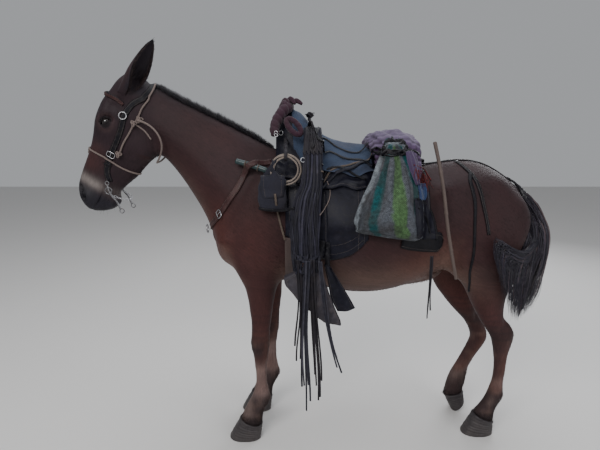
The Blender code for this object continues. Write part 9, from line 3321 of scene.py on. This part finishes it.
gt, _ = sweep("tube_green", [(-0.272, -0.128, 1.331), (-0.240, -0.132, 1.3225), (-0.205, -0.137, 1.313), (-0.140, -0.150, 1.292)],
              lambda u: 0.0118 + 0.0012 * (np.exp(-((u - 0.05) / 0.02) ** 2) + np.exp(-((u - 0.93) / 0.03) ** 2)), seg=26, step=0.003)
LAY.add(gt)
piece(gt, GREENP, ("green_tube",))
for k, u in enumerate((0.30, 0.72)):
    c = np.array([-0.272, -0.128, 1.331]) * (1 - u) + np.array([-0.140, -0.150, 1.292]) * u
    ax_ = unit(np.array([-0.140, -0.150, 1.292]) - np.array([-0.272, -0.128, 1.331]))
    piece(torus("tube_tie_%d" % k, c, ax_, 0.0135, 0.0022), TANL)

# ---------------------------------------------------------------- breast collar, low strap, crupper, rump and thigh straps
breast_out = lambda p: unit(np.array([-max(0.0, -0.20 - p[0]) * 6.0, p[1] * 6, 0.25]))
for nm, s in (("left", -1), ("right", 1)):
    o = band("collar_" + nm, [(-0.125, s * 0.110, 1.335), (-0.216, s * 0.112, 1.299), (-0.276, s * 0.136, 1.208), (-0.318, s * 0.138, 1.150), (-0.362, s * 0.118, 1.085), (-0.402, s * 0.062, 1.026)],
             0.026, 0.0045, out=breast_out, across=7, clear=0.0015)
    THREADS += edge_lines("collar_" + nm)
    piece(o, BROWNL, ("breast_collar_" + nm,))
    G, O_ = LINES["collar_" + nm]
    METALS += buckle(G[34, 3], G[36, 3] - G[32, 3], O_[34, 3], 0.030, 0.0019)
    o = band("rump_" + nm, [(0.700, s * 0.030, 1.330), (0.730, s * 0.123, 1.284), (0.756, s * 0.194, 1.208), (0.773, s * 0.210, 1.134), (0.786, s * 0.222, 1.073), (0.792, s * 0.229, 1.031)], lambda u: 0.020 - 0.006 * u, 0.004)
    THREADS += edge_lines("rump_" + nm)
    piece(o, BLACKL, ("rump_strap_" + nm,))
    o = band("thigh_" + nm, [(0.728, s * 0.140, 1.286), (0.719, s * 0.165, 1.246), (0.724, s * 0.185, 1.212), (0.731, s * 0.201, 1.175), (0.734, s * 0.217, 1.071), (0.737, s * 0.222, 0.964), (0.731, s * 0.212, 0.870), (0.743, s * 0.197, 0.800), (0.751, s * 0.186, 0.745)], lambda u: 0.016 - 0.008 * u, 0.0035)
    piece(o, BLACKL, ("thigh_strap_" + nm,))
o = band("breast_low", [(-0.412, 0, 0.975), (-0.395, 0, 0.915), (-0.350, 0, 0.855), (-0.290, 0, 0.815), (-0.200, 0, 0.785), (-0.115, 0, 0.770)], 0.026, 0.0045,
         out=lambda p: unit(np.array([-max(0.05, -0.10 - p[0]), 0, -max(0.02, 1.02 - p[2])])), across=7)
piece(o, BROWNL, ("breast_strap_low",))
METALS.append(torus("breast_ring", (-0.434, 0, 1.006), (1, 0, 0.1), 0.019, 0.0030))
piece(band("ring_tab", [(-0.425, 0, 0.992), (-0.422, 0, 0.972), (-0.412, 0, 0.945)], 0.022, 0.004, out=lambda p: np.array([-1.0, 0, -0.1]), keep=False), BROWNL)
o = band("crupper_strap", [(0.525, 0, 1.385), (0.578, 0, 1.372), (0.657, 0, 1.345), (0.740, 0, 1.335), (0.830, 0, 1.312), (0.900, 0, 1.270), (0.960, 0, 1.235)], 0.024, 0.005,
         out=lambda p: np.array([0.0, 0.0, 1.0]), across=7)
THREADS += edge_lines("crupper_strap")
piece(o, BLACKL, ("crupper",))
# loop of the crupper under the dock
for s in (-1, 1):
    P = [(0.950, s * 0.008, 1.243), (0.975, s * 0.028, 1.224), (0.996, s * 0.035, 1.192), (1.000, s * 0.026, 1.162), (0.990, s * 0.006, 1.146)]
    o, _ = sweep("crupper_loop_%d" % (s + 1), P, 0.0048, seg=14, step=0.004)
    press(o, out=lambda p: unit(np.array([0.3, p[1] * 8 + 1e-6, 0.3])), clear=0.0005, thick=0.006, reach=0.08)
    piece(o, BLACKL)
# knot and two small loops on the crupper behind the roll
kk = LINES["crupper_strap"][0][3, 3] + np.array([0.0, 0.0, -0.002])
parts = []
for k in range(3):
    P = [kk + [0.020 * math.cos(g + k * 2.1), 0.018 * math.sin(g + k * 2.1) - 0.004, 0.008 + 0.008 * math.sin(2 * g + k)] for g in np.linspace(0, 5.2, 12)]
    parts.append(sweep("knot", P, 0.0050, seg=10, step=0.003)[0])
piece(merged("crupper_knot", parts), BLACKL)
# loops of black leather between sack and lobe
js, jw, ja, jg = hung("rear_jockey", [[(414, 199), (415, 212), (416, 226), (417, 239)], [(420, 199), (429, 210), (434, 224), (436, 239)]], 20, 40, 0.0045, 0.0006, bulge=0.002, clear=0.002)
LAY.add(js)
piece(js, SADDLE)
parts = []
for px, r_ in ((((418, 199), (424, 202), (430, 210), (434, 221), (436, 231), (437, 240)), 0.0062), (((419, 208), (424, 214), (428, 223), (430, 233)), 0.0038)):
    P = [touch(u, v, 0.003) for u, v in px]
    parts.append(sweep("loop", P, r_, seg=12, step=0.004, flat=0.7, face=(0, -1, 0.1))[0])
piece(merged("leather_loops", parts), BLACKL)

# stick
st, _ = sweep("walking_stick", [(0.553, -0.185, 1.412), (0.573, -0.212, 1.310), (0.590, -0.238, 1.200), (0.603, -0.252, 1.100), (0.625, -0.262, 0.980), (0.655, -0.266, 0.850)],
              lambda u: 0.0080 - 0.0015 * u + 0.0014 * (np.exp(-((u - 0.22) / 0.012) ** 2) + np.exp(-((u - 0.51) / 0.012) ** 2) + np.exp(-((u - 0.78) / 0.010) ** 2)), seg=18, step=0.003,
              shape=lambda s, th: 1 + 0.04 * np.sin(th * 2 + s * 9))
piece(st, WOOD, ("stick",))
tick("body straps")

# ---------------------------------------------------------------- bridle
head_o = lambda p: unit(np.array([0.25 if p[2] > 1.60 else 0.0, p[1] * 6, max(0.0, (p[2] - 1.58) * 6)]))
BN = [(-0.854, -0.050, 1.232), (-0.860, -0.055, 1.272), (-0.850, -0.058, 1.317), (-0.825, -0.065, 1.365), (-0.794, -0.076, 1.417), (-0.769, -0.084, 1.468), (-0.749, -0.087, 1.523), (-0.716, -0.085, 1.565), (-0.668, -0.074, 1.596), (-0.646, -0.050, 1.624)]
o = band("bridle_strap", BN + [(-0.636, 0.0, 1.658)] + [(x, -y, z) for x, y, z in reversed(BN)], 0.026, 0.0035, out=head_o, across=7, step=0.008, clear=0.0012, reach=0.035)
THREADS += edge_lines("bridle_strap")
piece(o, BLACKL, ("bridle_headpiece",))
G, O_ = LINES["bridle_strap"]
n_ = len(G)
for i in (16, n_ - 17):
    METALS += buckle(G[i, 3], G[i + 2, 3] - G[i - 2, 3], O_[i, 3], 0.028, 0.0017)
for i in (10, n_ - 11):
    c = G[i, 3]
    P = [c + (G[i, j] - c) * 1.08 + O_[i, 3] * 0.0012 for j in range(7)]
    o, _ = sweep("keeper", P, 0.0055, seg=8, step=0.003, flat=0.3, face=O_[i, 3])
    piece(o, BLACKL)
brow_out = lambda p: unit(np.array([-max(0.0, -0.74 - p[0]) * 8, p[1] * 5, 0.05]))
bn = [(-0.752, -0.090, 1.566), (-0.780, -0.087, 1.587), (-0.812, -0.062, 1.607), (-0.830, -0.030, 1.615)]
o = band("brow_base", bn + [(-0.835, 0, 1.617)] + [(x, -y, z) for x, y, z in reversed(bn)], 0.018, 0.0022, out=brow_out, clear=0.0012, step=0.006)
G, O_ = LINES["brow_base"]
piece(o, BLACKL, ("bridle_browband",))
mid, oo = G[:, 2], O_[:, 2]
arc = np.concatenate([[0], np.cumsum(np.linalg.norm(np.diff(mid, axis=0), axis=1))])
s_q = np.linspace(0, arc[-1], 260)
M = np.stack([np.interp(s_q, arc, mid[:, i]) for i in range(3)], 1)
OO = np.stack([np.interp(s_q, arc, oo[:, i]) for i in range(3)], 1)
B = np.cross(np.gradient(M, axis=0), OO)
B /= np.linalg.norm(B, axis=1, keepdims=True)
plait = []
for k in range(3):
    ph = k * 2 * math.pi / 3
    P = M + B * (0.0055 * np.sin(s_q * 210 + ph))[:, None] + OO * (0.0022 + 0.0016 * np.sin(2 * (s_q * 210 + ph)))[:, None]
    plait.append(sweep("plait", P, 0.0028, seg=8, smooth_path=False, flat=0.6, face=OO)[0])
piece(merged("brow_plait", plait), BROWNL)
# the ring at the temple, both sides
for s in (-1, 1):
    c = LAY.meet((-0.755, s * 0.05, 1.520), (0, s, 0), 0.2)
    METALS.append(torus("temple_ring", np.array(c) + [0, s * 0.005, 0], (0.15, s, 0.1), 0.0152, 0.0019))
# curb bit: shank, rings and chin chain
for nm, s in (("left", -1), ("right", 1)):
    P = [(-0.856, s * 0.071, 1.222), (-0.850, s * 0.073, 1.196), (-0.838, s * 0.072, 1.170), (-0.822, s * 0.071, 1.150), (-0.806, s * 0.070, 1.112)]
    o, _ = sweep("shank_" + nm, P, lambda u: 0.0046 - 0.0008 * np.sin(u * 3.1), seg=14, step=0.002)
    r1 = torus("r", (-0.800, s * 0.070, 1.104), (0.1, 1, 0), 0.0100, 0.0022)
    r2 = torus("r", (-0.856, s * 0.071, 1.229), (0.1, 1, 0), 0.0085, 0.0022)
    r3 = torus("r", (-0.852, s * 0.073, 1.196), (0.1, 1, 0), 0.0150, 0.0022)
    mo, _ = sweep("m", [(-0.852, s * 0.073, 1.196), (-0.862, s * 0.055, 1.200), (-0.868, s * 0.030, 1.203)], 0.0048, seg=12, step=0.003)
    o = merged("curb_" + nm, [o, r1, r2, r3, mo])
    piece(o, BITM, ("bit_shank_" + nm,))
chain = []
for k in range(15):
    u = (k + 0.5) / 15
    a = math.pi * u
    c = np.array([-0.845 + 0.062 * math.sin(a), -0.068 * math.cos(a), 1.176 - 0.030 * math.sin(a)])
    tdir = unit(np.array([0.062 * math.cos(a), 0.068 * math.sin(a), -0.03 * math.cos(a)]))
    h = LAY.meet(c, unit(np.array([0.7, c[1] * 3, -0.7])), 0.08)
    nrm = unit(np.cross(tdir, (0.7, 0, -0.7))) if k % 2 else unit(np.array([0.7, c[1] * 2, -0.7]))
    chain.append(torus("link", c, nrm, 0.0074, 0.0014, squash=0.6, seg=8, n=22, ax=tdir))
METALS += chain

# ---------------------------------------------------------------- rope halter
HR = 0.0042
HN = [(-0.796, -0.070, 1.352), (-0.785, -0.074, 1.372), (-0.770, -0.080, 1.400), (-0.739, -0.086, 1.443), (-0.713, -0.088, 1.485), (-0.690, -0.086, 1.519), (-0.680, -0.086, 1.545), (-0.658, -0.086, 1.575), (-0.634, -0.074, 1.612), (-0.622, -0.048, 1.650)]


def outside(pts, out, off, reach=0.2):
    res = []
    for p in pts:
        o = out(np.array(p))
        h = LAY.meet(p, o, reach)
        res.append((h if h is not None else np.array(p)) + o * off)
    return np.array(res)


def eased(P, k=3):
    for _ in range(k):
        P = np.vstack([P[:1], (P[:-2] + 2 * P[1:-1] + P[2:]) / 4, P[-1:]])
    return P


side = smooth_route(HN + [(-0.620, 0.0, 1.690)] + [(x, -y, z) for x, y, z in reversed(HN)], 0.008)
hp = eased(outside(side, head_o, HR + 0.0008))
hal = rope("halter_crown", hp, HR)
LAY.add(hal)
piece(hal, HALTM, ("halter_headpiece",))
nose = []
for k in range(120):
    t = 2 * math.pi * k / 120
    o = np.array(FORE) * math.cos(t) + np.array([0, 1, 0]) * math.sin(t)
    c = head_point(0.331 - 0.016 * math.cos(t), -0.10)
    h = LAY.meet(c, o, 0.30)
    nose.append(h + o * (HR + 0.0010))
nose = np.array(nose)
for _ in range(3):
    nose = (np.roll(nose, 1, 0) + 2 * nose + np.roll(nose, -1, 0)) / 4
nb, _ = sweep("halter_nose", nose, HR, seg=12, closed=True, shape=strand3(np.linalg.norm(np.diff(nose, axis=0), axis=1).sum() / 18))
LAY.add(nb)
piece(nb, HALTM, ("halter_noseband",))
th_pts = [(-0.690, -0.098, 1.500), (-0.660, -0.100, 1.490), (-0.630, -0.100, 1.470), (-0.607, -0.098, 1.440), (-0.597, -0.092, 1.405), (-0.603, -0.080, 1.368), (-0.622, -0.060, 1.335)]
tl_ = rope("halter_throat", th_pts, HR)
piece(tl_, HALTM, ("halter_loop",))
# on under the throat to the far side, lying close
P = [(-0.622, -0.060, 1.335), (-0.640, -0.030, 1.318), (-0.648, 0.0, 1.314), (-0.640, 0.030, 1.320), (-0.622, 0.062, 1.345), (-0.610, 0.085, 1.385), (-0.615, 0.097, 1.430), (-0.640, 0.100, 1.470), (-0.685, 0.098, 1.500)]
o = rope("halter_under", P, HR)
press(o, out=lambda p: unit(np.array([0.5, p[1] * 8, -0.6 if p[2] < 1.36 else 0.0])), clear=0.0004, thick=0.008, reach=0.06)
piece(o, HALTM)


def knot(name, centre, out, size=0.011, r=HR, seed=0):
    """Three crossing turns of rope."""
    o = unit(np.array(out, float))
    a = unit(np.cross(o, (0.2, 0.1, 1.0)))
    b = np.cross(o, a)
    t = np.linspace(0, 2 * math.pi, 90, endpoint=False)
    P = np.array(centre) + np.outer((np.sin(t + seed) + 1.6 * np.sin(2 * t + seed)) * size * 0.42, a) + np.outer((np.cos(t + seed) - 1.6 * np.cos(2 * t + seed)) * size * 0.42, b) + np.outer(-np.sin(3 * t) * r * 0.9 + r * 0.8, o)
    return sweep(name, P, r * 0.92, seg=10, closed=True, shape=strand3(0.03))[0]


ks = []
for s in (-1, 1):
    for c, sz in (((-0.690, s * 0.090, 1.504), 0.0130), ((-0.712, s * 0.091, 1.487), 0.0115), ((-0.795, s * 0.073, 1.355), 0.0120)):
        h = LAY.meet(c, (0, s, 0), 0.1)
        c2 = np.array(c) if h is None else np.array(h) + [0, s * 0.002, 0]
        ks.append(knot("knot", c2, (0.1, s, 0.1), sz, seed=sz * 300))
fr = head_point(0.330, 0.0)
h = LAY.meet(head_point(0.330, -0.1), FORE, 0.3)
ks.append(knot("knot", np.array(h) + np.array(FORE) * 0.001, FORE, 0.0125, seed=1))
piece(merged("halter_knots", ks), HALTM)
# a second strand from the cheek knot towards the jaw
P = [(-0.705, -0.0935, 1.482), (-0.672, -0.094, 1.455), (-0.648, -0.094, 1.420)]
o = rope("halter_tail", outside([p for p in smooth_route(P, 0.006)], lambda p: np.array([0.0, -1.0, 0.0]), HR + 0.0005, 0.08), HR * 0.85)
piece(o, HALTM)

piece(merged("tack_metal", METALS), SILVER)
piece(stitches(THREADS), THREAD)
tick("bridle, halter")


# ---------------------------------------------------------------- skin handed over last, as the tack lies on it
piece(skin, HIDE, ("head", "neck", "trunk", "leg_front_left", "leg_front_right", "leg_hind_left", "leg_hind_right", "ear_left", "ear_right"))

# ---------------------------------------------------------------- floor and light
me = bpy.data.meshes.new("floor")
me.from_pydata([(-9, -9, 0), (9, -9, 0), (9, 9, 0), (-9, 9, 0)], [], [(0, 1, 2, 3)])
floor = bpy.data.objects.new("floor", me)
bpy.context.scene.collection.objects.link(floor)
m, t, b = new_material("floor_plain")
b.inputs["Base Color"].default_value = (0.62, 0.61, 0.60, 1)
b.inputs["Roughness"].default_value = 0.9
me.materials.append(m)


def area(name, loc, target, size, power, colour=(1, 1, 1)):
    li = bpy.data.lights.new(name, "AREA")
    li.shape = "RECTANGLE"
    li.size, li.size_y = size
    li.energy = power
    li.color = colour
    ob = bpy.data.objects.new(name, li)
    ob.location = loc
    ob.rotation_euler = (Vector(target) - Vector(loc)).to_track_quat("-Z", "Y").to_euler()
    bpy.context.scene.collection.objects.link(ob)


area("key", (-1.6, -3.4, 3.6), (0, 0, 0.9), (2.6, 2.0), 145, (1.0, 0.98, 0.96))
area("top", (0.4, 0.6, 4.2), (0, 0, 0.9), (4.0, 3.0), 92, (0.94, 0.97, 1.0))
area("back", (2.2, 3.2, 2.6), (0, 0, 1.0), (2.4, 2.0), 70, (0.95, 0.97, 1.0))
area("fill", (3.0, -3.0, 1.8), (0, 0, 0.9), (2.4, 2.0), 45)
world = bpy.data.worlds.new("world")
bpy.context.scene.world = world
world.use_nodes = True
bg = world.node_tree.nodes["Background"]
bg.inputs[0].default_value = (0.80, 0.82, 0.85, 1)
bg.inputs[1].default_value = 0.45

for o in list(WORK.objects):
    drop(o)
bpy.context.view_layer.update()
tick("pieces %d" % len(MADE))
